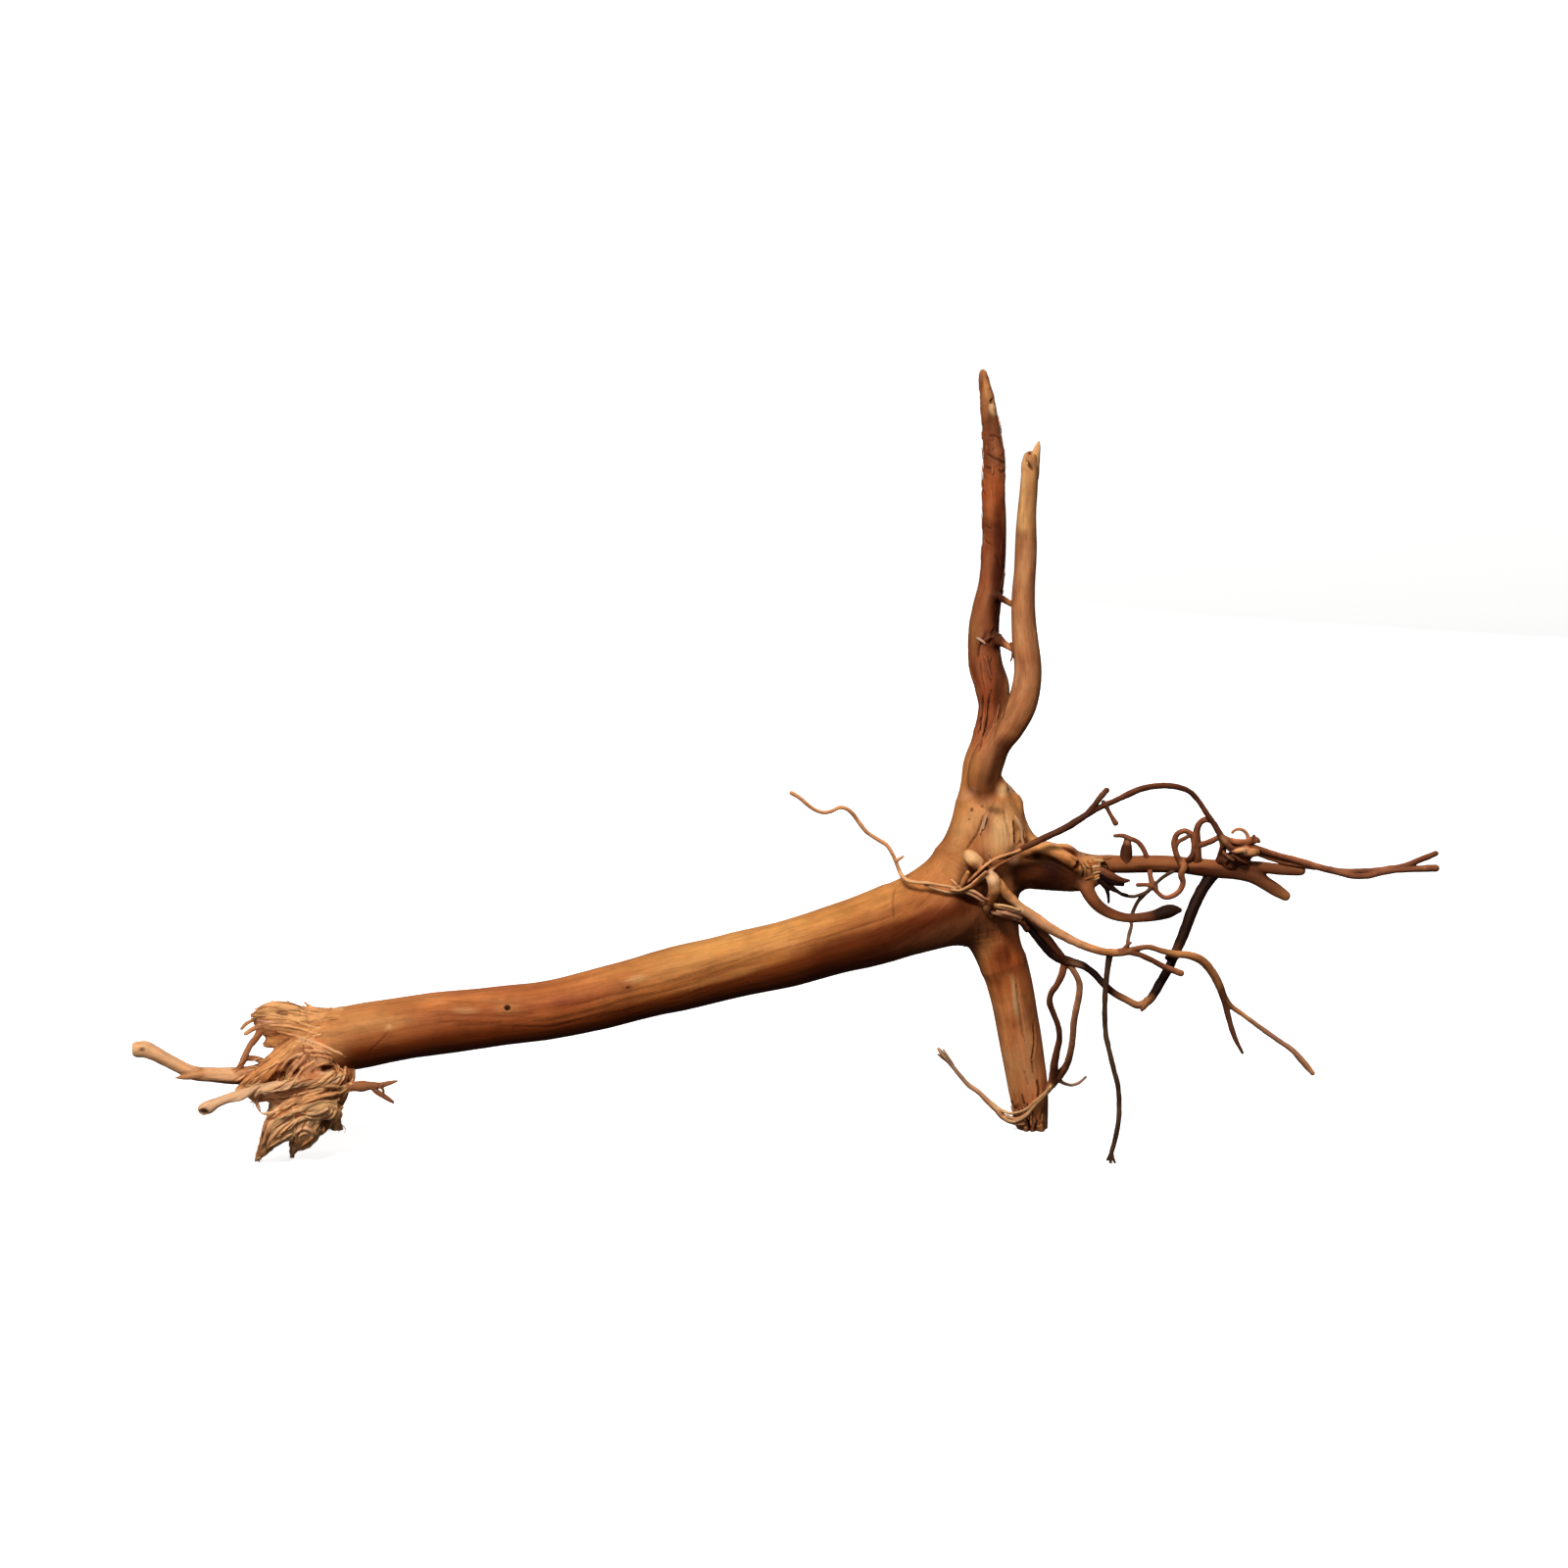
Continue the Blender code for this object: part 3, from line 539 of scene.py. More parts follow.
PRONG_FRONT = [
    (1012, 852, 8, 8), (1009, 832, 3, 13), (1005.5, 812, -2, 16.4), (1004, 797, -4.6, 17), (1007, 779, -6, 17.2), (1017, 759, -6, 14.8), (1031, 741, -7, 14.8),
    (1041.5, 722, -8, 15.2), (1047, 703, -8, 14.6), (1049, 682, -8, 13.9), (1046.6, 660, -8, 13.7),
    (1045, 640, -8, 13), (1044, 620, -8, 12.2), (1044.5, 600, -8, 11.5), (1046, 580, -8, 10.9),
    (1046.8, 560, -8, 11), (1047, 540, -8, 10.6), (1047.9, 520, -8, 9.6), (1049.7, 500, -8, 9.1),
    (1051, 480, -8, 8.5), (1051.7, 468, -8, 7.8),
]
STUB = [
    (1014, 872, 2, 29), (1038, 879, 2, 27.5), (1060, 882, 2, 26), (1080, 886, 1, 23.5),
    (1100, 889, 0, 20.5), (1113, 889, -1, 16.5), (1121, 887, -1, 11.5),
]
ROOT_RIGHT = [
    (1092, 884, 0, 12), (1125, 881.6, 0, 9.6), (1152, 882, 0, 8.8), (1180, 881.5, 0, 8.8),
    (1205, 882.5, 0, 8.4), (1225, 885, 0, 9), (1245, 887, 0, 9.4), (1264, 889, 0, 9.2),
    (1279, 893, 0, 8.8), (1291, 901, 0, 7.2), (1302, 908, 0, 6.8), (1311.5, 914, 0, 5.4),
]

# name: (crease, rows); joined in this order into the stout wood.
STOUT = {
    "trunk": (0, TRUNK),
    "flare": (7, [
        (944, 913, -1, 27), (971, 882, 0, 23.5), (984, 851, 1, 19.5), (992, 822, 2, 18.5), (998.5, 796, 4, 18.5),
        (1000, 778, 6, 17.5), (1001, 762, 7, 11),
    ]),
    "collar": (9, COLLAR),
    "leg": (11, LEG),
    "prong_back": (4, PRONG_BACK),
    "prong_front": (2.5, PRONG_FRONT),
    "shoulder": (2.2, [
        (1018, 826, -2, 13), (1029, 825, -2, 13), (1034.5, 838, -1, 12), (1041.5, 856, 0, 15),
        (1048, 874, 1, 21),
    ]),
    "shoulder_tip": (0.9, [(1029, 815, -3, 5.5), (1036, 814.5, -3, 5), (1038.5, 818, -3, 5), (1039, 828, -3, 5.4)]),
    "stub": (5, STUB),
    "stub_ridge": (2.2, [
        (1040, 870, -8, 6), (1054, 866.5, -9, 6.4), (1068, 866, -9.4, 6.4), (1080, 871, -9.6, 6.4), (1092, 878, -9.6, 6.6),
        (1102, 887, -8.2, 6.4), (1105, 898, -6.6, 5),
    ]),
    "stub_ridge_back": (1.2, [
        (1070, 868, -1, 5), (1080, 864.5, -2, 4), (1090, 864.5, -3, 3.6), (1098, 870, -4, 3.4), (1104, 877, -4.6, 3),
        (1112, 878, -4.6, 2.2),
    ]),
    "stub_end": (1.2, [(1098, 882, -4, 9), (1110, 884, -3.5, 8.5), (1119, 881, -2.5, 7), (1128, 879, -1.5, 4)]),
    "tie_upper": (0.8, [(1014, 606, 5, 4), (1022, 610.6, 2, 3.2), (1034, 617, -4, 2.9), (1043, 620, -7, 2.6)]),
    "tie_lower": (1.2, [
        (1006, 650, 7, 6), (1016, 652, 4, 6.4), (1023, 656, 1, 4.4), (1033, 662, -3, 3), (1043, 665, -7, 2.6),
    ]),
    "tie_ridge": (0.6, [(999, 655, 2.4, 2.4), (1006, 652.4, 1.6, 2.6), (1014, 649, 1.8, 2.4), (1021, 648, 3.6, 1.6)]),
    "root_right": (2, ROOT_RIGHT),
    "root_right_fork": (1.2, [(1258, 884, -1, 7), (1284, 884.6, -1, 5.9), (1305, 887, -1, 5.9), (1327, 888.3, -1, 5.5)]),
    "finger": (1.6, [
        (1098, 886, -3, 9), (1107, 903, -5, 8.2), (1113, 915, -6, 7.4), (1122, 925.5, -6, 6.6),
        (1135, 933, -6, 5.8), (1150, 936.6, -6, 5), (1165, 936, -6, 5.2), (1180, 933.5, -6, 5.9),
        (1191, 930, -6, 6.9), (1198, 928.5, -6, 5.2), (1204, 928.5, -6, 2.6),
    ]),
    "front_lip": (1.5, [(1030, 925, -8, 6), (1016, 931, -11, 4.5), (1006, 929, -10.5, 3.6), (1000, 921, -8, 3)]),
}
STOUT_BALLS = {
    # name: (crease, (across, down, depth), half widths across, deep and up in drawing units, turn)
    "bulge": (2.6, (1020.5, 805, -5), (9.5, 10, 10), 0.0),
    "swell": (3, (1022, 850, -9), (17, 9, 24), 0.2),
}
STOUT_CUTS = {
    # name: (crease, (across, down, depth), half widths, turn, roughness mm)
    "hollow": (1.0, (988, 905, -19), (20, 19, 22), 0.5, 0.8),
    "hollow_low": (0.8, (1000, 912, -14), (17, 12, 12), 0.2, 0.6),
    "slit": (0.5, (1038.5, 850, -13), (2.6, 11, 13), 0.22, 0.3),
    "stub_recess": (0.6, (1057, 873.5, -13.5), (5.5, 7, 4), -0.3, 0.4),
    "stub_crack": (0.3, (1100, 883, -12), (2.2, 8, 7), -0.5, 0.3),
    "prong_top": (0.3, (1052, 461, -9), (2.4, 3.6, 7), 0.1, 0.2),
    "stub_face": (0.6, (1126, 888, -3), (5, 8, 9), 0.2, 0.6),
}

# The torn left end, melted into a piece of its own around the end of the trunk.
FRAYED = {
    "trunk_end": (0, [(392, 1053, -12, 26), (370, 1056.8, -12, 28), (342, 1060.5, -13, 29), (322, 1062, -13, 22)]),
    "tuft": (4, [
        (362, 1048.5, -13, 22), (345, 1047, -13, 19.4), (325, 1046.5, -13, 18.8), (302, 1045.5, -13, 19.6),
        (287, 1041.5, -13, 20), (277, 1042, -13, 16.5), (270, 1042, -13, 10),
    ]),
    "tuft_brow": (1.5, [(300, 1032, -16, 7), (284, 1028.5, -17, 7), (272, 1031, -17, 6), (262, 1036, -16, 4)]),
    "tuft_chin": (2, [(310, 1054, -15, 13), (290, 1058, -16, 11), (275, 1064, -16, 5)]),
    "arm": (2.5, [
        (332, 1056, -15, 14), (307, 1068, -17, 12.5), (287, 1081, -19, 11.5), (270, 1095, -21, 9.8),
        (256, 1105.5, -22, 7.6), (245, 1113, -23, 5),
    ]),
    "branch_long": (1.5, [
        (292, 1089, -13, 10), (264, 1096.6, -15, 9.6), (238, 1097.6, -17, 8.8), (215, 1096.4, -18, 7.4),
        (198, 1095, -19, 7.2), (183, 1088.2, -20, 6.8), (168, 1080.5, -21, 7), (157, 1074.3, -22, 7.8),
        (147, 1070.6, -22, 8.6), (141, 1070.8, -22, 8.2),
    ]),
    "branch_long_spur": (0.6, [(204, 1096, -20, 4.5), (190, 1098.5, -21, 3), (179, 1100, -21, 0.9)]),
    "branch_low": (0.5, [
        (340, 1100, -26, 2.6), (325, 1102, -30.4, 3.4), (308, 1104.4, -32.4, 4), (286, 1107, -33, 4.6), (262, 1112.2, -32, 4.8),
        (246, 1116.6, -31.4, 4.8), (232, 1121, -31, 4.7), (220, 1125.8, -30.6, 5), (212, 1130, -30.4, 6.4),
        (208, 1131.6, -30.2, 6),
    ]),
    "branch_low_strand": (0.4, [(294, 1116, -25, 3.4), (275, 1118.5, -26, 2.8), (257, 1121, -26, 1.8)]),
    "branch_low_root": (0.5, [(255, 1112, -24, 4), (262, 1119, -24, 3.4), (272, 1121, -24, 3), (284, 1121, -23, 4)]),
    "loop": (0.5, [
        (268, 1048, -17, 4), (262, 1058, -18, 3.2), (254.5, 1068.5, -18, 2.7), (250, 1078, -18, 3),
        (246, 1086, -17.5, 3.3), (243, 1096, -16, 3.5),
    ]),
    "loop_strip": (0.5, [(249, 1079.5, -17.5, 2.4), (260, 1079.5, -17, 2.2), (270, 1083, -16.5, 2.6), (278, 1086, -16, 3)]),
    "ring": (0.2, [
        (266, 1117, -29, 1.9), (262.6, 1122, -29, 1.8), (263, 1128, -29, 1.7), (266.6, 1133.4, -29, 1.7), (274, 1136, -29, 1.7), (283, 1134.8, -29, 1.7), (292, 1131.4, -30, 1.6), (300, 1127, -31, 1.3),
    ]),
    "branch_right": (0.8, [
        (330, 1107, -22, 7), (350, 1110, -22, 4.6), (360, 1108.5, -22, 4.2), (369, 1108.6, -22, 5.2),
        (378, 1107.5, -22, 3.8), (388, 1107.5, -22, 2.8), (396, 1105.4, -22, 2.2), (405, 1103, -22, 1.1),
    ]),
    "branch_right_fork": (0.5, [(377, 1107.5, -22, 3), (387, 1115.5, -22, 2.6), (394.5, 1120.5, -22, 2.4), (401, 1124.5, -22, 1.5)]),
    "branch_right_twig": (0.3, [(385, 1107, -22.5, 2), (391, 1112, -22.5, 1.5), (391.5, 1117, -22.5, 1.2)]),
    "bunch": (4, [
        (322, 1056, -14, 18), (317, 1074, -15, 28), (318, 1093, -16, 34), (314, 1112, -16, 34.5), (308, 1131, -17, 33),
        (299, 1145, -18.6, 24), (292, 1157, -19.4, 12),
    ]),
    "bunch_rim": (1.5, [
        (318, 1064, -17, 7), (334, 1069, -18, 8), (348, 1079, -18, 8.4), (354, 1092, -17, 7.6), (352, 1107, -16, 6.4),
        (346, 1120, -15, 7.4), (338, 1132, -14, 8.5),
    ]),
    "bunch_fold": (1.5, [(284, 1114, -24, 6), (300, 1118, -27, 7), (318, 1112, -28, 7.5), (335, 1104, -26, 7), (349, 1099, -22, 6)]),
    "bunch_fold_low": (1.5, [(284, 1135, -24, 6.5), (300, 1131, -28, 7.5), (316, 1127, -29, 8), (332, 1128, -27, 7.5), (343, 1137, -22, 6)]),
    "bunch_corner": (1.5, [(322, 1129, -15, 17), (335, 1140, -14, 11), (343, 1148, -13, 5), (348.5, 1151.5, -13, 2)]),
    "toe_left": (2, [(297, 1137, -21, 22), (285, 1150, -23, 15.5), (275.5, 1163, -22, 8.6), (268, 1174, -19, 4.6), (262.4, 1183, -15, 2.2), (260.2, 1188, -13, 1.3)]),
    "toe_middle": (1.2, [(303, 1148, -19, 13), (301, 1161, -17, 6.8), (299.5, 1171, -12, 3), (298.6, 1180, -9, 1.5), (298.3, 1189, -8, 1.0)]),
    "crest_a": (0.4, [(345, 1122, -23, 2), (328, 1126.5, -29.4, 2.6), (308, 1131, -31.6, 2.8), (290, 1140, -30.4, 2.8), (278, 1154, -26.6, 2.6), (269, 1169, -19.6, 1.8)]),
    "crest_b": (0.4, [(349, 1130, -19.6, 2), (333, 1134, -25.6, 2.6), (316, 1138, -29.6, 3), (300, 1146, -30, 2.8), (289, 1157, -26, 2.2)]),
    "crest_c": (0.4, [(346, 1142, -16, 2.2), (331, 1141, -21.6, 2.6), (319, 1145, -26, 3.2), (311, 1152, -26.6, 3), (305, 1161, -22.6, 2.2)]),
    "crest_d": (0.4, [(350, 1114, -22, 1.8), (334, 1117, -28.4, 2.4), (316, 1121, -31.4, 2.6), (298, 1126, -31, 2.4), (284, 1136, -27, 2)]),
    "toe_curl": (0.8, [(306, 1150, -23, 4), (316, 1150, -24, 4.6), (321, 1157, -22, 4.4), (315, 1165, -19, 4), (305, 1170, -16, 2.6), (299, 1172, -13, 1.6)]),
    "tuft_tip_a": (0.3, [(270, 1036, -15, 3), (257, 1041.6, -15, 1.7), (251, 1045, -15, 1.5), (246.5, 1050, -15, 1.2)]),
    "tuft_tip_b": (0.3, [(270, 1046, -18, 3), (259, 1050, -18, 1.9), (251, 1055, -18, 1.6)]),
    "tuft_tip_c": (0.4, [(275, 1033, -12, 4), (266, 1033.5, -12, 2.8), (257.5, 1036, -12, 1.3)]),
    "tuft_spike": (0.3, [(322, 1033, -13, 2), (316, 1027, -13, 1.5), (311, 1023, -13, 0.9)]),
}
# Single strands laid on the torn wood as the front view shows them: (radius, tone, (across, down) points).
STRANDS = [
    (1.9, (0.95, 0.52, 0.25), [(306, 1059.5), (314, 1062), (330, 1067.4), (345, 1072.8), (359, 1078.4)]),
    (1.1, (0.90, 0.44, 0.19), [(303, 1063), (314, 1066), (327, 1070), (342, 1076)]),
    (1.5, (0.92, 0.47, 0.22), [(312, 1072), (324, 1072.6), (334, 1073.8), (342, 1076.8), (350, 1082)]),
    (1.3, (0.86, 0.40, 0.17), [(318, 1077), (328, 1077.6), (338, 1080)]),
    (1.6, (0.95, 0.53, 0.27), [(348, 1079), (352.4, 1085), (352, 1093), (349.6, 1102)]),
    (1.7, (0.92, 0.48, 0.22), [(353, 1079), (358.6, 1086), (360.6, 1096), (357.6, 1106)]),
    (1.4, (0.92, 0.48, 0.23), [(283.4, 1106), (284, 1099), (287, 1091), (292.6, 1083.4), (299.4, 1078.6), (308, 1075.4)]),
    (1.2, (0.86, 0.42, 0.19), [(293, 1098.6), (301.6, 1090), (307, 1083), (312, 1077)]),
    (1.2, (0.84, 0.38, 0.16), [(287, 1107), (290, 1098), (296, 1089.4), (303.6, 1082)]),
    (1.5, (0.90, 0.46, 0.20), [(304, 1097), (312, 1089), (321, 1083)]),
    (1.4, (0.86, 0.42, 0.17), [(309, 1099.6), (317, 1092), (327, 1086.6), (338, 1083.6)]),
    (1.5, (0.95, 0.54, 0.25), [(284, 1112), (293, 1110.6), (300, 1104), (306, 1095.6), (309, 1090)]),
    (1.6, (0.92, 0.50, 0.23), [(278, 1118), (290, 1119), (302, 1117), (316, 1113.4), (329, 1110.6)]),
    (2.2, (0.92, 0.50, 0.20), [(314, 1109), (324, 1105.6), (332, 1100), (341, 1094)]),
    (1.9, (0.92, 0.48, 0.19), [(322, 1110), (332, 1105), (342, 1099.6), (350, 1097)]),
    (1.8, (0.90, 0.46, 0.20), [(329, 1108.4), (340, 1108), (351, 1108.6)]),
    (1.4, (0.86, 0.43, 0.18), [(288, 1124), (300, 1121.6), (312, 1116.6)]),
    (1.3, (0.88, 0.45, 0.19), [(284, 1133.6), (291, 1131), (299, 1126), (307, 1121.6), (318, 1117), (329, 1112.6)]),
    (1.5, (0.84, 0.40, 0.16), [(292, 1136), (302, 1129.6), (314, 1123.6), (328, 1119), (342, 1116.6)]),
    (1.6, (0.95, 0.54, 0.25), [(306, 1133), (317, 1127.6), (329, 1124), (340, 1125.4), (347.6, 1130.6)]),
    (2.4, (0.95, 0.54, 0.27), [(308, 1134.6), (316, 1135.6), (325, 1134.6), (334, 1131)]),
    (1.5, (0.92, 0.50, 0.23), [(310, 1139), (321, 1140.6), (331, 1139), (339, 1134)]),
    (1.4, (0.84, 0.40, 0.17), [(338, 1128), (344, 1133), (345, 1141), (347.6, 1149)]),
    (1.4, (0.92, 0.50, 0.23), [(299.6, 1130), (300.4, 1139), (301, 1150), (302.4, 1160)]),
    (1.6, (0.92, 0.50, 0.24), [(286, 1134.6), (276.6, 1138), (271, 1146.6), (269, 1156), (265.6, 1169.6), (261.4, 1181)]),
    (1.6, (0.95, 0.53, 0.25), [(298, 1136.6), (288, 1139.6), (280, 1145.6), (274.6, 1153), (271, 1162), (265.8, 1175)]),
    (1.7, (0.95, 0.54, 0.25), [(300, 1141), (293, 1145.4), (286, 1151), (279, 1159.6), (272, 1170)]),
    (1.5, (0.90, 0.46, 0.20), [(299, 1148.6), (291, 1152.6), (284.6, 1158.4), (277, 1166)]),
    (1.8, (0.95, 0.53, 0.25), [(298, 1156.6), (292, 1159.4), (284.4, 1163), (277.6, 1167), (271, 1173.6)]),
    (1.8, (0.95, 0.52, 0.27), [(302, 1156), (308.6, 1151), (316, 1152.4), (319.6, 1158), (315.6, 1162.4), (307, 1168), (301, 1174), (298.4, 1180)]),
    (1.2, (0.88, 0.44, 0.20), [(305.6, 1159.6), (310, 1155.6), (314.6, 1157.6), (312, 1161.6)]),
    (1.2, (0.80, 0.36, 0.14), [(262, 1091.6), (272, 1083), (284, 1073), (297, 1062)]),
    (1.3, (0.86, 0.42, 0.17), [(268, 1096), (279, 1087.6), (290, 1078), (301, 1067.6)]),
    (1.1, (0.86, 0.42, 0.17), [(272, 1034), (284, 1036.6), (297, 1040), (312, 1046), (326, 1049.6)]),
    (1.1, (0.86, 0.42, 0.17), [(276, 1046), (290, 1047), (304, 1049), (318, 1053.6), (332, 1058)]),
    (1.1, (0.84, 0.40, 0.16), [(284, 1052.6), (296, 1055.6), (307, 1058.6)]),
]
# Hollows and creases in the torn wood, cut in and darkened with painted shade: (radius, strength, points).
CREASES = [
    (1.5, 0.9, [(346.6, 1080.6), (347.6, 1086), (346.4, 1092)]), (1.1, 0.8, [(325, 1090), (332, 1086), (341, 1083.4)]),
    (1.3, 0.8, [(291.6, 1091), (296, 1084.6), (303, 1079)]), (1.0, 0.8, [(288, 1103), (291, 1096), (296, 1090.6)]),
    (0.9, 0.7, [(298, 1097), (305, 1089.6), (312, 1083)]), (0.9, 0.6, [(304.6, 1102), (313, 1095), (322, 1089)]),
    (0.8, 0.6, [(306, 1070), (314, 1070.6), (322, 1071)]), (0.8, 0.6, [(303, 1044), (309, 1042.4), (314, 1042.2)]),
    (0.8, 0.6, [(314, 1044.4), (318.6, 1042.6), (323, 1041.4)]), (0.6, 0.5, [(327, 1040), (335, 1038.6), (344, 1038)]),
    (0.7, 0.6, [(299, 1036), (302, 1037), (306, 1037)]), (0.8, 0.7, [(313.6, 1059), (321, 1055.6), (329, 1053.4)]),
    (0.9, 0.7, [(277, 1056.6), (281, 1056.4), (285, 1054.6)]), (1.1, 0.8, [(284.6, 1066), (289.6, 1063.4), (295, 1060.6)]),
    (0.7, 0.6, [(284, 1033.6), (288, 1031.6), (293, 1031.8), (295, 1034.6), (290, 1036), (285, 1035)]),
    (0.8, 0.6, [(286, 1121.6), (298, 1121), (311, 1117.6)]), (0.9, 0.7, [(288, 1128.6), (298, 1125), (308, 1120)]),
    (0.9, 0.6, [(309, 1131), (320, 1126.6), (332, 1122.6)]), (0.9, 0.7, [(308, 1137.6), (320, 1138.6), (330, 1137)]),
    (0.7, 0.6, [(283, 1141.6), (277, 1148), (272.6, 1156)]), (0.8, 0.6, [(292, 1142.6), (284, 1148.6), (277, 1157)]),
    (0.8, 0.6, [(297, 1151.6), (288.6, 1156), (280, 1163)]), (1.5, 0.9, [(289, 1166), (296, 1164.6), (302, 1166.6)]),
    (1.2, 0.8, [(310.6, 1158.6), (313, 1158)]), (1.1, 0.8, [(322, 1146), (318, 1149.6)]),
    (1.0, 0.6, [(313, 1113.6), (326, 1108.6)]), (0.9, 0.6, [(334, 1112.4), (344, 1112.6), (352, 1113)]),
    (1.0, 0.8, [(300, 1160), (300.6, 1166)]),
]
FRAYED_CUTS = {
    "corner_hollow": (0.5, (332.5, 1147.6, -26), (8, 22, 6), 0.25, 0.5),
    "toe_hollow": (0.5, (293, 1167, -22), (8, 20, 4.6), 0.2, 0.5),
    "ring_hollow": (0.5, (346, 1086, -24), (4.5, 12, 8), 0.1, 0.4),
    "ring_hollow_b": (0.5, (333, 1089, -25), (8, 9, 4), 0.35, 0.4),
    "gap_left": (0.5, (291, 1094, -29), (5, 13, 13), -0.5, 0.4),
    "gap_mid": (0.5, (300, 1097, -30), (4, 10, 8), -0.7, 0.4),
    "eye": (0.5, (289, 1033.5, -21.5), (7, 4, 2.8), 0.0, 0.2),
    "cup": (0.4, (208, 1134, -31.5), (5, 5, 4), 0.0, 0.3),
    "pit": (0.3, (146, 1070.5, -26), (2.6, 3, 2), 0.0, 0.1),
    "sawn_end": (0.15, (121, 1071, -22), (15, 34, 34), 0.0, 0.12),
    "ring_gap": (0.3, (270.8, 1128.4, -24), (4.2, 24, 4.4), 0.2, 0.15),
    "gap_right": (0.4, (343, 1088, -25), (4, 9, 8), 0.1, 0.3),
    "under_arm": (0.6, (283, 1100, -24), (10, 11, 7), 0.6, 0.4),
}

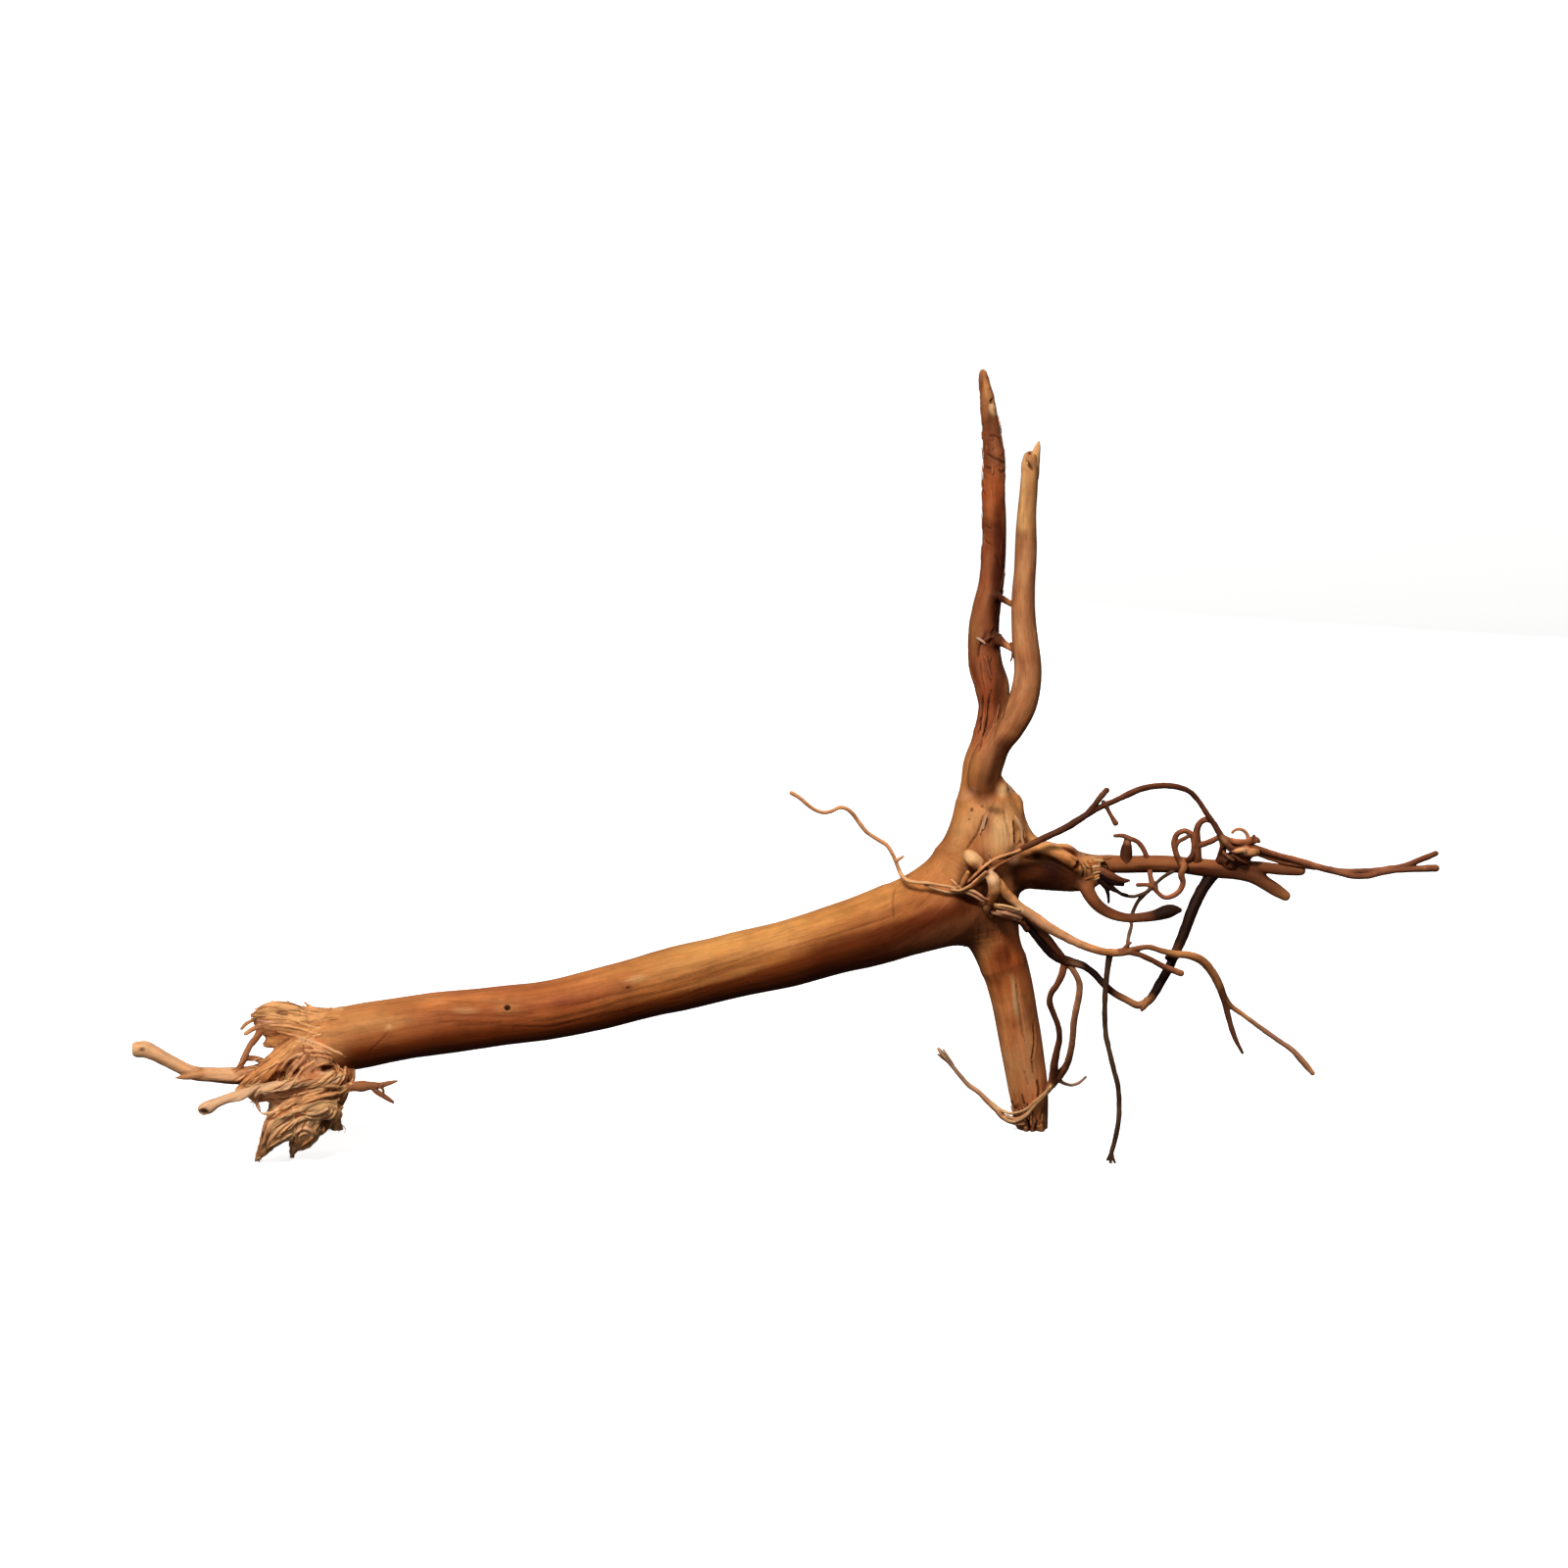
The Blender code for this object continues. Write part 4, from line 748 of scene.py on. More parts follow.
# Slender roots: name: (crease, tone, rows).
RIGHT_ROOTS = {
    "blade_long": (0.4, "dark", [(1108, 886, -3, 5), (1122, 889, -5, 4.6), (1134, 894.6, -6, 4.2), (1144, 898.4, -6, 3), (1152, 898.6, -6, 1)]),
    "blade_mid": (0.4, "black", [(1112, 886, -3, 5), (1124, 893, -5.4, 4), (1136, 900.4, -6, 2.8), (1146, 903, -6, 1.2)]),
    "blade_low": (0.3, "black", [(1110, 888, -3, 4), (1120, 896, -5, 3), (1130, 904.6, -6, 2), (1140, 910, -6, 1.2), (1150, 913, -6, 1)]),
    "blade_down": (0.4, "black", [(1113, 889, -4, 5), (1122, 897, -5, 3.6), (1128, 905, -5.8, 2.4), (1130.8, 913, -6, 1.7), (1131.3, 921, -6, 0.9)]),
    "stub_upright": (0.5, "dark", [(1149, 882, -1, 5.6), (1149.2, 868, -1, 5.6), (1150, 861, -1, 4.2), (1150.3, 856.5, -1, 3)]),
    "curl_hook": (0.4, "mid", [
        (1137.5, 853, -2, 1.5), (1145.5, 852.8, -2, 2.2), (1154, 856, -2, 2.3), (1161, 859.2, -2, 2.4),
        (1166.5, 866, -2, 2.5), (1169.5, 873, -1.5, 2.5), (1171, 882, 0, 2.6),
    ]),
    "loop_left": (0.5, "mid", [
        (1205, 882, -3, 3), (1199.5, 869, -4, 2.8), (1198, 858.5, -4, 2.6), (1202, 850.5, -4, 2.5),
        (1209, 847.8, -4, 2.4), (1215.5, 851, -4, 2.4), (1218, 859, -4, 2.6), (1218.6, 869, -3, 3),
        (1220, 882, -1, 3.8),
    ]),
    "loop_left_bar": (0.3, "mid", [(1199, 866, -4, 1.8), (1202.6, 859, -4.4, 1.9), (1209, 855.4, -4.6, 1.9), (1214.6, 852, -4.2, 2)]),
    "loop_left_web": (0.4, "dark", [(1219, 866, -3, 2.4), (1216.6, 873, -3, 2.8), (1212, 879, -2, 3)]),
    "loop_right": (0.5, "mid", [
        (1222.5, 886, 0, 4.6), (1222, 872, -2, 3.9), (1221.6, 858, -3, 3.5), (1221.4, 847, -3.4, 3.1),
        (1225, 839, -4, 2.8), (1231.5, 836.2, -5, 2.6), (1237.5, 839, -6, 2.6), (1243, 847, -6, 2.7),
    ]),
    "loop_right_bar": (0.3, "mid", [(1223, 862.4, -3, 2.9), (1229, 861, -4, 2.7), (1236, 858.4, -5, 2.6), (1243.6, 854.6, -5.4, 2.6)]),
    "loop_right_post": (0.6, "dark", [(1246.6, 857, -5, 2.8), (1248, 864, -4, 3.2), (1246.6, 872, -2, 4), (1244, 882, 0, 4.8)]),
    "tangle_dark": (0.6, "dark", [(1246, 878, -2, 4.6), (1254, 876, -4, 5), (1263, 877, -5, 5), (1272, 879, -4, 4)]),
    "tangle_top": (0.4, "mid", [(1246, 853, -6, 2.4), (1254, 857.4, -6, 2.8), (1263, 859.4, -6, 3), (1272, 859.6, -5, 3), (1280, 858.4, -5, 2.6)]),
    "tangle_stub": (0.3, "mid", [(1272, 861, -5, 2.8), (1278, 857.2, -5, 3), (1283.4, 857.6, -5, 2.3), (1285, 859, -5, 1.2)]),
    "tangle_spur": (0.2, "dark", [(1278, 857.6, -5, 2.2), (1279.6, 852.6, -5, 1.2)]),
    "tangle_curl": (0.25, "light", [(1273.6, 859, -4, 1.9), (1273, 852.6, -4, 1.7), (1270, 848.4, -4, 1.6), (1265, 846, -4, 1.5), (1260.4, 846.8, -4, 1.4), (1257.6, 849.4, -4, 1.2)]),
    "tangle_pale": (0.3, "straw", [(1254, 866, -8, 2.2), (1261, 868.6, -9.6, 2.4), (1268, 867.6, -10.4, 2.7), (1271.4, 871.6, -9, 2.3)]),
    "tangle_gold": (0.5, "gold", [(1272.6, 869.4, -6.4, 4), (1277, 870, -8, 4.4), (1282, 870, -6, 3.4)]),
    "tangle_wisp": (0.25, "light", [(1249, 870, -6.6, 1.4), (1253.6, 874.6, -8.4, 1.5), (1258.6, 877.6, -8.8, 1.3)]),
    "tangle_wisp_low": (0.25, "mid", [(1251, 879.6, -6, 1.5), (1259, 873.4, -9, 1.6), (1264.6, 877.4, -9, 1.5), (1271, 880.6, -7, 1.3)]),
    "ring_low": (0.5, "mid", [
        (1204, 878, -2.5, 2.8), (1208.5, 884, -4.6, 3.4), (1205.3, 892, -5, 3.1), (1207.3, 900.5, -5, 2.7),
        (1204, 908.5, -5, 2.5), (1197, 914, -5, 2.3), (1188.5, 915.8, -5, 2.2), (1182, 911.5, -5, 2.1),
        (1177, 904, -5, 2.6), (1174, 895, -4, 2.2), (1173, 884, -1, 2.3),
    ]),
    "ring_low_stub": (0.4, "mid", [(1179, 905, -5, 2.5), (1169, 902.8, -5, 1.8), (1161, 903, -5, 1.9)]),
    "ring_low_hair": (0.3, "grey", [(1176, 905, -5, 1.9), (1186, 895.5, -4.5, 1.5), (1198, 888.5, -2, 1.7)]),
    "thread": (0.3, "grey", [
        (1179, 903, -5, 2.1), (1169.5, 911, -5, 2), (1161, 920, -3.5, 1.9), (1155.5, 932, -2, 1.7),
        (1154.3, 945, -9, 1.6), (1151.5, 956, -17, 1.6), (1150, 971, -27, 1.7),
    ]),
    "thread_hair": (0.3, "grey", [(1120, 890, -4, 2.6), (1136, 906, -5, 1.8), (1145, 912.5, -5, 1.6), (1156, 914.8, -5, 1.6), (1169, 911, -5, 1.6)]),
    "long_upper": (0.4, "mid", [
        (1256, 860, -4, 2.8), (1266, 862, -4, 3), (1278, 864.6, -4, 3), (1290, 868.4, -4, 2.9), (1305, 873, -4, 2.8),
        (1320, 877, -4, 3), (1335, 881.6, -4, 3.2), (1350, 886, -4, 3.1), (1367, 889, -4, 3),
        (1385, 889.4, -4, 2.8), (1403, 888.4, -4, 2.7), (1420, 886, -4, 2.7), (1436, 882.6, -4, 2.6),
        (1450, 877, -4, 2.7), (1465, 870.8, -4, 2.7),
    ]),
    "long_merge": (0.4, "mid", [(1268, 864, -1.5, 2.8), (1282, 869.6, -1.5, 2.9), (1294, 874.4, -1.5, 2.9), (1309, 879, -2, 2.8), (1325, 882.4, -3, 2.6), (1341, 885.4, -4, 2.2)]),
    "long_lower": (0.5, "mid", [
        (1353, 887, -4, 2.7), (1368, 891, -5.5, 2.7), (1381, 894, -6, 2.7), (1395, 894, -6, 2.7),
        (1411, 890, -5, 2.8), (1428, 887.4, -4.5, 3.1), (1446, 886.6, -4, 3.2), (1465, 886, -4, 3.4),
    ]),
    "dark_root": (0.8, "black", [
        (1241, 886, 1, 7.4), (1232.5, 899, 0, 6.2), (1223.5, 914, -3, 5.6), (1215.5, 932, -6, 5.4),
        (1207.5, 953, -10, 5.2), (1200, 971, -13, 4.7), (1193.5, 986, -15, 4.2), (1184.5, 1002, -16, 4.4),
        (1176, 1016, -17, 4.2), (1170.5, 1022.5, -17, 3.8), (1163, 1025.5, -17, 3.5), (1149, 1020, -17, 3.3),
        (1135, 1012, -17, 3.2), (1124.5, 1002, -16, 3.2), (1115, 992, -15, 3.4), (1105, 985.5, -14, 3.6),
        (1092, 981.5, -13, 4.4), (1079, 976.5, -13.4, 4.8), (1066.5, 965.5, -13.4, 4.9), (1056, 952, -13, 4.8),
        (1047, 940, -12, 5), (1036, 929.5, -9, 6), (1026, 922, -4, 7),
    ]),
    "dark_root_nub": (0.3, "dark", [(1170, 1021, -17.5, 3.2), (1168, 1027, -18, 2.4), (1165, 1031, -18, 1.2)]),
    "dark_root_twin": (0.8, "dark", [
        (1088, 982, -14, 3), (1078, 969, -16, 3.6), (1068, 956.5, -16.4, 3.9), (1058, 944, -15.6, 4),
        (1048, 934.5, -13.6, 4), (1038, 925, -10, 5), (1028, 917, -6, 6),
    ]),
    "dark_web": (0.4, "black", [(1191, 977, -22, 2.4), (1197, 979, -19, 2.6), (1201, 975, -16, 3)]),
}
ARCH_AND_FRONT = {
    "knob_upper": (0.8, "gold", [(987, 871, -12, 3), (989.5, 873.6, -16, 6.4), (993, 877, -17.6, 7.4), (998, 882, -17.6, 7.4), (1002.6, 888, -15.6, 6.8), (1006, 895, -11.6, 5.4)]),
    "front_root": (0.8, "gold", [
        (1014, 895, -16, 3.6), (1019.6, 902, -19.4, 4.8), (1026.6, 911.4, -19.6, 5), (1034.6, 920, -19.6, 4.8),
        (1042, 926.6, -20, 4.6), (1052, 933.8, -21, 5.3), (1069, 945.8, -23, 4.8), (1087, 956, -25, 4.4),
        (1105, 964.7, -27, 3.9), (1125, 971, -28, 3.6), (1145, 972, -28, 3.4), (1159, 968.3, -28, 2.8),
        (1172, 966.5, -28, 2.5), (1186, 970.5, -28, 2.8), (1200, 973.5, -27, 3.3), (1214, 975, -26, 3.7),
        (1225.5, 979.5, -25, 4.1), (1236, 990.5, -24, 4.2), (1243, 1003, -23, 3.9), (1248, 1015, -22, 3.4),
        (1254.5, 1025, -22, 2.6), (1267, 1034.5, -22, 2.2), (1284, 1047, -22, 2.2), (1302, 1060, -23, 2.2),
        (1319, 1072, -24, 2.5), (1329, 1083, -24, 3), (1339.5, 1095, -24, 2.1),
    ]),
    "knob_lower": (0.6, "gold", [(1007.6, 889, -13, 2.6), (1010.4, 893, -18, 5.2), (1013.6, 898.6, -20.4, 6.4), (1015.2, 906, -20.4, 6.2), (1013.4, 914, -19, 5.2), (1010, 920.4, -17.4, 4.4), (1008, 926.6, -15, 4.2), (1010.6, 932, -12, 4)]),
    "front_root_side": (0.5, "mid", [
        (1143, 970.5, -28, 2.7), (1160, 973.5, -28, 2.6), (1175, 979.5, -27, 2.6), (1189, 987, -26, 2.7),
        (1205, 993, -26, 3.1),
    ]),
    "front_root_bud": (0.3, "mid", [(1146, 970, -28, 2.2), (1150, 965, -28, 1.7), (1154, 962, -28, 1.1)]),
    "front_root_drop": (0.5, "dark", [
        (1246, 1009, -22.5, 3.1), (1251.5, 1030, -22, 2.8), (1256, 1047, -22, 2.6), (1261, 1061, -22, 2.1),
        (1268, 1074.5, -22, 1.1),
    ]),
    "arch": (0.6, "dark", [
        (1266, 869, -8, 2.2), (1258, 866.4, -9, 2.7), (1250.6, 859.6, -8.4, 2.9), (1244.6, 850.6, -7.6, 2.9), (1238.6, 840.6, -7.4, 2.7),
        (1230.6, 829, -8, 2.6), (1222, 816, -9, 2.5), (1214, 808, -10, 2.5), (1203, 803.5, -11, 2.7),
        (1190, 801.8, -12, 2.9), (1177, 802.5, -13, 3), (1163, 805.5, -14, 3), (1150, 811, -15, 3),
        (1138, 817, -16, 2.7), (1125, 822.5, -17, 2.7), (1112, 829.5, -18, 2.9), (1100, 837, -18, 3.3),
        (1086, 845.5, -18, 3.4), (1072, 852, -18, 3.4), (1058, 858.5, -18, 3.1), (1046, 864.5, -18, 2.8),
        (1036, 869.5, -18, 2.3), (1027, 873.4, -18, 1.6), (1019, 876.5, -18.2, 1.0),
    ]),
    "bundle_a": (0.25, "straw", [
        (1040, 868.4, -19.4, 1.0), (1028, 872, -20, 1.3), (1017, 876, -20.4, 1.4), (1006.5, 882.5, -20.8, 1.4), (997.6, 890.6, -20.8, 1.4),
        (989.5, 898.4, -20.2, 1.3), (981, 906, -19, 1.2),
    ]),
    "bundle_b": (0.25, "rust", [
        (1032, 875.5, -18.4, 1.2), (1021, 881, -19, 1.6), (1010.5, 888.6, -19.4, 1.7), (1002, 897, -19.4, 1.6), (993, 904.6, -18.8, 1.5),
        (984, 910.6, -18, 1.3),
    ]),
    "bundle_c": (0.25, "rust", [
        (1024, 872.6, -17.6, 1.2), (1012, 878, -18.4, 1.6), (1003.4, 885.6, -18.8, 1.6), (995, 894, -18.8, 1.7), (987, 901.6, -18.6, 1.6), (979, 906.6, -18, 1.4),
    ]),
    "bundle_d": (0.2, "straw", [(1006, 889, -21.6, 0.8), (997, 897.6, -22, 1.3), (989, 904.4, -21.4, 1.4), (980, 908.6, -20, 1.2), (970, 908.4, -18.6, 0.8)]),
    "arch_stub": (0.4, "dark", [(1109, 831, -18, 2.6), (1118, 820, -18, 2.5), (1124, 812, -18, 2.9), (1129, 806.5, -18, 2.8)]),
    "arch_twig": (0.3, "mid", [(1126, 818.5, -17, 2), (1132.5, 830, -17, 1.9), (1138.3, 840, -17, 2.7)]),
    "tail": (0.4, "straw", [
        (988, 904.8, -18.5, 1.4), (976, 905.4, -18.6, 1.4), (962, 903.8, -18, 1.4), (948, 901.2, -17.4, 1.5),
        (935, 900.4, -16.4, 1.6), (926, 898.6, -15, 1.8), (920, 893, -14, 1.8), (916, 884, -13, 1.8),
        (911, 872, -12, 1.8), (905, 862.5, -11, 1.8), (895, 856, -10, 1.8), (884, 848.5, -10, 1.8),
        (877, 840, -10, 1.8), (871, 831.5, -10, 1.9), (865, 825.8, -10, 1.8), (857.5, 823.8, -10, 1.8),
        (850, 827, -10, 1.7), (842, 829, -10, 1.7), (834, 827.5, -10, 1.7), (824, 821, -10, 1.7),
        (815, 813.5, -10, 1.7), (807.5, 809, -10, 2),
    ]),
    "tail_twin": (0.2, "pale", [(984, 909.6, -17.6, 1.4), (975, 910.6, -17.6, 1.4), (964, 909.6, -17.2, 1.4), (954, 906.6, -16.8, 1.3), (944, 903, -16.6, 1.0)]),
    "tail_spur": (0.2, "straw", [(915, 878, -13, 1.5), (919, 875.5, -13, 1.2), (922, 873.5, -13, 0.9)]),
    "splinter_a": (0.2, "gold", [(981, 907, -18, 1.6), (984, 898.6, -20, 2.6), (987.4, 890.6, -21, 2.0)]),
    "splinter_b": (0.2, "rose", [(980, 907, -18, 1.5), (975, 902, -19, 1.3), (970.5, 897.5, -19, 0.9)]),
    "splinter_c": (0.2, "rose", [(984, 909, -18.5, 1.8), (994, 914, -19.5, 1.5), (1003, 919, -19, 1.5), (1012, 923, -17, 1.7)]),
    "splinter_d": (0.2, "rose", [(985, 906.5, -19.4, 1.6), (996, 911, -20.4, 1.4), (1005, 917, -20, 1.3), (1013, 920, -18, 1.4)]),
    "splinter_e": (0.2, "rose", [(1010, 881, -19, 1.8), (1009.5, 875, -20, 1.2), (1009, 870.5, -20.5, 0.8)]),
    "shelf": (0.25, "rose", [(1014, 924.6, -17, 1.4), (1021, 925.6, -21, 1.9), (1030, 927.6, -21.6, 2), (1039, 930.6, -21, 1.8), (1043.6, 934.6, -19, 1.4)]),
    "shelf_rim": (0.2, "pale", [(1015, 923, -19, 0.9), (1022, 923.6, -22, 1.1), (1031, 925.6, -22.6, 1.2), (1040, 929, -22, 0.9)]),
    "shelf_low": (0.3, "dark", [(1014, 932, -16, 2.2), (1022, 934, -19.6, 2.6), (1032, 936.6, -20, 2.8), (1041, 940.4, -18, 2.8), (1048, 948, -15, 3)]),
    "shelf_chip": (0.2, "rose", [(1018, 930, -19, 1.6), (1026, 931.6, -21.4, 1.9), (1034, 934, -21.2, 1.8), (1042, 937, -19.4, 1.4)]),
    "drop_left": (0.6, "mid", [
        (1087, 979, -13, 3.6), (1083.5, 994, -12, 3.2), (1078.5, 1005, -11, 3), (1072.5, 1014, -9, 3),
        (1071, 1021, -8, 2.9), (1075, 1034, -5, 2.7), (1080, 1048, -1, 2.7), (1081, 1060, 3, 2.8),
        (1078, 1074, 7, 3.2), (1076, 1085, 11, 3.8), (1075, 1096, 16, 4.2), (1073, 1106, 20, 3.8),
        (1069, 1112, 22, 3),
    ]),
    "drop_right": (0.6, "light", [
        (1086, 979, -13, 2.9), (1096, 991.5, -12, 2.8), (1101.3, 1003, -10, 3), (1101, 1015, -8, 3.1),
        (1098, 1030, -5, 3.1), (1095.5, 1045, -1, 3), (1094.5, 1060, 3, 2.9), (1092, 1075, 8, 3),
        (1088, 1087, 13, 3.4), (1082, 1096, 17, 4), (1074, 1105, 20, 4.4),
    ]),
    "drop_hook": (0.3, "grey", [(1079, 1101, 18, 2.2), (1087, 1106, 18, 1.4), (1094, 1107.3, 18, 1.3), (1101, 1105, 18, 1.2), (1108, 1099, 18, 1)]),
    "foot_wrap": (0.2, "pale", [(1072, 1109, 17.4, 1.4), (1066, 1115.6, 20, 1.2), (1056, 1124, 22.4, 1.1), (1046, 1132.6, 24.6, 1.1), (1038, 1135.4, 27, 1.2), (1030, 1136, 29.4, 1.3), (1020, 1131.6, 31.4, 1.3), (1012, 1125, 32, 1.2)]),
    "foot_strand": (0.3, "straw", [
        (1044, 1146, 29.6, 2.4), (1034, 1144.6, 31, 2.8), (1024, 1140, 32, 2.8), (1016, 1131.5, 32, 2.8), (1007, 1123, 32, 2.5),
        (998, 1114, 32, 2.3), (988, 1107, 32, 2), (978, 1095.5, 32, 1.8), (969, 1084.5, 32, 1.8),
        (961, 1075, 32, 1.9), (957.5, 1070, 32, 1.2),
    ]),
    "foot_strand_low": (0.2, "pale", [(1071, 1113, 18.6, 1.4), (1063.6, 1120.6, 21.2, 1.2), (1055, 1129.6, 23, 1.2), (1048.6, 1137, 24.6, 1.2), (1042, 1142, 27, 1.3), (1034, 1144.6, 29.6, 1.3), (1026, 1142, 31.6, 1.2)]),
    "foot_strand_high": (0.2, "straw", [(1072, 1111, 17.8, 1.3), (1064.6, 1118.6, 20.8, 1.0), (1057, 1126, 22.4, 1.0), (1050.4, 1133.6, 24, 1.0), (1044, 1138.6, 26, 1.2), (1036, 1141.4, 29, 1.2), (1027, 1138.6, 31, 1.2)]),
    "foot_twig": (0.3, "dark", [(1061, 1137, 30, 1.6), (1068, 1140, 30, 1.2), (1072, 1141, 30, 0.8)]),
    "strand_tip_a": (0.2, "light", [(972, 1087, 32, 1.6), (967, 1078, 31, 1.2), (962.5, 1071, 31, 0.7)]),
    "strand_tip_b": (0.2, "light", [(970, 1086, 32, 1.6), (963, 1080, 33, 1.2), (957, 1076, 33, 0.7)]),
    "feeler": (0.4, "grey", [
        (1133, 971, -27, 3), (1130.5, 985, -25.5, 2.7), (1129, 998, -24.5, 2.6), (1127.5, 1020, -23.5, 2.6),
        (1127.3, 1040, -22.5, 2.5), (1128.5, 1056, -22, 2.5), (1132, 1072, -21.5, 2.4), (1137, 1093, -20.5, 2.4),
        (1140.5, 1107, -20, 2.4), (1142, 1122, -19.5, 2.4), (1142, 1137, -19, 2.4), (1140, 1153, -18.5, 2.3),
        (1136.5, 1168, -18, 2.1), (1134, 1177, -18, 2), (1133, 1183, -18, 1.2), (1134, 1190, -18, 0.9),
    ]),
    "feeler_fork": (0.2, "grey", [(1134.5, 1177, -18, 1.7), (1136, 1182, -18, 1.3), (1138, 1187, -18, 0.8)]),
    "feeler_fork_b": (0.2, "grey", [(1133.6, 1177, -18, 1.5), (1131, 1181, -18, 1.1), (1129.5, 1184, -18, 0.7)]),
}

# ---------------------------------------------------------------- the marks
# Front-view lines: (points (across, down), width mm, depth mm, darkness).

CRACKS = [
    ([(1008, 826), (1003, 835), (998, 848), (991, 860), (984, 870)], 0.65, 0.7, 0.75),
    ([(1034, 836), (1035, 844), (1036, 852), (1037, 862)], 1.3, 2.0, 0.9),
    ([(1016, 815), (1010, 830), (1008, 850)], 0.8, 0.25, 0.25),
    ([(1024, 822), (1026, 840), (1031, 858)], 0.8, 0.25, 0.25),
    ([(914, 905), (911, 918), (912, 940)], 0.7, 0.3, 0.45),
    ([(925, 900), (931, 904), (938, 908)], 0.6, 0.3, 0.4),
    ([(397, 1052), (388, 1062), (376, 1074)], 0.6, 0.25, 0.4),
    ([(1054, 1040), (1055, 1062), (1053, 1084), (1057, 1104)], 0.7, 0.7, 0.6),
    ([(1058, 1100), (1060, 1112), (1059, 1122)], 0.8, 0.9, 0.8),
    ([(1036, 996), (1038, 1016), (1041, 1040), (1046, 1066)], 0.7, 0.5, 0.5),
    ([(1045, 1090), (1049, 1110)], 0.7, 0.4, 0.4),
    ([(1033, 1128), (1036, 1136), (1035, 1146)], 1.0, 1.4, 0.9),
    ([(1048, 1140), (1050, 1150), (1049, 1160)], 1.0, 1.6, 0.9),
    ([(1058, 1142), (1057, 1152), (1058, 1162)], 0.9, 1.2, 0.8),
    ([(1012, 700), (1008, 722), (1005, 745), (999, 768)], 0.8, 0.9, 0.9),
    ([(1003, 708), (1001, 726), (1000, 748)], 0.7, 0.7, 0.85),
    ([(1007, 735), (1003, 752), (998, 770)], 0.6, 0.5, 0.8),
    ([(1000, 672), (1002, 690), (1005, 706)], 0.6, 0.4, 0.6),
    ([(1012, 668), (1010, 684), (1012, 700)], 0.6, 0.4, 0.6),
    ([(1008, 644), (1003, 652), (999, 662), (998, 674)], 0.7, 0.6, 0.8),
    ([(1016, 638), (1012, 648), (1008, 660)], 0.7, 0.5, 0.7),
    ([(1013, 407), (1011, 410), (1012, 413)], 0.7, 0.8, 0.9),
    ([(1007, 446), (1013, 444), (1020, 448), (1022, 456)], 0.6, 0.5, 0.8),
    ([(1006, 462), (1012, 466), (1020, 470), (1026, 474)], 0.6, 0.6, 0.9),
    ([(1005, 476), (1010, 478), (1014, 484)], 0.6, 0.5, 0.8),
    ([(1018, 478), (1022, 482), (1026, 480)], 0.6, 0.5, 0.8),
    ([(1003, 492), (1004, 502), (1008, 506)], 0.5, 0.3, 0.7),
    ([(1005, 536), (1010, 539), (1014, 537.6)], 0.6, 0.3, 0.5),
    ([(1004, 545), (1006, 552), (1013, 556)], 0.5, 0.4, 0.7),
    ([(1014, 566), (1018, 572), (1019, 582)], 0.6, 0.4, 0.7),
    ([(1016, 600), (1018, 616), (1016, 632)], 0.6, 0.4, 0.6),
    ([(1047, 470), (1051, 476), (1055, 481)], 0.9, 0.9, 0.85),
    ([(1060, 876), (1075, 884), (1092, 893)], 0.7, 0.4, 0.5),
    ([(1101, 880), (1106, 887), (1104, 898)], 0.8, 1.0, 0.85),
    ([(1109, 877), (1113, 884), (1115, 893)], 0.7, 0.8, 0.8),
    ([(1092, 873), (1098, 879), (1101, 886)], 0.6, 0.6, 0.6),
    ([(1150, 884), (1190, 885), (1230, 888)], 0.6, 0.3, 0.5),
]
# Where the trunk's painted shade begins, and fine checks beside the ridge that parts the trunk's lit side from the side
# painted in shade.
LIT_EDGE = [
    (340, 1068), (400, 1062), (450, 1053), (500, 1049), (550, 1044), (620, 1029), (700, 1008), (760, 992), (820, 974),
    (860, 957), (900, 943), (930, 932), (955, 924), (980, 918), (1010, 920),
]
RIDGE = [(560, 1040), (600, 1031), (700, 1003), (800, 968), (900, 937), (945, 917)]
_fine = np.random.default_rng(7)
for _ in range(26):
    _from = _fine.uniform(430, 860)
    _run = _fine.uniform(40, 150)
    _off = _fine.normal(2, 7)
    _at = np.linspace(_from, min(_from + _run, 950), 6)
    _down = np.interp(_at, [row[0] for row in RIDGE], [row[1] for row in RIDGE]) + _off + (560 - _at).clip(0) * -0.02
    CRACKS.append((list(zip(_at, _down)), _fine.uniform(0.45, 0.8), _fine.uniform(0.06, 0.22), _fine.uniform(0.12, 0.40)))
KNOTS = [
    # across, down, radius mm, depth mm, rim mm, darkness
    (518, 1028.6, 1.25, 1.3, 0.35, 0.95), (991.6, 826.4, 0.8, 0.6, 0.05, 0.8), (989, 836, 0.6, 0.5, 0.0, 0.7),
    (1002, 823, 0.6, 0.5, 0.0, 0.7), (397, 1048, 1.1, -0.3, 0.0, 0.0), (1037, 1131, 1.1, 1.0, 0.0, 0.8),
    (641, 1008, 0.7, 0.5, 0.1, 0.6), (1015, 455, 1.0, -0.3, 0.0, 0.0), (1009, 470, 0.9, -0.3, 0.0, 0.0),
    (1021, 463, 0.8, -0.3, 0.0, 0.0), (1012, 540, 1.0, -0.25, 0.0, 0.0),
]

GOLD, RED, UMBER, CREAM = (0.62, 0.235, 0.055), (0.44, 0.115, 0.026), (0.17, 0.050, 0.016), (0.84, 0.48, 0.20)
TAN, DARK, BLACK, ORANGE = (0.56, 0.25, 0.095), (0.085, 0.026, 0.009), (0.020, 0.007, 0.0035), (0.50, 0.150, 0.038)
ROSE, BUFF = (0.66, 0.33, 0.18), (0.70, 0.36, 0.15)

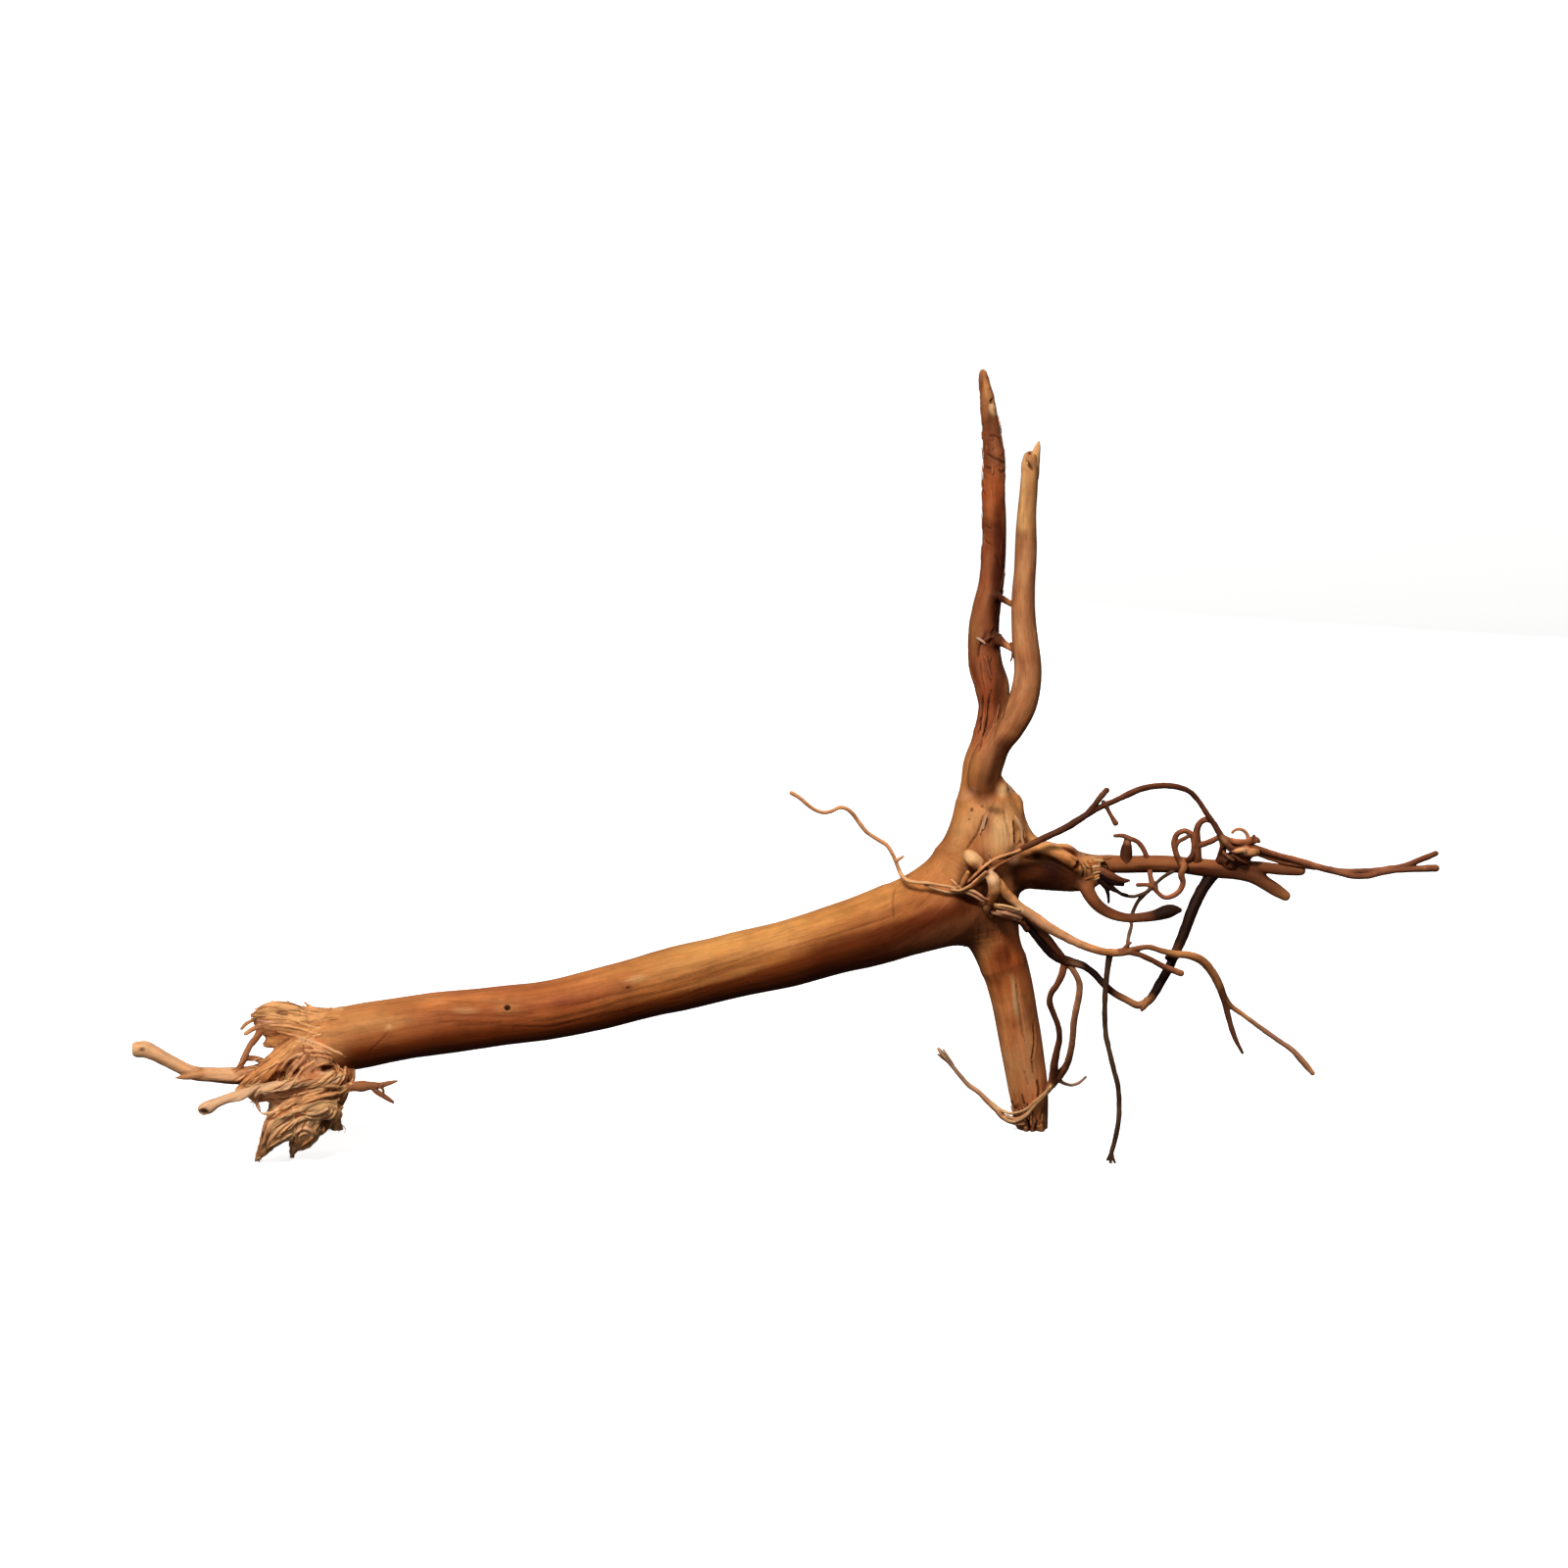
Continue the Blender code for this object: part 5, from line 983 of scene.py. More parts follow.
# Broad tones down the trunk: (across, colour).
ALONG_TRUNK = [
    (330, (0.58, 0.24, 0.080)), (400, (0.53, 0.195, 0.062)), (470, (0.43, 0.130, 0.040)), (520, (0.41, 0.115, 0.034)),
    (600, (0.50, 0.165, 0.046)), (700, (0.62, 0.265, 0.072)), (800, (0.64, 0.270, 0.072)), (880, (0.62, 0.250, 0.066)),
    (940, (0.58, 0.220, 0.062)), (1000, (0.60, 0.235, 0.070)),
]

# Patches: (across, down, half widths, turn, colour, strength, softness).
PATCHES = [
    # stains along the trunk
    (440, 1024, 80, 6, -0.05, (0.58, 0.22, 0.065), 0.5, 0.7),
    (490, 1032, 80, 12, 0.0, RED, 0.5, 0.8),
    (560, 1016, 60, 7, -0.12, (0.50, 0.150, 0.040), 0.5, 0.7),
    (475, 1031, 11, 3.4, 0.0, CREAM, 0.35, 0.7),
    (518, 1028, 12, 8, 0.0, (0.62, 0.25, 0.08), 0.4, 0.7),
    (518, 1028.6, 3.2, 2.8, 0.0, BLACK, 0.9, 0.4),
    (648, 999, 11, 3, -0.2, CREAM, 0.4, 0.7),
    (641, 1008, 6, 2.4, -0.2, DARK, 0.5, 0.6),
    (735, 998, 40, 3, -0.28, (0.70, 0.30, 0.09), 0.4, 0.7),
    (397, 1048, 3.4, 2.6, 0.0, CREAM, 0.55, 0.6),
    (380, 1042, 36, 9, -0.1, (0.66, 0.29, 0.085), 0.5, 0.8),
    # the collar
    (1012, 852, 34, 34, 0.0, (0.82, 0.40, 0.155), 0.8, 0.5),
    # The pale patch at (1022, 848) is a painted highlight.
    (1022, 848, 9, 16, 0.2, (0.94, 0.54, 0.24), 0.6, 0.7), (998, 866, 14, 10, 0.9, (0.46, 0.15, 0.06), 0.6, 0.6),
    (1008, 838, 6, 16, 0.3, (0.50, 0.19, 0.085), 0.5, 0.6),
    # Painted shade in the hollow under the knobs and down the collar's right side:
    (1003, 884, 18, 14, 0.3, (0.20, 0.055, 0.016), 0.75, 0.6),
    (1033, 900, 13, 30, 0.2, (0.20, 0.060, 0.018), 0.85, 0.5),
    (1000, 848, 8, 22, 0.3, (0.42, 0.135, 0.045), 0.4, 0.7),
    # Painted shade in the crease under the bulge, a painted highlight on the bulge, and painted shade below the front
    # prong's base:
    (1015, 827, 8, 4, 0.2, DARK, 0.65, 0.6),
    (1023, 806.5, 7.4, 7, 0.0, (1.0, 0.60, 0.27), 1.0, 0.45),
    (1008, 806, 13, 17, 0.2, (0.28, 0.085, 0.028), 0.85, 0.6),
    (988, 810, 4, 9, 0.9, ROSE, 0.5, 0.6),
    (986, 870, 12, 24, 0.55, (0.56, 0.215, 0.065), 0.6, 0.6),
    # Painted shade in the hollow under the knobs:
    (992, 904, 18, 26, 0.35, (0.07, 0.015, 0.004), 0.95, 0.4),
    (955, 905, 24, 12, -0.4, (0.60, 0.22, 0.060), 0.4, 0.6),
    # Painted shade where the trunk and the collar face down, and in the hollow at (1004, 916):
    (985, 948, 62, 13, -0.30, (0.30, 0.095, 0.034), 0.8, 0.5), (872, 960, 66, 8, -0.26, (0.150, 0.028, 0.005), 0.75, 0.7),
    (1022, 944, 26, 16, 0.0, (0.24, 0.070, 0.024), 0.8, 0.5),
    (1004, 916, 12, 12, 0.0, (0.16, 0.045, 0.014), 0.6, 0.5),
    # the stub
    (1030, 892, 26, 20, 0.0, (0.46, 0.160, 0.048), 0.6, 0.7),
    # Painted shade in the recess:
    (1057, 873, 6, 5, 0.0, DARK, 0.7, 0.6),
    # The bright patch at (1078, 865) is painted light on the stub's top.
    (1078, 865, 32, 8, 0.25, (0.99, 0.44, 0.15), 1.0, 0.45), (1098, 869, 9, 4, 0.7, (0.70, 0.30, 0.17), 0.8, 0.5),
    (1091, 877, 18, 8, 0.6, (0.92, 0.36, 0.11), 0.85, 0.6),
    (1112, 885, 13, 11, 0.0, (0.99, 0.43, 0.14), 1.0, 0.45), (1104, 899, 7, 6, 0.4, (0.62, 0.27, 0.12), 0.7, 0.6),
    (1108, 894, 5, 3, 0.6, DARK, 0.6, 0.6),
    # Painted shade under the stub and beside the collar; (1034, 874) below is the wood's own colour.
    (1068, 893, 34, 17, 0.12, (0.030, 0.0040, 0.0006), 0.98, 0.35), (1042, 892, 10, 18, 0.0, (0.05, 0.010, 0.003), 0.9, 0.5),
    (1034, 874, 6, 8, 0.0, (0.52, 0.26, 0.16), 0.5, 0.6),
    # Painted shade under the stub and in its recess:
    (1050, 888, 14, 9, 0.0, (0.14, 0.034, 0.009), 0.85, 0.5),
    (1092, 892, 10, 8, 0.5, (0.10, 0.022, 0.006), 0.7, 0.6),
    (1057, 873.5, 5, 4, 0.0, DARK, 0.8, 0.6),
    # the leg
    (1030, 990, 22, 34, 0.1, (0.64, 0.128, 0.026), 0.85, 0.6),
    (1024, 980, 7, 16, 0.15, (0.25, 0.055, 0.015), 0.75, 0.6),
    (1036, 1022, 2.2, 22, -0.12, (0.90, 0.50, 0.20), 0.8, 0.5),
    (1044, 1080, 26, 70, -0.12, (1.0, 0.360, 0.132), 0.95, 0.6),
    (1026, 1020, 8, 40, -0.12, (0.86, 0.255, 0.070), 0.7, 0.7),
    (1052, 1060, 5, 60, -0.12, (0.66, 0.25, 0.085), 0.5, 0.7),
    (1035, 1096, 8, 34, -0.1, (0.92, 0.42, 0.15), 0.5, 0.7),
    (1048, 1150, 20, 12, 0.0, (0.55, 0.19, 0.060), 0.8, 0.6),
    (1048, 1148, 8, 9, 0.0, (0.10, 0.026, 0.010), 0.85, 0.6), (1069, 1130, 4, 16, -0.1, (0.20, 0.060, 0.022), 0.8, 0.6),
    (1038, 1130, 3, 5, 0.0, (0.16, 0.035, 0.014), 0.8, 0.5), (1061, 1146, 6, 7, 0.0, (0.62, 0.24, 0.11), 0.7, 0.6),
    (1052, 1085, 7, 34, -0.1, (0.97, 0.44, 0.18), 0.6, 0.6), (1032, 1062, 5, 26, -0.1, (0.70, 0.20, 0.055), 0.5, 0.7),
    (1022, 978, 9, 17, 0.1, (0.20, 0.036, 0.008), 0.8, 0.6), (1046, 1004, 6, 26, -0.1, (0.42, 0.105, 0.026), 0.6, 0.6),
    (1018, 1000, 4, 26, -0.2, (0.48, 0.12, 0.030), 0.6, 0.6), (1054, 1058, 4, 34, -0.1, (0.52, 0.155, 0.042), 0.6, 0.6),
    (1036.4, 1021, 2.0, 20, -0.12, (0.97, 0.54, 0.24), 0.9, 0.5), (1040, 1110, 6, 20, -0.1, (0.62, 0.20, 0.060), 0.5, 0.7),
    # the back prong
    (1006, 388, 8, 20, 0.0, (0.66, 0.28, 0.100), 0.8, 0.6), (1001.6, 388, 2.2, 16, 0.1, (0.22, 0.06, 0.022), 0.7, 0.6),
    (1010.6, 392, 2.2, 16, -0.3, (0.26, 0.075, 0.028), 0.7, 0.6), (1004, 371, 4, 3, 0.0, (0.16, 0.05, 0.02), 0.7, 0.6),
    (1012.5, 417, 3.2, 7, -0.2, (0.92, 0.56, 0.24), 0.95, 0.35),
    (1013, 432, 10, 12, 0.0, (0.16, 0.048, 0.020), 0.7, 0.6),
    (1014, 462, 14, 22, 0.0, (0.26, 0.072, 0.028), 0.85, 0.6),
    (1016, 455, 5, 6, 0.0, (0.44, 0.14, 0.055), 0.5, 0.6),
    (1013, 508, 15, 28, 0.0, (0.46, 0.102, 0.028), 0.9, 0.6),
    (1012, 516, 4, 20, 0.0, (0.70, 0.24, 0.080), 0.4, 0.7),
    (1007, 538, 6, 8, 0.0, (0.09, 0.026, 0.012), 0.7, 0.6),
    (1012, 570, 15, 34, 0.0, (0.36, 0.088, 0.028), 0.85, 0.6),
    (1005, 610, 14, 40, 0.0, (0.34, 0.098, 0.036), 0.8, 0.6),
    # Painted shade down the back prong's right side:
    (1020, 580, 8, 64, 0.0, (0.085, 0.016, 0.0055), 0.93, 0.6),
    (1018, 624, 8, 38, 0.0, (0.065, 0.014, 0.0055), 0.93, 0.6),
    (1010, 655, 14, 12, -0.4, (0.07, 0.020, 0.009), 0.85, 0.5),
    (1004, 690, 18, 34, 0.0, (0.33, 0.078, 0.027), 0.85, 0.6),
    (1001, 674, 5, 22, 0.0, (0.44, 0.13, 0.05), 0.4, 0.7),
    (1006, 730, 17, 38, 0.0, (0.42, 0.098, 0.033), 0.85, 0.6),
    # Painted shade down the back prong's right side:
    (1020, 700, 5, 40, 0.1, (0.09, 0.026, 0.011), 0.7, 0.6),
    # the front prong
    (1050, 478, 9, 14, 0.0, (0.70, 0.34, 0.130), 0.9, 0.6),
    (1052, 474, 3, 3, 0.0, DARK, 0.4, 0.6),
    (1048, 520, 12, 32, 0.0, (0.74, 0.35, 0.120), 0.9, 0.6),
    (1044, 510, 3, 24, 0.0, (0.84, 0.45, 0.18), 0.6, 0.7), (1051, 512, 3, 16, 0.0, (0.52, 0.23, 0.09), 0.5, 0.7),
    (1044, 575, 5, 14, 0.1, (0.74, 0.36, 0.16), 0.6, 0.7), (1050, 600, 4, 20, 0.0, (0.44, 0.16, 0.065), 0.5, 0.7),
    (1044, 628, 5, 18, 0.0, (0.72, 0.34, 0.16), 0.5, 0.7), (1050, 668, 5, 22, -0.1, (0.76, 0.38, 0.19), 0.6, 0.7),
    (1043, 700, 6, 14, -0.4, (0.72, 0.34, 0.16), 0.5, 0.7), (1052, 700, 5, 14, -0.4, (0.36, 0.13, 0.05), 0.5, 0.7),
    (1046, 552, 12, 10, 0.2, (0.38, 0.140, 0.054), 0.85, 0.6), (1043, 546, 6, 4, 0.5, (0.26, 0.09, 0.035), 0.6, 0.6),
    (1046, 600, 13, 44, 0.0, (0.60, 0.245, 0.098), 0.85, 0.6),
    (1046, 660, 14, 40, 0.0, (0.60, 0.235, 0.092), 0.85, 0.6),
    (1038, 690, 5, 30, -0.3, (0.70, 0.32, 0.14), 0.5, 0.7),
    (1053, 640, 4, 60, 0.0, (0.40, 0.150, 0.060), 0.6, 0.7),
    (1040, 722, 17, 30, 0.5, (0.50, 0.190, 0.070), 0.85, 0.6),
    (1024, 748, 14, 22, 0.8, (0.48, 0.180, 0.066), 0.7, 0.6),
    # Painted shadow under the front prong's overhang:
    (1020, 768, 10, 16, 0.6, (0.10, 0.024, 0.007), 0.9, 0.6),
    (1010, 788, 9, 15, 0.3, (0.085, 0.022, 0.008), 0.85, 0.6),
    (1006, 776, 6, 26, 0.2, (0.50, 0.190, 0.070), 0.5, 0.6),
    # the right root
    (1215, 878, 110, 9, 0.0, (0.29, 0.082, 0.028), 0.85, 0.6),
    (1190, 879, 44, 3, 0.0, (0.44, 0.155, 0.052), 0.6, 0.6),
    # Painted shade along the right root's underside:
    (1215, 891, 120, 6, 0.0, (0.060, 0.012, 0.004), 0.95, 0.6),
    (1140, 925, 60, 14, 0.3, (0.15, 0.041, 0.017), 0.9, 0.5),
    (1192, 930, 20, 13, 0.0, (0.022, 0.009, 0.006), 0.98, 0.35),
    (1112, 908, 8, 14, -0.5, (0.46, 0.150, 0.050), 0.6, 0.6),
    (1296, 892, 46, 22, 0.0, (0.20, 0.062, 0.025), 0.85, 0.5),
]

SLENDER_TONES = {
    "straw": (0.80, 0.36, 0.15), "rust": (0.46, 0.165, 0.055), "gold": (0.62, 0.255, 0.085), "pale": (0.90, 0.54, 0.24), "rose": (0.70, 0.34, 0.19), "mid": (0.28, 0.088, 0.036),
    "dark": (0.150, 0.045, 0.019), "black": (0.018, 0.0060, 0.0026), "light": (0.52, 0.205, 0.085), "grey": (0.115, 0.058, 0.040),
}

# How the torn strands run at the left end, as front-view lines.
COMBED = [
    [(400, 1030), (355, 1026), (330, 1028), (300, 1025), (275, 1023)],
    [(400, 1044), (355, 1035), (320, 1037), (290, 1030), (268, 1033)],
    [(400, 1056), (360, 1050), (325, 1052), (295, 1045), (265, 1046)],
    [(396, 1066), (355, 1062), (325, 1060), (300, 1056), (275, 1062)],
    [(300, 1066), (330, 1067), (350, 1077), (361, 1092), (357, 1108), (340, 1116)],
    [(296, 1080), (315, 1072), (335, 1078), (346, 1090), (344, 1104), (325, 1112)],
    [(303, 1077), (288, 1090), (282, 1106)],
    [(312, 1082), (303, 1095), (297, 1108)],
    [(350, 1100), (325, 1108), (300, 1112), (276, 1112)],
    [(348, 1118), (325, 1116), (305, 1124), (285, 1130)],
    [(330, 1120), (305, 1128), (285, 1138), (272, 1158), (262, 1184)],
    [(320, 1130), (300, 1140), (285, 1155), (270, 1172)],
    [(345, 1125), (330, 1132), (315, 1140), (305, 1155), (299, 1178)],
    [(340, 1122), (348, 1135), (347, 1150)],
    [(303, 1150), (318, 1148), (322, 1158), (312, 1168), (300, 1172)],
    [(325, 1060), (296, 1078), (270, 1095), (245, 1113)],
    [(313, 1060), (335, 1068), (360, 1077)],
]

# ------------------------------------------------------------ the stout wood


def fill(volume, table, rough=0.0, seed=0, turned=()):
    """Sweeps a table's limbs into a field, in order, and returns them by name."""
    made = {}
    for name, (crease, rows) in table.items():
        limb = Limb(name, rows[::-1] if name in turned else rows, step=1.2 if name in ("leg", "collar") else None)
        # stout limbs are known further out, for the broad creases of their neighbours
        reach = max(crease, 20.0 if limb.radius.max() > 7.0 else 4.0 if limb.radius.max() > 3.0 else 0.0)
        a, b, local = volume.distance(limb.path, limb.radius, reach + 3 * volume.step)
        if rough:
            volume.roughen(a, b, local, 9.0, rough, seed + len(made))
        volume.melt(a, b, local, crease)
        made[name] = limb
    return made


def ball(volume, centre, halves, turn, reach):
    place = front(*[np.array(v, float) for v in centre])
    size = float(shrink(place))
    return volume.blob(place, [half * size for half in halves], turn, reach)


def carve(volume, table, seed=0):
    for i, (crease, centre, halves, turn, rough) in enumerate(table.values()):
        a, b, local = ball(volume, centre, halves, turn, crease + 3)
        if rough:
            volume.roughen(a, b, local, 3.4, rough, seed + i)
        volume.cut(a, b, local, crease)


wood = Volume((-206, -36, -2.6), (218, 44, 328), 0.62)
stout = fill(wood, STOUT, turned=("trunk", "leg"))
for crease, centre, halves, turn in STOUT_BALLS.values():
    wood.melt(*ball(wood, centre, halves, turn, crease + 3), crease)
carve(wood, STOUT_CUTS)
wood_places, wood_faces = wood.surface()

CHAINS = [
    [Limb("grain_trunk", TRUNK[::-1][:-3] + STOUT["flare"][1][1:5] + PRONG_BACK[2:])],
    [Limb("grain_leg", LEG[::-1][:-3] + COLLAR[2:7] + PRONG_FRONT[3:])],
    [Limb("grain_stub", STUB[:-2] + ROOT_RIGHT[1:])],
    [stout["finger"]],
]


def grain_of(places):
    """Grain coordinates along three chains, their weights and the local heading."""
    parts = [flow(places, chain) for chain in CHAINS]
    third = parts[3][1] < parts[2][1]
    grains = [parts[0][0], parts[1][0], np.where(third[:, None], parts[3][0] + 300.0, parts[2][0])]
    nears = np.stack([parts[0][1], parts[1][1], np.minimum(parts[2][1], parts[3][1])], axis=1)
    headings = np.stack([parts[0][2], parts[1][2], np.where(third[:, None], parts[3][2], parts[2][2])], axis=1)
    a, d = drawn_at(places)
    over_leg = smooth(925, 972, d) * smooth(968, 996, a) * smooth(1075, 1055, a)
    nears[:, 0] += 1.6 * over_leg
    nears[:, 2] += 2.2 * over_leg
    weights = np.exp(-5.0 * (nears - nears.min(1, keepdims=True)))
    weights /= weights.sum(1, keepdims=True)
    return grains, weights, unit((headings * weights[..., None]).sum(1)), nears.min(1)


def gather(grains, weights, make):
    return sum(weights[:, i] * make(grains[i] + 90.0 * i) for i in range(3))


def near_line(places, line, reach):
    low, high = line.min(0) - reach, line.max(0) + reach
    return np.flatnonzero(((places > low) & (places < high)).all(1))


def mark(volume, places, normals, cracks, knots, relief, dirt):
    """Cuts the drawn cracks and knots into relief (mm) and dirt (0 to 1)."""
    for points, wide, deep, dark in cracks:
        table = np.array(points, float)
        table = through(np.column_stack([table, np.zeros(len(table))]), 3.0)
        line = volume.seen(table[:, 0], table[:, 1])
        chosen = near_line(places, line, wide * 3)
        if not len(chosen):
            continue
        spots = places[chosen] + 0.5 * wide * np.stack([NOISE[k](places[chosen] / 4.0, 2) for k in (0, 1, 2)], axis=1)
        away, share = line_distance(spots, line)
        taper = np.clip(np.minimum(share, 1 - share) * 6, 0.15, 1)
        cut = np.exp(-(away / (wide * 0.62 * taper)) ** 2)
        relief[chosen] -= deep * cut * taper
        relief[chosen] += 0.22 * abs(deep) * np.exp(-((away - wide * 1.5) / (wide * 0.6)) ** 2) * taper
        dirt[chosen] = np.maximum(dirt[chosen], dark * cut)
    for across, down, radius, deep, rim, dark in knots:
        place = volume.seen(across, down)[0]
        chosen = near_line(places, np.array([place]), radius * 3.2)
        away = np.linalg.norm(places[chosen] - place, axis=1) / radius
        away = away * (1 + 0.22 * NOISE[3](places[chosen] / 1.7))
        relief[chosen] += rim * np.exp(-((away - 1.45) / 0.5) ** 2) - deep * np.exp(-(away / 0.8) ** 4)
        dirt[chosen] = np.maximum(dirt[chosen], dark * np.exp(-(away / 0.95) ** 4))


def back_marks(volume, seed, count, low, high):
    """Seeded cracks and knots on the side that the front view doesn't show."""
    rng = np.random.default_rng(seed)
    cracks, knots = [], []
    for _ in range(count):
        i = rng.integers(len(ALONG_TRUNK) - 1)
        across = rng.uniform(low, high)
        middle = np.interp(across, [row[0] for row in TRUNK[::-1]], [row[1] for row in TRUNK[::-1]])
        down = middle + rng.uniform(-22, 24)
        long = rng.uniform(25, 90)
        slope = -0.22 + rng.normal(0, 0.03)
        cracks.append((across, down, long, slope, rng.uniform(0.7, 1.2), rng.uniform(0.5, 1.2)))
        if rng.random() < 0.35:
            knots.append((across + long * 0.5, down + rng.uniform(-14, 14), rng.uniform(1.0, 2.2)))
    return cracks, knots


def mark_back(volume, places, relief, dirt, seed):
    cracks, knots = back_marks(volume, seed, 12, 370, 960)
    for across, down, long, slope, wide, deep in cracks:
        run = np.linspace(0, 1, 12)
        line = volume.seen(across + run * long, down + run * long * slope, behind=True)
        chosen = near_line(places, line, wide * 3)
        if not len(chosen):
            continue
        spots = places[chosen] + 0.5 * wide * np.stack([NOISE[k](places[chosen] / 4.0, 2) for k in (0, 1, 2)], axis=1)
        away, share = line_distance(spots, line)
        taper = np.clip(np.minimum(share, 1 - share) * 5, 0.1, 1)
        cut = np.exp(-(away / (wide * 0.62 * taper)) ** 2)
        relief[chosen] -= deep * cut * taper
        dirt[chosen] = np.maximum(dirt[chosen], 0.75 * cut)
    for across, down, radius in knots:
        place = volume.seen(across, down, behind=True)[0]
        chosen = near_line(places, np.array([place]), radius * 3.2)
        away = np.linalg.norm(places[chosen] - place, axis=1) / radius * (1 + 0.22 * NOISE[3](places[chosen] / 1.7))
        relief[chosen] += 0.45 * np.exp(-((away - 1.45) / 0.5) ** 2) - 1.3 * np.exp(-(away / 0.8) ** 4)
        dirt[chosen] = np.maximum(dirt[chosen], 0.85 * np.exp(-(away / 0.95) ** 4))


def ridges(coordinates, along, across, octaves=1, which=3):
    """Long ridges that run with the grain, between -1 and 1."""
    return 1.0 - 2.6 * np.abs(NOISE[which](coordinates * np.array([1 / along, 1 / across, 1 / across]), octaves))


normals = wood.normal(wood_places, 0.9)
grains, weights, heading, near = grain_of(wood_places)
across, down = drawn_at(wood_places)
stoutness = np.clip(sum(weights[:, i] * np.linalg.norm(grains[i][:, 1:], axis=1) for i in range(3)) / 11.0, 0.3, 1.15)
flute = gather(grains, weights, lambda g: ridges(g, 62.0, 7.5, 2, 3))
fine = gather(grains, weights, lambda g: ridges(g, 22.0, 2.3, 1, 4))
lump = NOISE[5](wood_places / 19.0, 2)
smooth_belly = smooth(0.25, 0.8, -normals[:, 2]) * smooth(1000, 900, across) * 0.55
calm = 1 - 0.6 * smooth_belly
barky = smooth(560, 470, down) * smooth(1032, 1024, across) + 0.5 * smooth(800, 760, down) * smooth(1030, 1016, across)
relief = (0.12 * flute + 0.045 * fine) * stoutness * calm + 0.45 * lump * stoutness
relief += barky * (0.16 * NOISE[1](wood_places / 2.2, 2) + 0.10 * NOISE[4](wood_places * np.array([0.5, 0.5, 1.2]) / 1.4, 1))
dirt = np.zeros(len(wood_places))
mark(wood, wood_places, normals, CRACKS, KNOTS, relief, dirt)
mark_back(wood, wood_places, relief, dirt, 31)

# Painted shade where the wood closes round a place: in creases, in hollows and in the dips of cut cracks.
crease_shade = smooth(0.08, 0.75, 1 - wood.at(wood_places + normals * 3.0) / 3.0)
crease_shade = np.maximum(crease_shade, smooth(0.2, 1.0, -(relief)) * 0.5)
wood_places = wood_places + normals * relief[:, None]


def paint(tone, places, normals, across, down, patches, ragged=0.28):
    """Mixes drawn patches of colour into the side that the front view shows: stains and the wood's own tones, and also
    painted shade, painted shadow and painted highlights.
    """
    facing = smooth(-0.2, 0.35, -(normals @ FORWARD))
    rough = ragged * NOISE[0](places / 5.0, 3)
    for a, d, wide, tall, turn, colour, strength, soft in patches:
        chosen = np.flatnonzero((np.abs(across - a) < (wide + tall) * 1.8) & (np.abs(down - d) < (wide + tall) * 1.8))
        if not len(chosen):
            continue
        u, v = across[chosen] - a, down[chosen] - d
        u, v = u * math.cos(turn) + v * math.sin(turn), v * math.cos(turn) - u * math.sin(turn)
        r = np.sqrt((u / wide) ** 2 + (v / tall) ** 2) + rough[chosen]
        m = (1 - smooth(1 - soft, 1 + soft, r)) * strength * facing[chosen]
        tone[chosen] += (np.array(colour) - tone[chosen]) * m[:, None]
    return tone


def paint_shade_and_dirt(tone, places, normals, relief, crease_shade, dirt, underside_shade=0.55):
    """Painted shade on faces that turn down, painted light on faces that turn up, painted shade in creases and dips,
    random mottling and dirt in the cracks.
    """
    # painted shade on faces that turn down
    low = (smooth(-0.35, 0.8, -normals[:, 2]) * underside_shade)[:, None]
    tone = tone * (1 - low * np.array([0.76, 0.86, 0.90]))
    # painted light on faces that turn up
    tone = tone * (1 + 0.14 * smooth(0.3, 0.95, normals[:, 2])[:, None])
    tone = tone * (1 + 0.20 * NOISE[2](places / 13.0, 3)[:, None] * np.array([0.8, 1.1, 1.2]))
    # painted shade in the dips of the relief, painted light on its rises
    tone = tone * (1 + np.clip(relief, -0.9, 0.7)[:, None] * np.array([0.22, 0.30, 0.34]))
    # painted shade in creases and hollows
    tone = tone * (1 - crease_shade[:, None] * np.array([0.62, 0.74, 0.80]))
    # dirt in the cracks
    tone = tone + (np.array(BLACK) - tone) * np.clip(dirt, 0, 1)[:, None]
    tone[:, 1] = np.minimum(tone[:, 1], 0.57 * tone[:, 0])
    tone[:, 2] = np.minimum(tone[:, 2], 0.55 * tone[:, 1])
    tone = tone / np.maximum(tone.max(1, keepdims=True) / 0.90, 1.0)
    return np.clip(tone, 0.003, 0.92)


def seated(value):
    """Keeps everything above the floor that the root stands on."""
    value[:, 2] = np.maximum(value[:, 2], 0.0)
    return value


def triangles_of(made):
    made.data.calc_loop_triangles()
    return len(made.data.loop_triangles)


tone = np.stack([np.interp(across, [row[0] for row in ALONG_TRUNK], [row[1][k] for row in ALONG_TRUNK]) for k in range(3)], axis=1)
for chain, colour in ((1, (0.58, 0.215, 0.065)), (2, (0.42, 0.150, 0.048))):
    tone += (np.array(colour) - tone) * (weights[:, chain:chain + 1] * 0.8)
prongs = smooth(800, 760, down)[:, None]
tone += (np.array((0.36, 0.12, 0.042)) - tone) * prongs * 0.8
blotch = gather(grains, weights, lambda g: NOISE[4](g * np.array([1 / 9.0, 1 / 3.2, 1 / 3.2]), 3))[:, None]
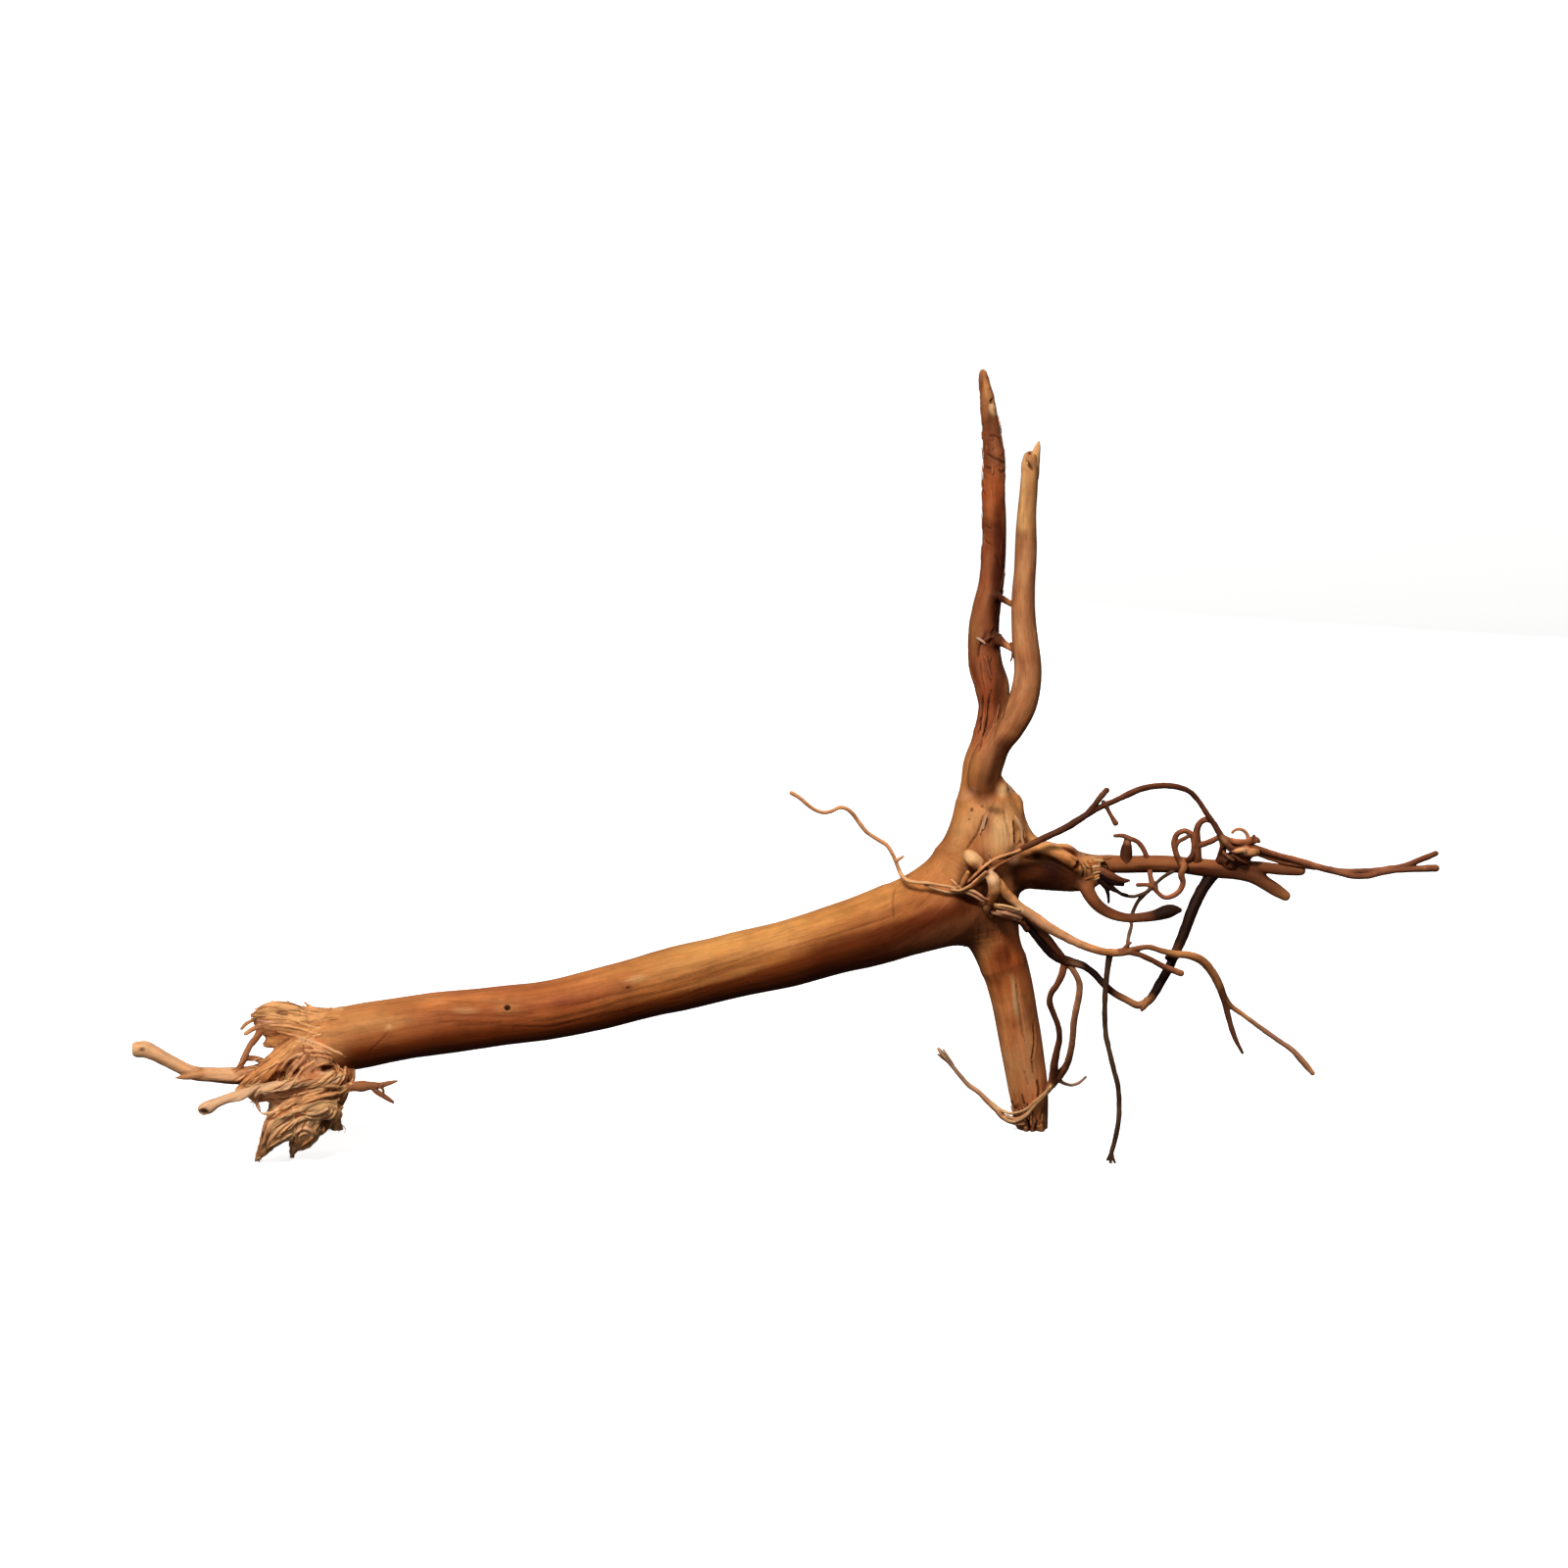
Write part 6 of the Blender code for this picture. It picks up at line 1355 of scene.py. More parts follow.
# The trunk's lit side, its browner front (painted half shade) and the dark red-brown side that faces down (painted
# shade).
edge = np.interp(across, [row[0] for row in LIT_EDGE], [row[1] for row in LIT_EDGE])
streak = gather(grains, weights, lambda g: NOISE[2](g * np.array([1 / 34.0, 1 / 2.2, 1 / 2.2]), 2))
broad_streak = gather(grains, weights, lambda g: NOISE[0](g * np.array([1 / 60.0, 1 / 5.0, 1 / 5.0]), 2))
on_trunk = smooth(1010, 975, across) * smooth(870, 905, down) * smooth(330, 370, across)
beyond = down - edge + 4.5 * streak + 2.5 * broad_streak
painted_half_shade = (on_trunk * smooth(-30, -6, beyond))[:, None]
shaded = (on_trunk * smooth(-4.5, 6.5, beyond))[:, None]
tone = tone * (1 - painted_half_shade * np.array([0.30, 0.46, 0.56]))
tone = tone + (np.array([0.17, 0.029, 0.005]) - tone) * shaded * 0.93
# deeper painted shade lower down the side that faces down
deep = (on_trunk * smooth(6, 20, beyond))[:, None]
tone = tone + (np.array([0.10, 0.019, 0.0045]) - tone) * deep * 0.85
redder = (on_trunk * smooth(0.05, 0.75, broad_streak) * (1 - shaded[:, 0]) * smooth(700, 560, across))[:, None]
tone = tone * (1 - redder * np.array([0.30, 0.52, 0.62]))
tone = tone * (1 + 0.16 * (on_trunk * np.clip(streak, -1, 1))[:, None] * np.array([1.0, 1.3, 1.4]))
tone = paint(tone, wood_places, normals, across, down, PATCHES)
on_leg = smooth(950, 985, down) * smooth(985, 1005, across)
tone = tone * np.exp(np.maximum(prongs, on_leg[:, None] * 0.8) * blotch * np.array([0.40, 0.62, 0.70]))
tone = paint_shade_and_dirt(tone, wood_places, normals, relief, crease_shade, dirt, underside_shade=0.30 * (1 - 0.6 * on_leg) * np.ones(len(down)))

root_wood = make_object("root_wood", seated(wood_places), wood_faces)
put(root_wood, "tone", tone)
put(root_wood, "relief_less_crease_shade", np.clip(0.5 + 0.5 * relief - crease_shade, 0, 1))
for letter, grain in zip("abc", grains):
    put(root_wood, "grain_" + letter, grain)
put(root_wood, "grain_mix", weights)
thin_out(root_wood, 190000)
print("root_wood", triangles_of(root_wood))


# ----------------------------------------------------------------- the fibres

def comb(volume, starts, ahead_of, steps, stride, sway, seed):
    """Paths that follow a heading over a surface: an array (path, step, 3)."""
    places = volume.settle(starts, 3)
    rows, before = [places], None
    phase = np.random.default_rng(seed).random((len(places), 1)) * 40.0
    for _ in range(steps):
        normal = volume.normal(places, 0.8)
        ahead = ahead_of(places, normal)
        ahead = unit(ahead - normal * (ahead * normal).sum(1, keepdims=True))
        turn = sway * NOISE[seed % 6](np.column_stack([places / 7.0 + phase]), 2)[:, None]
        ahead = unit(ahead + np.cross(normal, ahead) * turn)
        if before is not None:
            ahead = unit(ahead + before * 0.9)
            ahead = unit(ahead - normal * (ahead * normal).sum(1, keepdims=True))
        before = ahead
        places = volume.settle(places + ahead * stride, 2)
        rows.append(places)
    return np.stack(rows, axis=1)


def ribbons(paths, normals, wide, thick, taper=0.75):
    """Closed, flattened, tapered fibres: places and four-sided faces for all of them."""
    count, rings, _ = paths.shape
    tangent = unit(np.gradient(paths, axis=1))
    normal = unit(normals - tangent * (normals * tangent).sum(-1, keepdims=True))
    side = np.cross(tangent, normal)
    run = np.linspace(0, 1, rings)
    size = (1 - np.abs(2 * run - 1) ** 3.0) * taper + (1 - taper)
    size[0] = size[-1] = 0.12
    places = []
    for j in range(6):
        angle = 2 * math.pi * j / 6
        places.append(
            paths
            + side * (math.cos(angle) * wide[:, None, None] * size[None, :, None])
            + normal * (math.sin(angle) * thick[:, None, None] * size[None, :, None])
        )
    places = np.stack(places, axis=2).reshape(-1, 3)
    i = np.arange(count)[:, None, None] * rings * 6
    r = np.arange(rings - 1)[None, :, None] * 6
    j = np.arange(6)[None, None, :]
    k = (j + 1) % 6
    faces = np.stack(np.broadcast_arrays(i + r + j, i + r + 6 + j, i + r + 6 + k, i + r + k), axis=-1).reshape(-1, 4)
    ends = []
    for base, order in ((0, (0, 1, 2, 3)), (0, (0, 3, 4, 5)), ((rings - 1) * 6, (3, 2, 1, 0)), ((rings - 1) * 6, (5, 4, 3, 0))):
        ends.append(np.arange(count)[:, None] * rings * 6 + base + np.array(order)[None])
    return places, np.concatenate([faces] + ends)


def guided(lines, spread=9.0):
    """A heading over the surface that follows front-view lines."""
    spots, ways = [], []
    for line in lines:
        rows = through(np.column_stack([np.array(line, float), np.zeros(len(line))]), 6.0)[:, :2]
        spots.append((rows[1:] + rows[:-1]) / 2)
        ways.append(unit(np.diff(rows, axis=0)))
    spots, ways = np.concatenate(spots), np.concatenate(ways)

    def ahead_of(places, normal):
        a, d = drawn_at(places)
        away = (a[:, None] - spots[None, :, 0]) ** 2 + (d[:, None] - spots[None, :, 1]) ** 2
        weight = 1.0 / (away + spread ** 2) ** 2
        way = (weight[..., None] * ways[None]).sum(1)
        way = unit(way)
        return RIGHT * way[:, :1] - UP * way[:, 1:]

    return ahead_of


def pick(rng, places, keep, count):
    chosen = np.flatnonzero(keep)
    return places[rng.choice(chosen, size=min(count, len(chosen)), replace=len(chosen) < count)]


FIBRES = {"places": [], "faces": [], "tone": [], "grain": [], "total": 0}


def add_fibres(paths, normals, wide, thick, colours, taper=0.75):
    places, faces = ribbons(paths, normals, wide, thick, taper)
    count, rings, _ = paths.shape
    shade = np.repeat(colours[:, None, :], rings * 6, axis=1).reshape(-1, 3)
    along = np.repeat(np.linspace(0, 20, rings)[None, :, None], count, axis=0)
    along = np.repeat(along, 6, axis=2).reshape(-1)
    around = np.tile(np.arange(6), count * rings) * 0.35
    which = np.repeat(np.arange(count), rings * 6) * 1.7
    FIBRES["faces"].append(faces + FIBRES["total"])
    FIBRES["places"].append(places)
    FIBRES["tone"].append(shade)
    FIBRES["grain"].append(np.column_stack([along, around + which, which]))
    FIBRES["total"] += len(places)


def colours_for(rng, count, tones, spread=0.28):
    tones = np.array(tones)[rng.integers(len(tones), size=count)]
    return np.clip(tones * np.exp(rng.normal(0, spread, (count, 1))), 0.01, 0.9)


def lay(volume, starts, ahead_of, seed, steps, stride, sway, wide, thick, lift, tones, tip=0.0, spread=0.28, reverse=0.0):
    """Combs fibres over a surface and keeps them as fibres that stand a little proud."""
    rng = np.random.default_rng(seed)
    paths = comb(volume, starts, ahead_of, steps, stride, sway, seed)
    count = len(paths)
    flat = paths.reshape(-1, 3)
    normals = volume.normal(flat, 0.8).reshape(paths.shape)
    run = np.linspace(0, 1, steps + 1)
    rise = rng.normal(lift, abs(lift) * 0.6 + 0.05, (count, 1)) + tip * rng.random((count, 1)) * smooth(0.6, 1.0, run)[None]
    rise -= 0.5 * (1 - smooth(0.0, 0.12, run))[None]
    paths = paths + normals * rise[..., None]
    add_fibres(
        paths, normals, rng.uniform(wide[0], wide[1], count), rng.uniform(thick[0], thick[1], count),
        colours_for(rng, count, tones, spread),
    )
    return paths


# ------------------------------------------------------------ the torn left end

torn = Volume((-272, -44, -2.4), (-148, 8, 76), 0.37)
torn_limbs = fill(torn, FRAYED, rough=0.22, seed=2)
carve(torn, FRAYED_CUTS, 3)
torn_places, _ = torn.surface()
combed = guided(COMBED)



def body_of(a, d):
    """The tuft and the bunch, without the branches that leave them."""
    return ((a > 262) & (a < 362) & (d > 1018) & (d < 1182)) | ((a >= 345) & (a < 390))


rng = np.random.default_rng(11)
a, d = drawn_at(torn_places)
body = body_of(a, d)


def rope(volume, starts, count_steps, stride, sway, seed, sizes, sink, blend):
    """Melts combed strands into a surface."""
    paths = comb(volume, starts, combed, count_steps, stride, sway, seed)
    out = volume.normal(paths.reshape(-1, 3), 0.8).reshape(paths.shape)
    run = np.linspace(0, 1, paths.shape[1])
    for i in range(len(paths)):
        size = rng.uniform(*sizes)
        radius = size * (0.25 + 0.75 * np.sin(np.pi * np.clip(run, 0.02, 0.98)) ** 0.6)
        path = paths[i] + out[i] * rng.uniform(*sink) * size
        volume.melt(*volume.distance(path, radius, 1.4), blend)


rope(torn, pick(rng, torn_places, body & (a < 346) & (a > 272) & (d > 1064), 70), 16, 1.1, 0.6, 4, (0.6, 1.1), (-0.6, 0.0), 0.4)
grooves = comb(torn, pick(rng, torn_places, body & (a < 350) & (d > 1064), 100), combed, 12, 1.0, 0.7, 5)
for i in range(len(grooves)):
    run = np.linspace(0, 1, grooves.shape[1])
    radius = rng.uniform(0.25, 0.6) * np.sin(np.pi * np.clip(run, 0.03, 0.97)) ** 0.7
    torn.cut(*torn.distance(grooves[i], radius, 1.5), 0.2)
rope(torn, pick(rng, torn_places, body & (a < 372) & (a > 266) & (d < 1066), 330), 13, 1.0, 0.5, 3, (0.20, 0.40), (-0.7, -0.1), 0.2)
rope(torn, pick(rng, torn_places, body & (a < 360) & (a > 266) & (d > 1062), 330), 10, 1.0, 0.8, 6, (0.24, 0.48), (-0.5, 0.2), 0.15)


def laid(volume, points, lift, stride=0.7):
    """A smooth line over the seen side of a surface, from front-view points."""
    table = np.array(points, float)
    table = through(np.column_stack([table, np.zeros(len(table))]), 1.6)
    line = volume.seen(table[:, 0], table[:, 1])
    for _ in range(3):
        line[1:-1] = 0.5 * line[1:-1] + 0.25 * (line[:-2] + line[2:])
    out = volume.normal(line, 1.0)
    return line + out * lift


for radius, dark, points in CREASES:
    line = laid(torn, points, 0.1)
    run = np.linspace(0, 1, len(line))
    torn.cut(*torn.distance(line, radius * 0.42 * (0.35 + 0.65 * np.sin(np.pi * run)), 1.5), 0.25)
strand_lines = []
for radius, colour, points in STRANDS:
    line = laid(torn, points, 0.12 * radius)
    run = np.linspace(0, 1, len(line))
    size = radius * 0.40 * (0.35 + 0.65 * np.sin(np.pi * np.clip(run, 0.02, 0.98)) ** 0.5)
    torn.melt(*torn.distance(line, size, 1.5), 0.12)
    strand_lines.append((line, radius * 0.40, colour))

torn_places, torn_faces = torn.surface()
torn_normals = torn.normal(torn_places, 0.6)
which, torn_grain, torn_way, torn_radius, _ = nearest_sample(torn_places, list(torn_limbs.values()))
stirred = []
for turn in range(3):
    swirl = np.stack([NOISE[(turn + k) % 6](torn_places / 1.6 + 9.0 * turn, 2) for k in range(3)], axis=1)
    stirred.append(nearest_sample(torn_places + 2.4 * swirl, list(torn_limbs.values()))[0])
a, d = drawn_at(torn_places)
thin = np.clip(torn_radius / 6.0, 0.25, 1.0)
relief = 0.10 * thin * ridges(torn_grain, 14.0, 1.5, 2, 4) + 0.22 * thin * NOISE[1](torn_places / 3.2, 2)
# Painted shade in creases and hollows, near and broad.
crease_shade = smooth(0.10, 0.85, 1 - torn.at(torn_places + torn_normals * 2.0) / 2.0)
crease_shade = np.maximum(crease_shade, 0.45 * smooth(0.3, 0.95, 1 - torn.at(torn_places + torn_normals * 5.0) / 5.0))

TORN_TONES = {
    "branch_long": (0.84, 0.44, 0.215), "branch_long_spur": (0.62, 0.28, 0.12), "branch_low": (0.95, 0.57, 0.31),
    "branch_low_strand": (0.62, 0.31, 0.15), "branch_low_root": (0.66, 0.33, 0.16), "loop": (0.55, 0.23, 0.10), "loop_strip": (0.46, 0.19, 0.08),
    "ring": (0.40, 0.20, 0.12), "arm": (0.74, 0.30, 0.095), "pair_a": (0.95, 0.52, 0.23), "pair_b": (0.90, 0.46, 0.19),
    "rim_a": (0.84, 0.40, 0.17), "rim_b": (0.80, 0.37, 0.15), "arc_a": (0.80, 0.36, 0.15), "arc_b": (0.74, 0.32, 0.13), "arc_c": (0.72, 0.31, 0.12),
    "belly_a": (0.86, 0.42, 0.18), "belly_b": (0.82, 0.39, 0.16), "crest_a": (0.92, 0.48, 0.21), "crest_b": (0.92, 0.48, 0.21),
    "crest_c": (0.90, 0.46, 0.20), "crest_d": (0.86, 0.42, 0.18), "branch_right": (0.34, 0.125, 0.050), "branch_right_fork": (0.30, 0.11, 0.045),
    "branch_right_twig": (0.28, 0.10, 0.04), "tuft": (0.68, 0.30, 0.105), "tuft_brow": (0.74, 0.34, 0.13), "tuft_chin": (0.62, 0.26, 0.09),
    "trunk_end": (0.58, 0.23, 0.070), "toe_left": (0.95, 0.50, 0.21), "toe_middle": (0.90, 0.45, 0.18), "toe_curl": (0.95, 0.50, 0.21),
    "bunch": (0.60, 0.205, 0.074), "bunch_rim": (0.60, 0.21, 0.075), "bunch_fold": (0.76, 0.29, 0.105), "bunch_fold_low": (0.94, 0.48, 0.20),
    "bunch_corner": (0.86, 0.40, 0.155),
}
names = list(torn_limbs)
palette = np.array([TORN_TONES.get(name, (0.74, 0.335, 0.135)) for name in names])
torn_tone = (palette[which] + sum(palette[other] for other in stirred)) / 4.0
TORN_PATCHES = [
    (285, 1033, 24, 9, 0.0, (0.86, 0.43, 0.17), 0.5, 0.6), (350, 1038, 34, 14, 0.0, (0.66, 0.27, 0.080), 0.7, 0.7),
    (374, 1052, 26, 24, 0.0, (0.50, 0.175, 0.052), 0.8, 0.6), (362, 1072, 20, 12, 0.0, (0.24, 0.060, 0.016), 0.8, 0.7),
    # (342, 1086) on this line and (297, 1092) below are painted shade in holes between the strands.
    (318, 1084, 16, 7, 0.3, (0.60, 0.22, 0.075), 0.6, 0.7), (342, 1086, 7, 8, 0.0, DARK, 0.8, 0.5),
    (297, 1092, 8, 12, 0.6, (0.10, 0.03, 0.012), 0.7, 0.5), (288, 1034, 7, 3.6, 0.0, (0.20, 0.07, 0.03), 0.8, 0.5),
    # The dark patches on these lines are painted shade in the bunch's corner hollow, between its toes, in the cup and
    # in the pit:
    (333, 1149, 8, 8, 0.0, (0.10, 0.03, 0.012), 0.8, 0.5), (291, 1168, 7, 8, 0.3, DARK, 0.7, 0.5),
    (330, 1070, 18, 2.4, 0.30, (0.80, 0.42, 0.17), 0.7, 0.5), (209, 1134, 4, 4, 0.0, BLACK, 0.8, 0.5), (145, 1071, 3, 2, 0.0, (0.14, 0.05, 0.022), 0.9, 0.7),
    (272, 1092, 16, 7, -0.7, (0.72, 0.30, 0.10), 0.5, 0.6), (300, 1072, 18, 7, -0.6, (0.86, 0.46, 0.18), 0.6, 0.6),
    # Painted shade under the low branch, under the arm and along the long branch's underside:
    (262, 1104.6, 20, 3, -0.1, (0.14, 0.045, 0.018), 0.6, 0.6), (290, 1085, 12, 5, -0.8, (0.40, 0.12, 0.04), 0.7, 0.6),
    (222, 1105, 44, 2.6, 0.02, (0.12, 0.035, 0.012), 0.9, 0.5),
    # (287, 1150) is painted light on the lower bunch, which faces down.
    (287, 1150, 30, 26, 0.6, (0.99, 0.54, 0.25), 0.85, 0.6), (320, 1130, 26, 8, 0.0, (0.95, 0.52, 0.23), 0.6, 0.6),
    (236, 1119, 26, 5, -0.3, (0.97, 0.62, 0.36), 0.9, 0.6), (268, 1111, 12, 4, -0.2, (0.92, 0.52, 0.26), 0.7, 0.6),
    (318, 1073, 22, 7, 0.1, (0.30, 0.085, 0.028), 0.8, 0.6), (308, 1083, 12, 8, 0.0, (0.26, 0.070, 0.024), 0.8, 0.6),
    # (333, 1088) is painted shade in a hole.
    (333, 1088, 10, 5, 0.0, (0.16, 0.045, 0.016), 0.8, 0.6), (306, 1046, 14, 3, -0.1, (0.42, 0.14, 0.045), 0.6, 0.6),
    (333, 1043, 18, 2.4, -0.2, (0.48, 0.17, 0.05), 0.6, 0.6), (279, 1052, 6, 6, 0.5, (0.38, 0.12, 0.04), 0.6, 0.6),
    (345, 1068, 18, 5, 0.3, (0.36, 0.11, 0.034), 0.7, 0.6),
    (316, 1102, 26, 5, -0.1, (0.86, 0.40, 0.15), 0.5, 0.6), (296, 1124, 16, 6, -0.2, (0.50, 0.17, 0.06), 0.6, 0.6),
    (290, 1058, 16, 5, 0.1, (0.46, 0.15, 0.045), 0.7, 0.6), (262, 1062, 8, 22, 0.3, (0.36, 0.13, 0.05), 0.7, 0.6),
    # (288, 1150) is painted light on the lower bunch.
    (315, 1095, 16, 9, 0.0, (0.44, 0.13, 0.042), 0.85, 0.7), (288, 1150, 20, 18, 0.6, (1.0, 0.55, 0.265), 0.95, 0.7),
]
torn_tone = paint(torn_tone, torn_places, torn_normals, a, d, TORN_PATCHES)
for line, radius, colour in strand_lines:
    chosen = near_line(torn_places, line, radius * 2.2)
    away, _ = line_distance(torn_places[chosen], line)
    share = smooth(radius * 1.5, radius * 0.7, away)[:, None] * 0.8
    torn_tone[chosen] += (np.array(colour) - torn_tone[chosen]) * share
# Painted shade along the creases:
for radius, dark, points in CREASES:
    line = laid(torn, points, -0.2)
    chosen = near_line(torn_places, line, radius * 1.6)
    away, _ = line_distance(torn_places[chosen], line)
    share = smooth(radius * 0.9, radius * 0.25, away)[:, None] * dark * 0.8
    torn_tone[chosen] += (np.array(DARK) - torn_tone[chosen]) * share
tone_streak = NOISE[3](torn_grain * np.array([1 / 12.0, 1 / 0.9, 1 / 0.9]), 2)
torn_tone = torn_tone * np.exp(0.22 * tone_streak[:, None] * np.array([1.0, 1.2, 1.35]))
# Scales down the painted crease shade: most between down 1072 and 1122, least on the lower bunch.
crease_shade = crease_shade * (0.40 + 0.25 * smooth(1058, 1072, d) * smooth(1136, 1122, d)) * (1.0 - 0.35 * smooth(1126, 1140, d))
torn_tone = paint_shade_and_dirt(torn_tone, torn_places, torn_normals, relief * 2.0, crease_shade, np.zeros(len(a)), underside_shade=0.12)
root_frayed_end = make_object("root_frayed_end", seated(torn_places + torn_normals * relief[:, None]), torn_faces)
put(root_frayed_end, "tone", torn_tone)
put(root_frayed_end, "grain", torn_grain)
thin_out(root_frayed_end, 190000)
print("root_frayed_end", triangles_of(root_frayed_end))

# ------------------------------------------------------------ slender roots


def slender(name, low, high, step, tables, balls, grow=0.35, most=150000, seed=0):
    volume = Volume(low, high, step)
    limbs, tones = [], []
    for limb_name, (crease, tone_name, rows) in tables.items():
        limb = Limb(limb_name, rows, grow=grow, wobble=0.045, seed=seed + len(limbs))
        a, b, local = volume.distance(limb.path, limb.radius, crease + 3 * step)
        volume.roughen(a, b, local, 2.6, 0.14, seed + len(limbs))
        volume.melt(a, b, local, crease)
        limbs.append(limb)
        tones.append(SLENDER_TONES[tone_name])
    for i, (crease, centre, halves, turn) in enumerate(balls):
        a, b, local = ball(volume, centre, halves, turn, crease + 3)
        volume.roughen(a, b, local, 3.0, 0.5, i)
        volume.melt(a, b, local, crease)
    places, faces = volume.surface(islands=True)
    normals = volume.normal(places, 0.6)
    which, grain, way, radius, along = nearest_sample(places, limbs)
    thin = np.clip(radius / 2.6, 0.3, 1.3)
    relief = thin * (0.10 * ridges(grain, 9.0, 0.9, 1, 4) + 0.10 * NOISE[3](places / 1.9, 2))
    # faint rings, where the bark once shrank around a rootlet
    ring = NOISE[2](np.column_stack([along / 1.3, which * 5.1, np.zeros(len(along))]), 1)
    relief += 0.05 * thin * ring
    # painted shade in creases and hollows
    crease_shade = smooth(0.15, 0.9, 1 - volume.at(places + normals * 1.5) / 1.5)
    tone = np.array(tones)[which]
    blotch = 0.55 * NOISE[1](np.column_stack([along / 7.0, which * 3.3, np.zeros(len(along))]), 2) + 0.25 * NOISE[4](places / 2.4, 2)
    tone = tone * np.exp(blotch[:, None] * np.array([1.0, 1.15, 1.2]))
    # painted light on faces that turn up
    tone = tone * (1 + 0.45 * smooth(0.25, 0.9, normals[:, 2])[:, None] * np.array([1.0, 0.85, 0.7]))
    a, d = drawn_at(places)
    tone = paint(tone, places, normals, a, d, SLENDER_PATCHES)
    # strong painted shade on faces that turn down
    tone = paint_shade_and_dirt(tone, places, normals, relief * 2.4, crease_shade, np.zeros(len(a)), underside_shade=0.8)
    made = make_object(name, seated(places + normals * relief[:, None]), faces)
    put(made, "tone", tone)
    put(made, "grain", grain)
    thin_out(made, most)
    print(name, triangles_of(made))
    return made, volume


SLENDER_PATCHES = [
    # (991, 873) and (1012, 895) are painted highlights on the two knobs.
    (991, 873, 8, 6, 0.0, (0.98, 0.58, 0.27), 0.95, 0.7), (1001, 879, 9, 5, 0.5, (0.90, 0.50, 0.22), 0.6, 0.7),
    (997, 888, 8, 5, 0.6, (0.52, 0.20, 0.065), 0.6, 0.7), (1012, 895, 8, 9, 0.2, (1.0, 0.60, 0.31), 1.0, 0.5),
    (1017, 908, 5, 7, 0.0, (0.74, 0.36, 0.14), 0.5, 0.6), (1011, 921, 6, 7, 0.0, (0.52, 0.17, 0.050), 0.85, 0.6),
    (1046, 930, 24, 5, 0.6, (0.50, 0.26, 0.14), 0.6, 0.7), (1075, 949, 40, 4, 0.45, (0.54, 0.27, 0.15), 0.6, 0.7),
    (1090, 843, 44, 9, -0.5, (0.085, 0.026, 0.012), 0.8, 0.6), (1150, 1020, 26, 12, 0.3, (0.20, 0.065, 0.025), 0.6, 0.7),
    (1168, 968, 34, 7, 0.0, (0.18, 0.055, 0.022), 0.75, 0.7),
    (1222, 985, 16, 14, 0.8, (0.34, 0.120, 0.045), 0.8, 0.7), (1250, 1025, 14, 40, 0.3, (0.14, 0.050, 0.024), 0.8, 0.7),
    (1310, 1060, 46, 26, 0.8, (0.42, 0.190, 0.095), 0.6, 0.8), (1160, 1022, 16, 8, 0.0, (0.55, 0.225, 0.085), 0.8, 0.7),
    (1277, 870, 5, 5, 0.0, (0.62, 0.27, 0.095), 0.7, 0.6), (1270, 868, 3, 5, 0.0, (0.70, 0.38, 0.22), 0.7, 0.6),
    (1247, 858, 4, 7, 0.7, (0.55, 0.24, 0.10), 0.7, 0.6), (1255, 874, 12, 6, 0.0, (0.09, 0.028, 0.012), 0.7, 0.6),
    (1303, 1062, 40, 10, 0.8, (0.36, 0.165, 0.10), 0.8, 0.7), (1205, 884, 5, 6, 0.0, (0.50, 0.20, 0.08), 0.6, 0.7),
    (1124, 812, 9, 6, 0.9, (0.30, 0.13, 0.06), 0.5, 0.6), (1150, 858, 4, 4, 0.0, (0.50, 0.20, 0.12), 0.8, 0.5),
    (1016, 929, 14, 3.4, 0.2, (0.66, 0.36, 0.20), 0.7, 0.5), (1400, 888, 70, 10, 0.0, (0.20, 0.085, 0.052), 0.4, 0.8),
    (1000, 1116, 34, 12, 0.6, (0.50, 0.24, 0.13), 0.6, 0.8), (974, 1086, 26, 20, 0.7, (0.40, 0.225, 0.150), 0.75, 0.7),
    (948, 900, 40, 9, 0.15, (0.97, 0.54, 0.24), 0.7, 0.6), (1098, 1045, 9, 60, 0.0, (0.80, 0.36, 0.19), 0.85, 0.6),
    (1076, 1094, 8, 16, 0.2, (0.52, 0.17, 0.075), 0.8, 0.6), (1080, 1050, 6, 34, 0.0, (0.34, 0.13, 0.07), 0.7, 0.7),
    (965, 1080, 12, 14, 0.0, (0.66, 0.40, 0.24), 0.7, 0.7), (1038, 1136, 14, 8, 0.0, (0.97, 0.56, 0.30), 0.4, 0.7),
]
RIGHT_BALLS = [
    (1.2, (1268, 868, -3), (13, 10, 10), 0.0), (1.2, (1256, 879, -2), (10, 10, 9), 0.3),
]
root_rootlets_right, right_volume = slender(
    "root_rootlets_right", (88, -34, 50), (270, 10, 150), 0.38, RIGHT_ROOTS, RIGHT_BALLS, seed=1,
)
UPPER = [name for name in ARCH_AND_FRONT if name.split("_")[0] in ("knob", "front", "arch", "bundle", "tail", "splinter", "shelf")]
root_rootlets_front, front_volume = slender(
    "root_rootlets_front", (-4, -42, 30), (222, 6, 160), 0.40,
    {name: ARCH_AND_FRONT[name] for name in UPPER}, [], seed=3,
)
root_rootlets_low, low_volume = slender(
    "root_rootlets_low", (56, -40, -2), (146, 36, 92), 0.38,
    {name: row for name, row in ARCH_AND_FRONT.items() if name not in UPPER}, [], seed=5,
)

# ------------------------------------------------------------- torn strands

a, d = drawn_at(torn_places)
outward = torn.normal(torn_places, 0.8)
rng = np.random.default_rng(21)
PALE_FIBRE, WARM_FIBRE, DARK_FIBRE = (0.86, 0.44, 0.19), (0.66, 0.28, 0.105), (0.30, 0.095, 0.032)
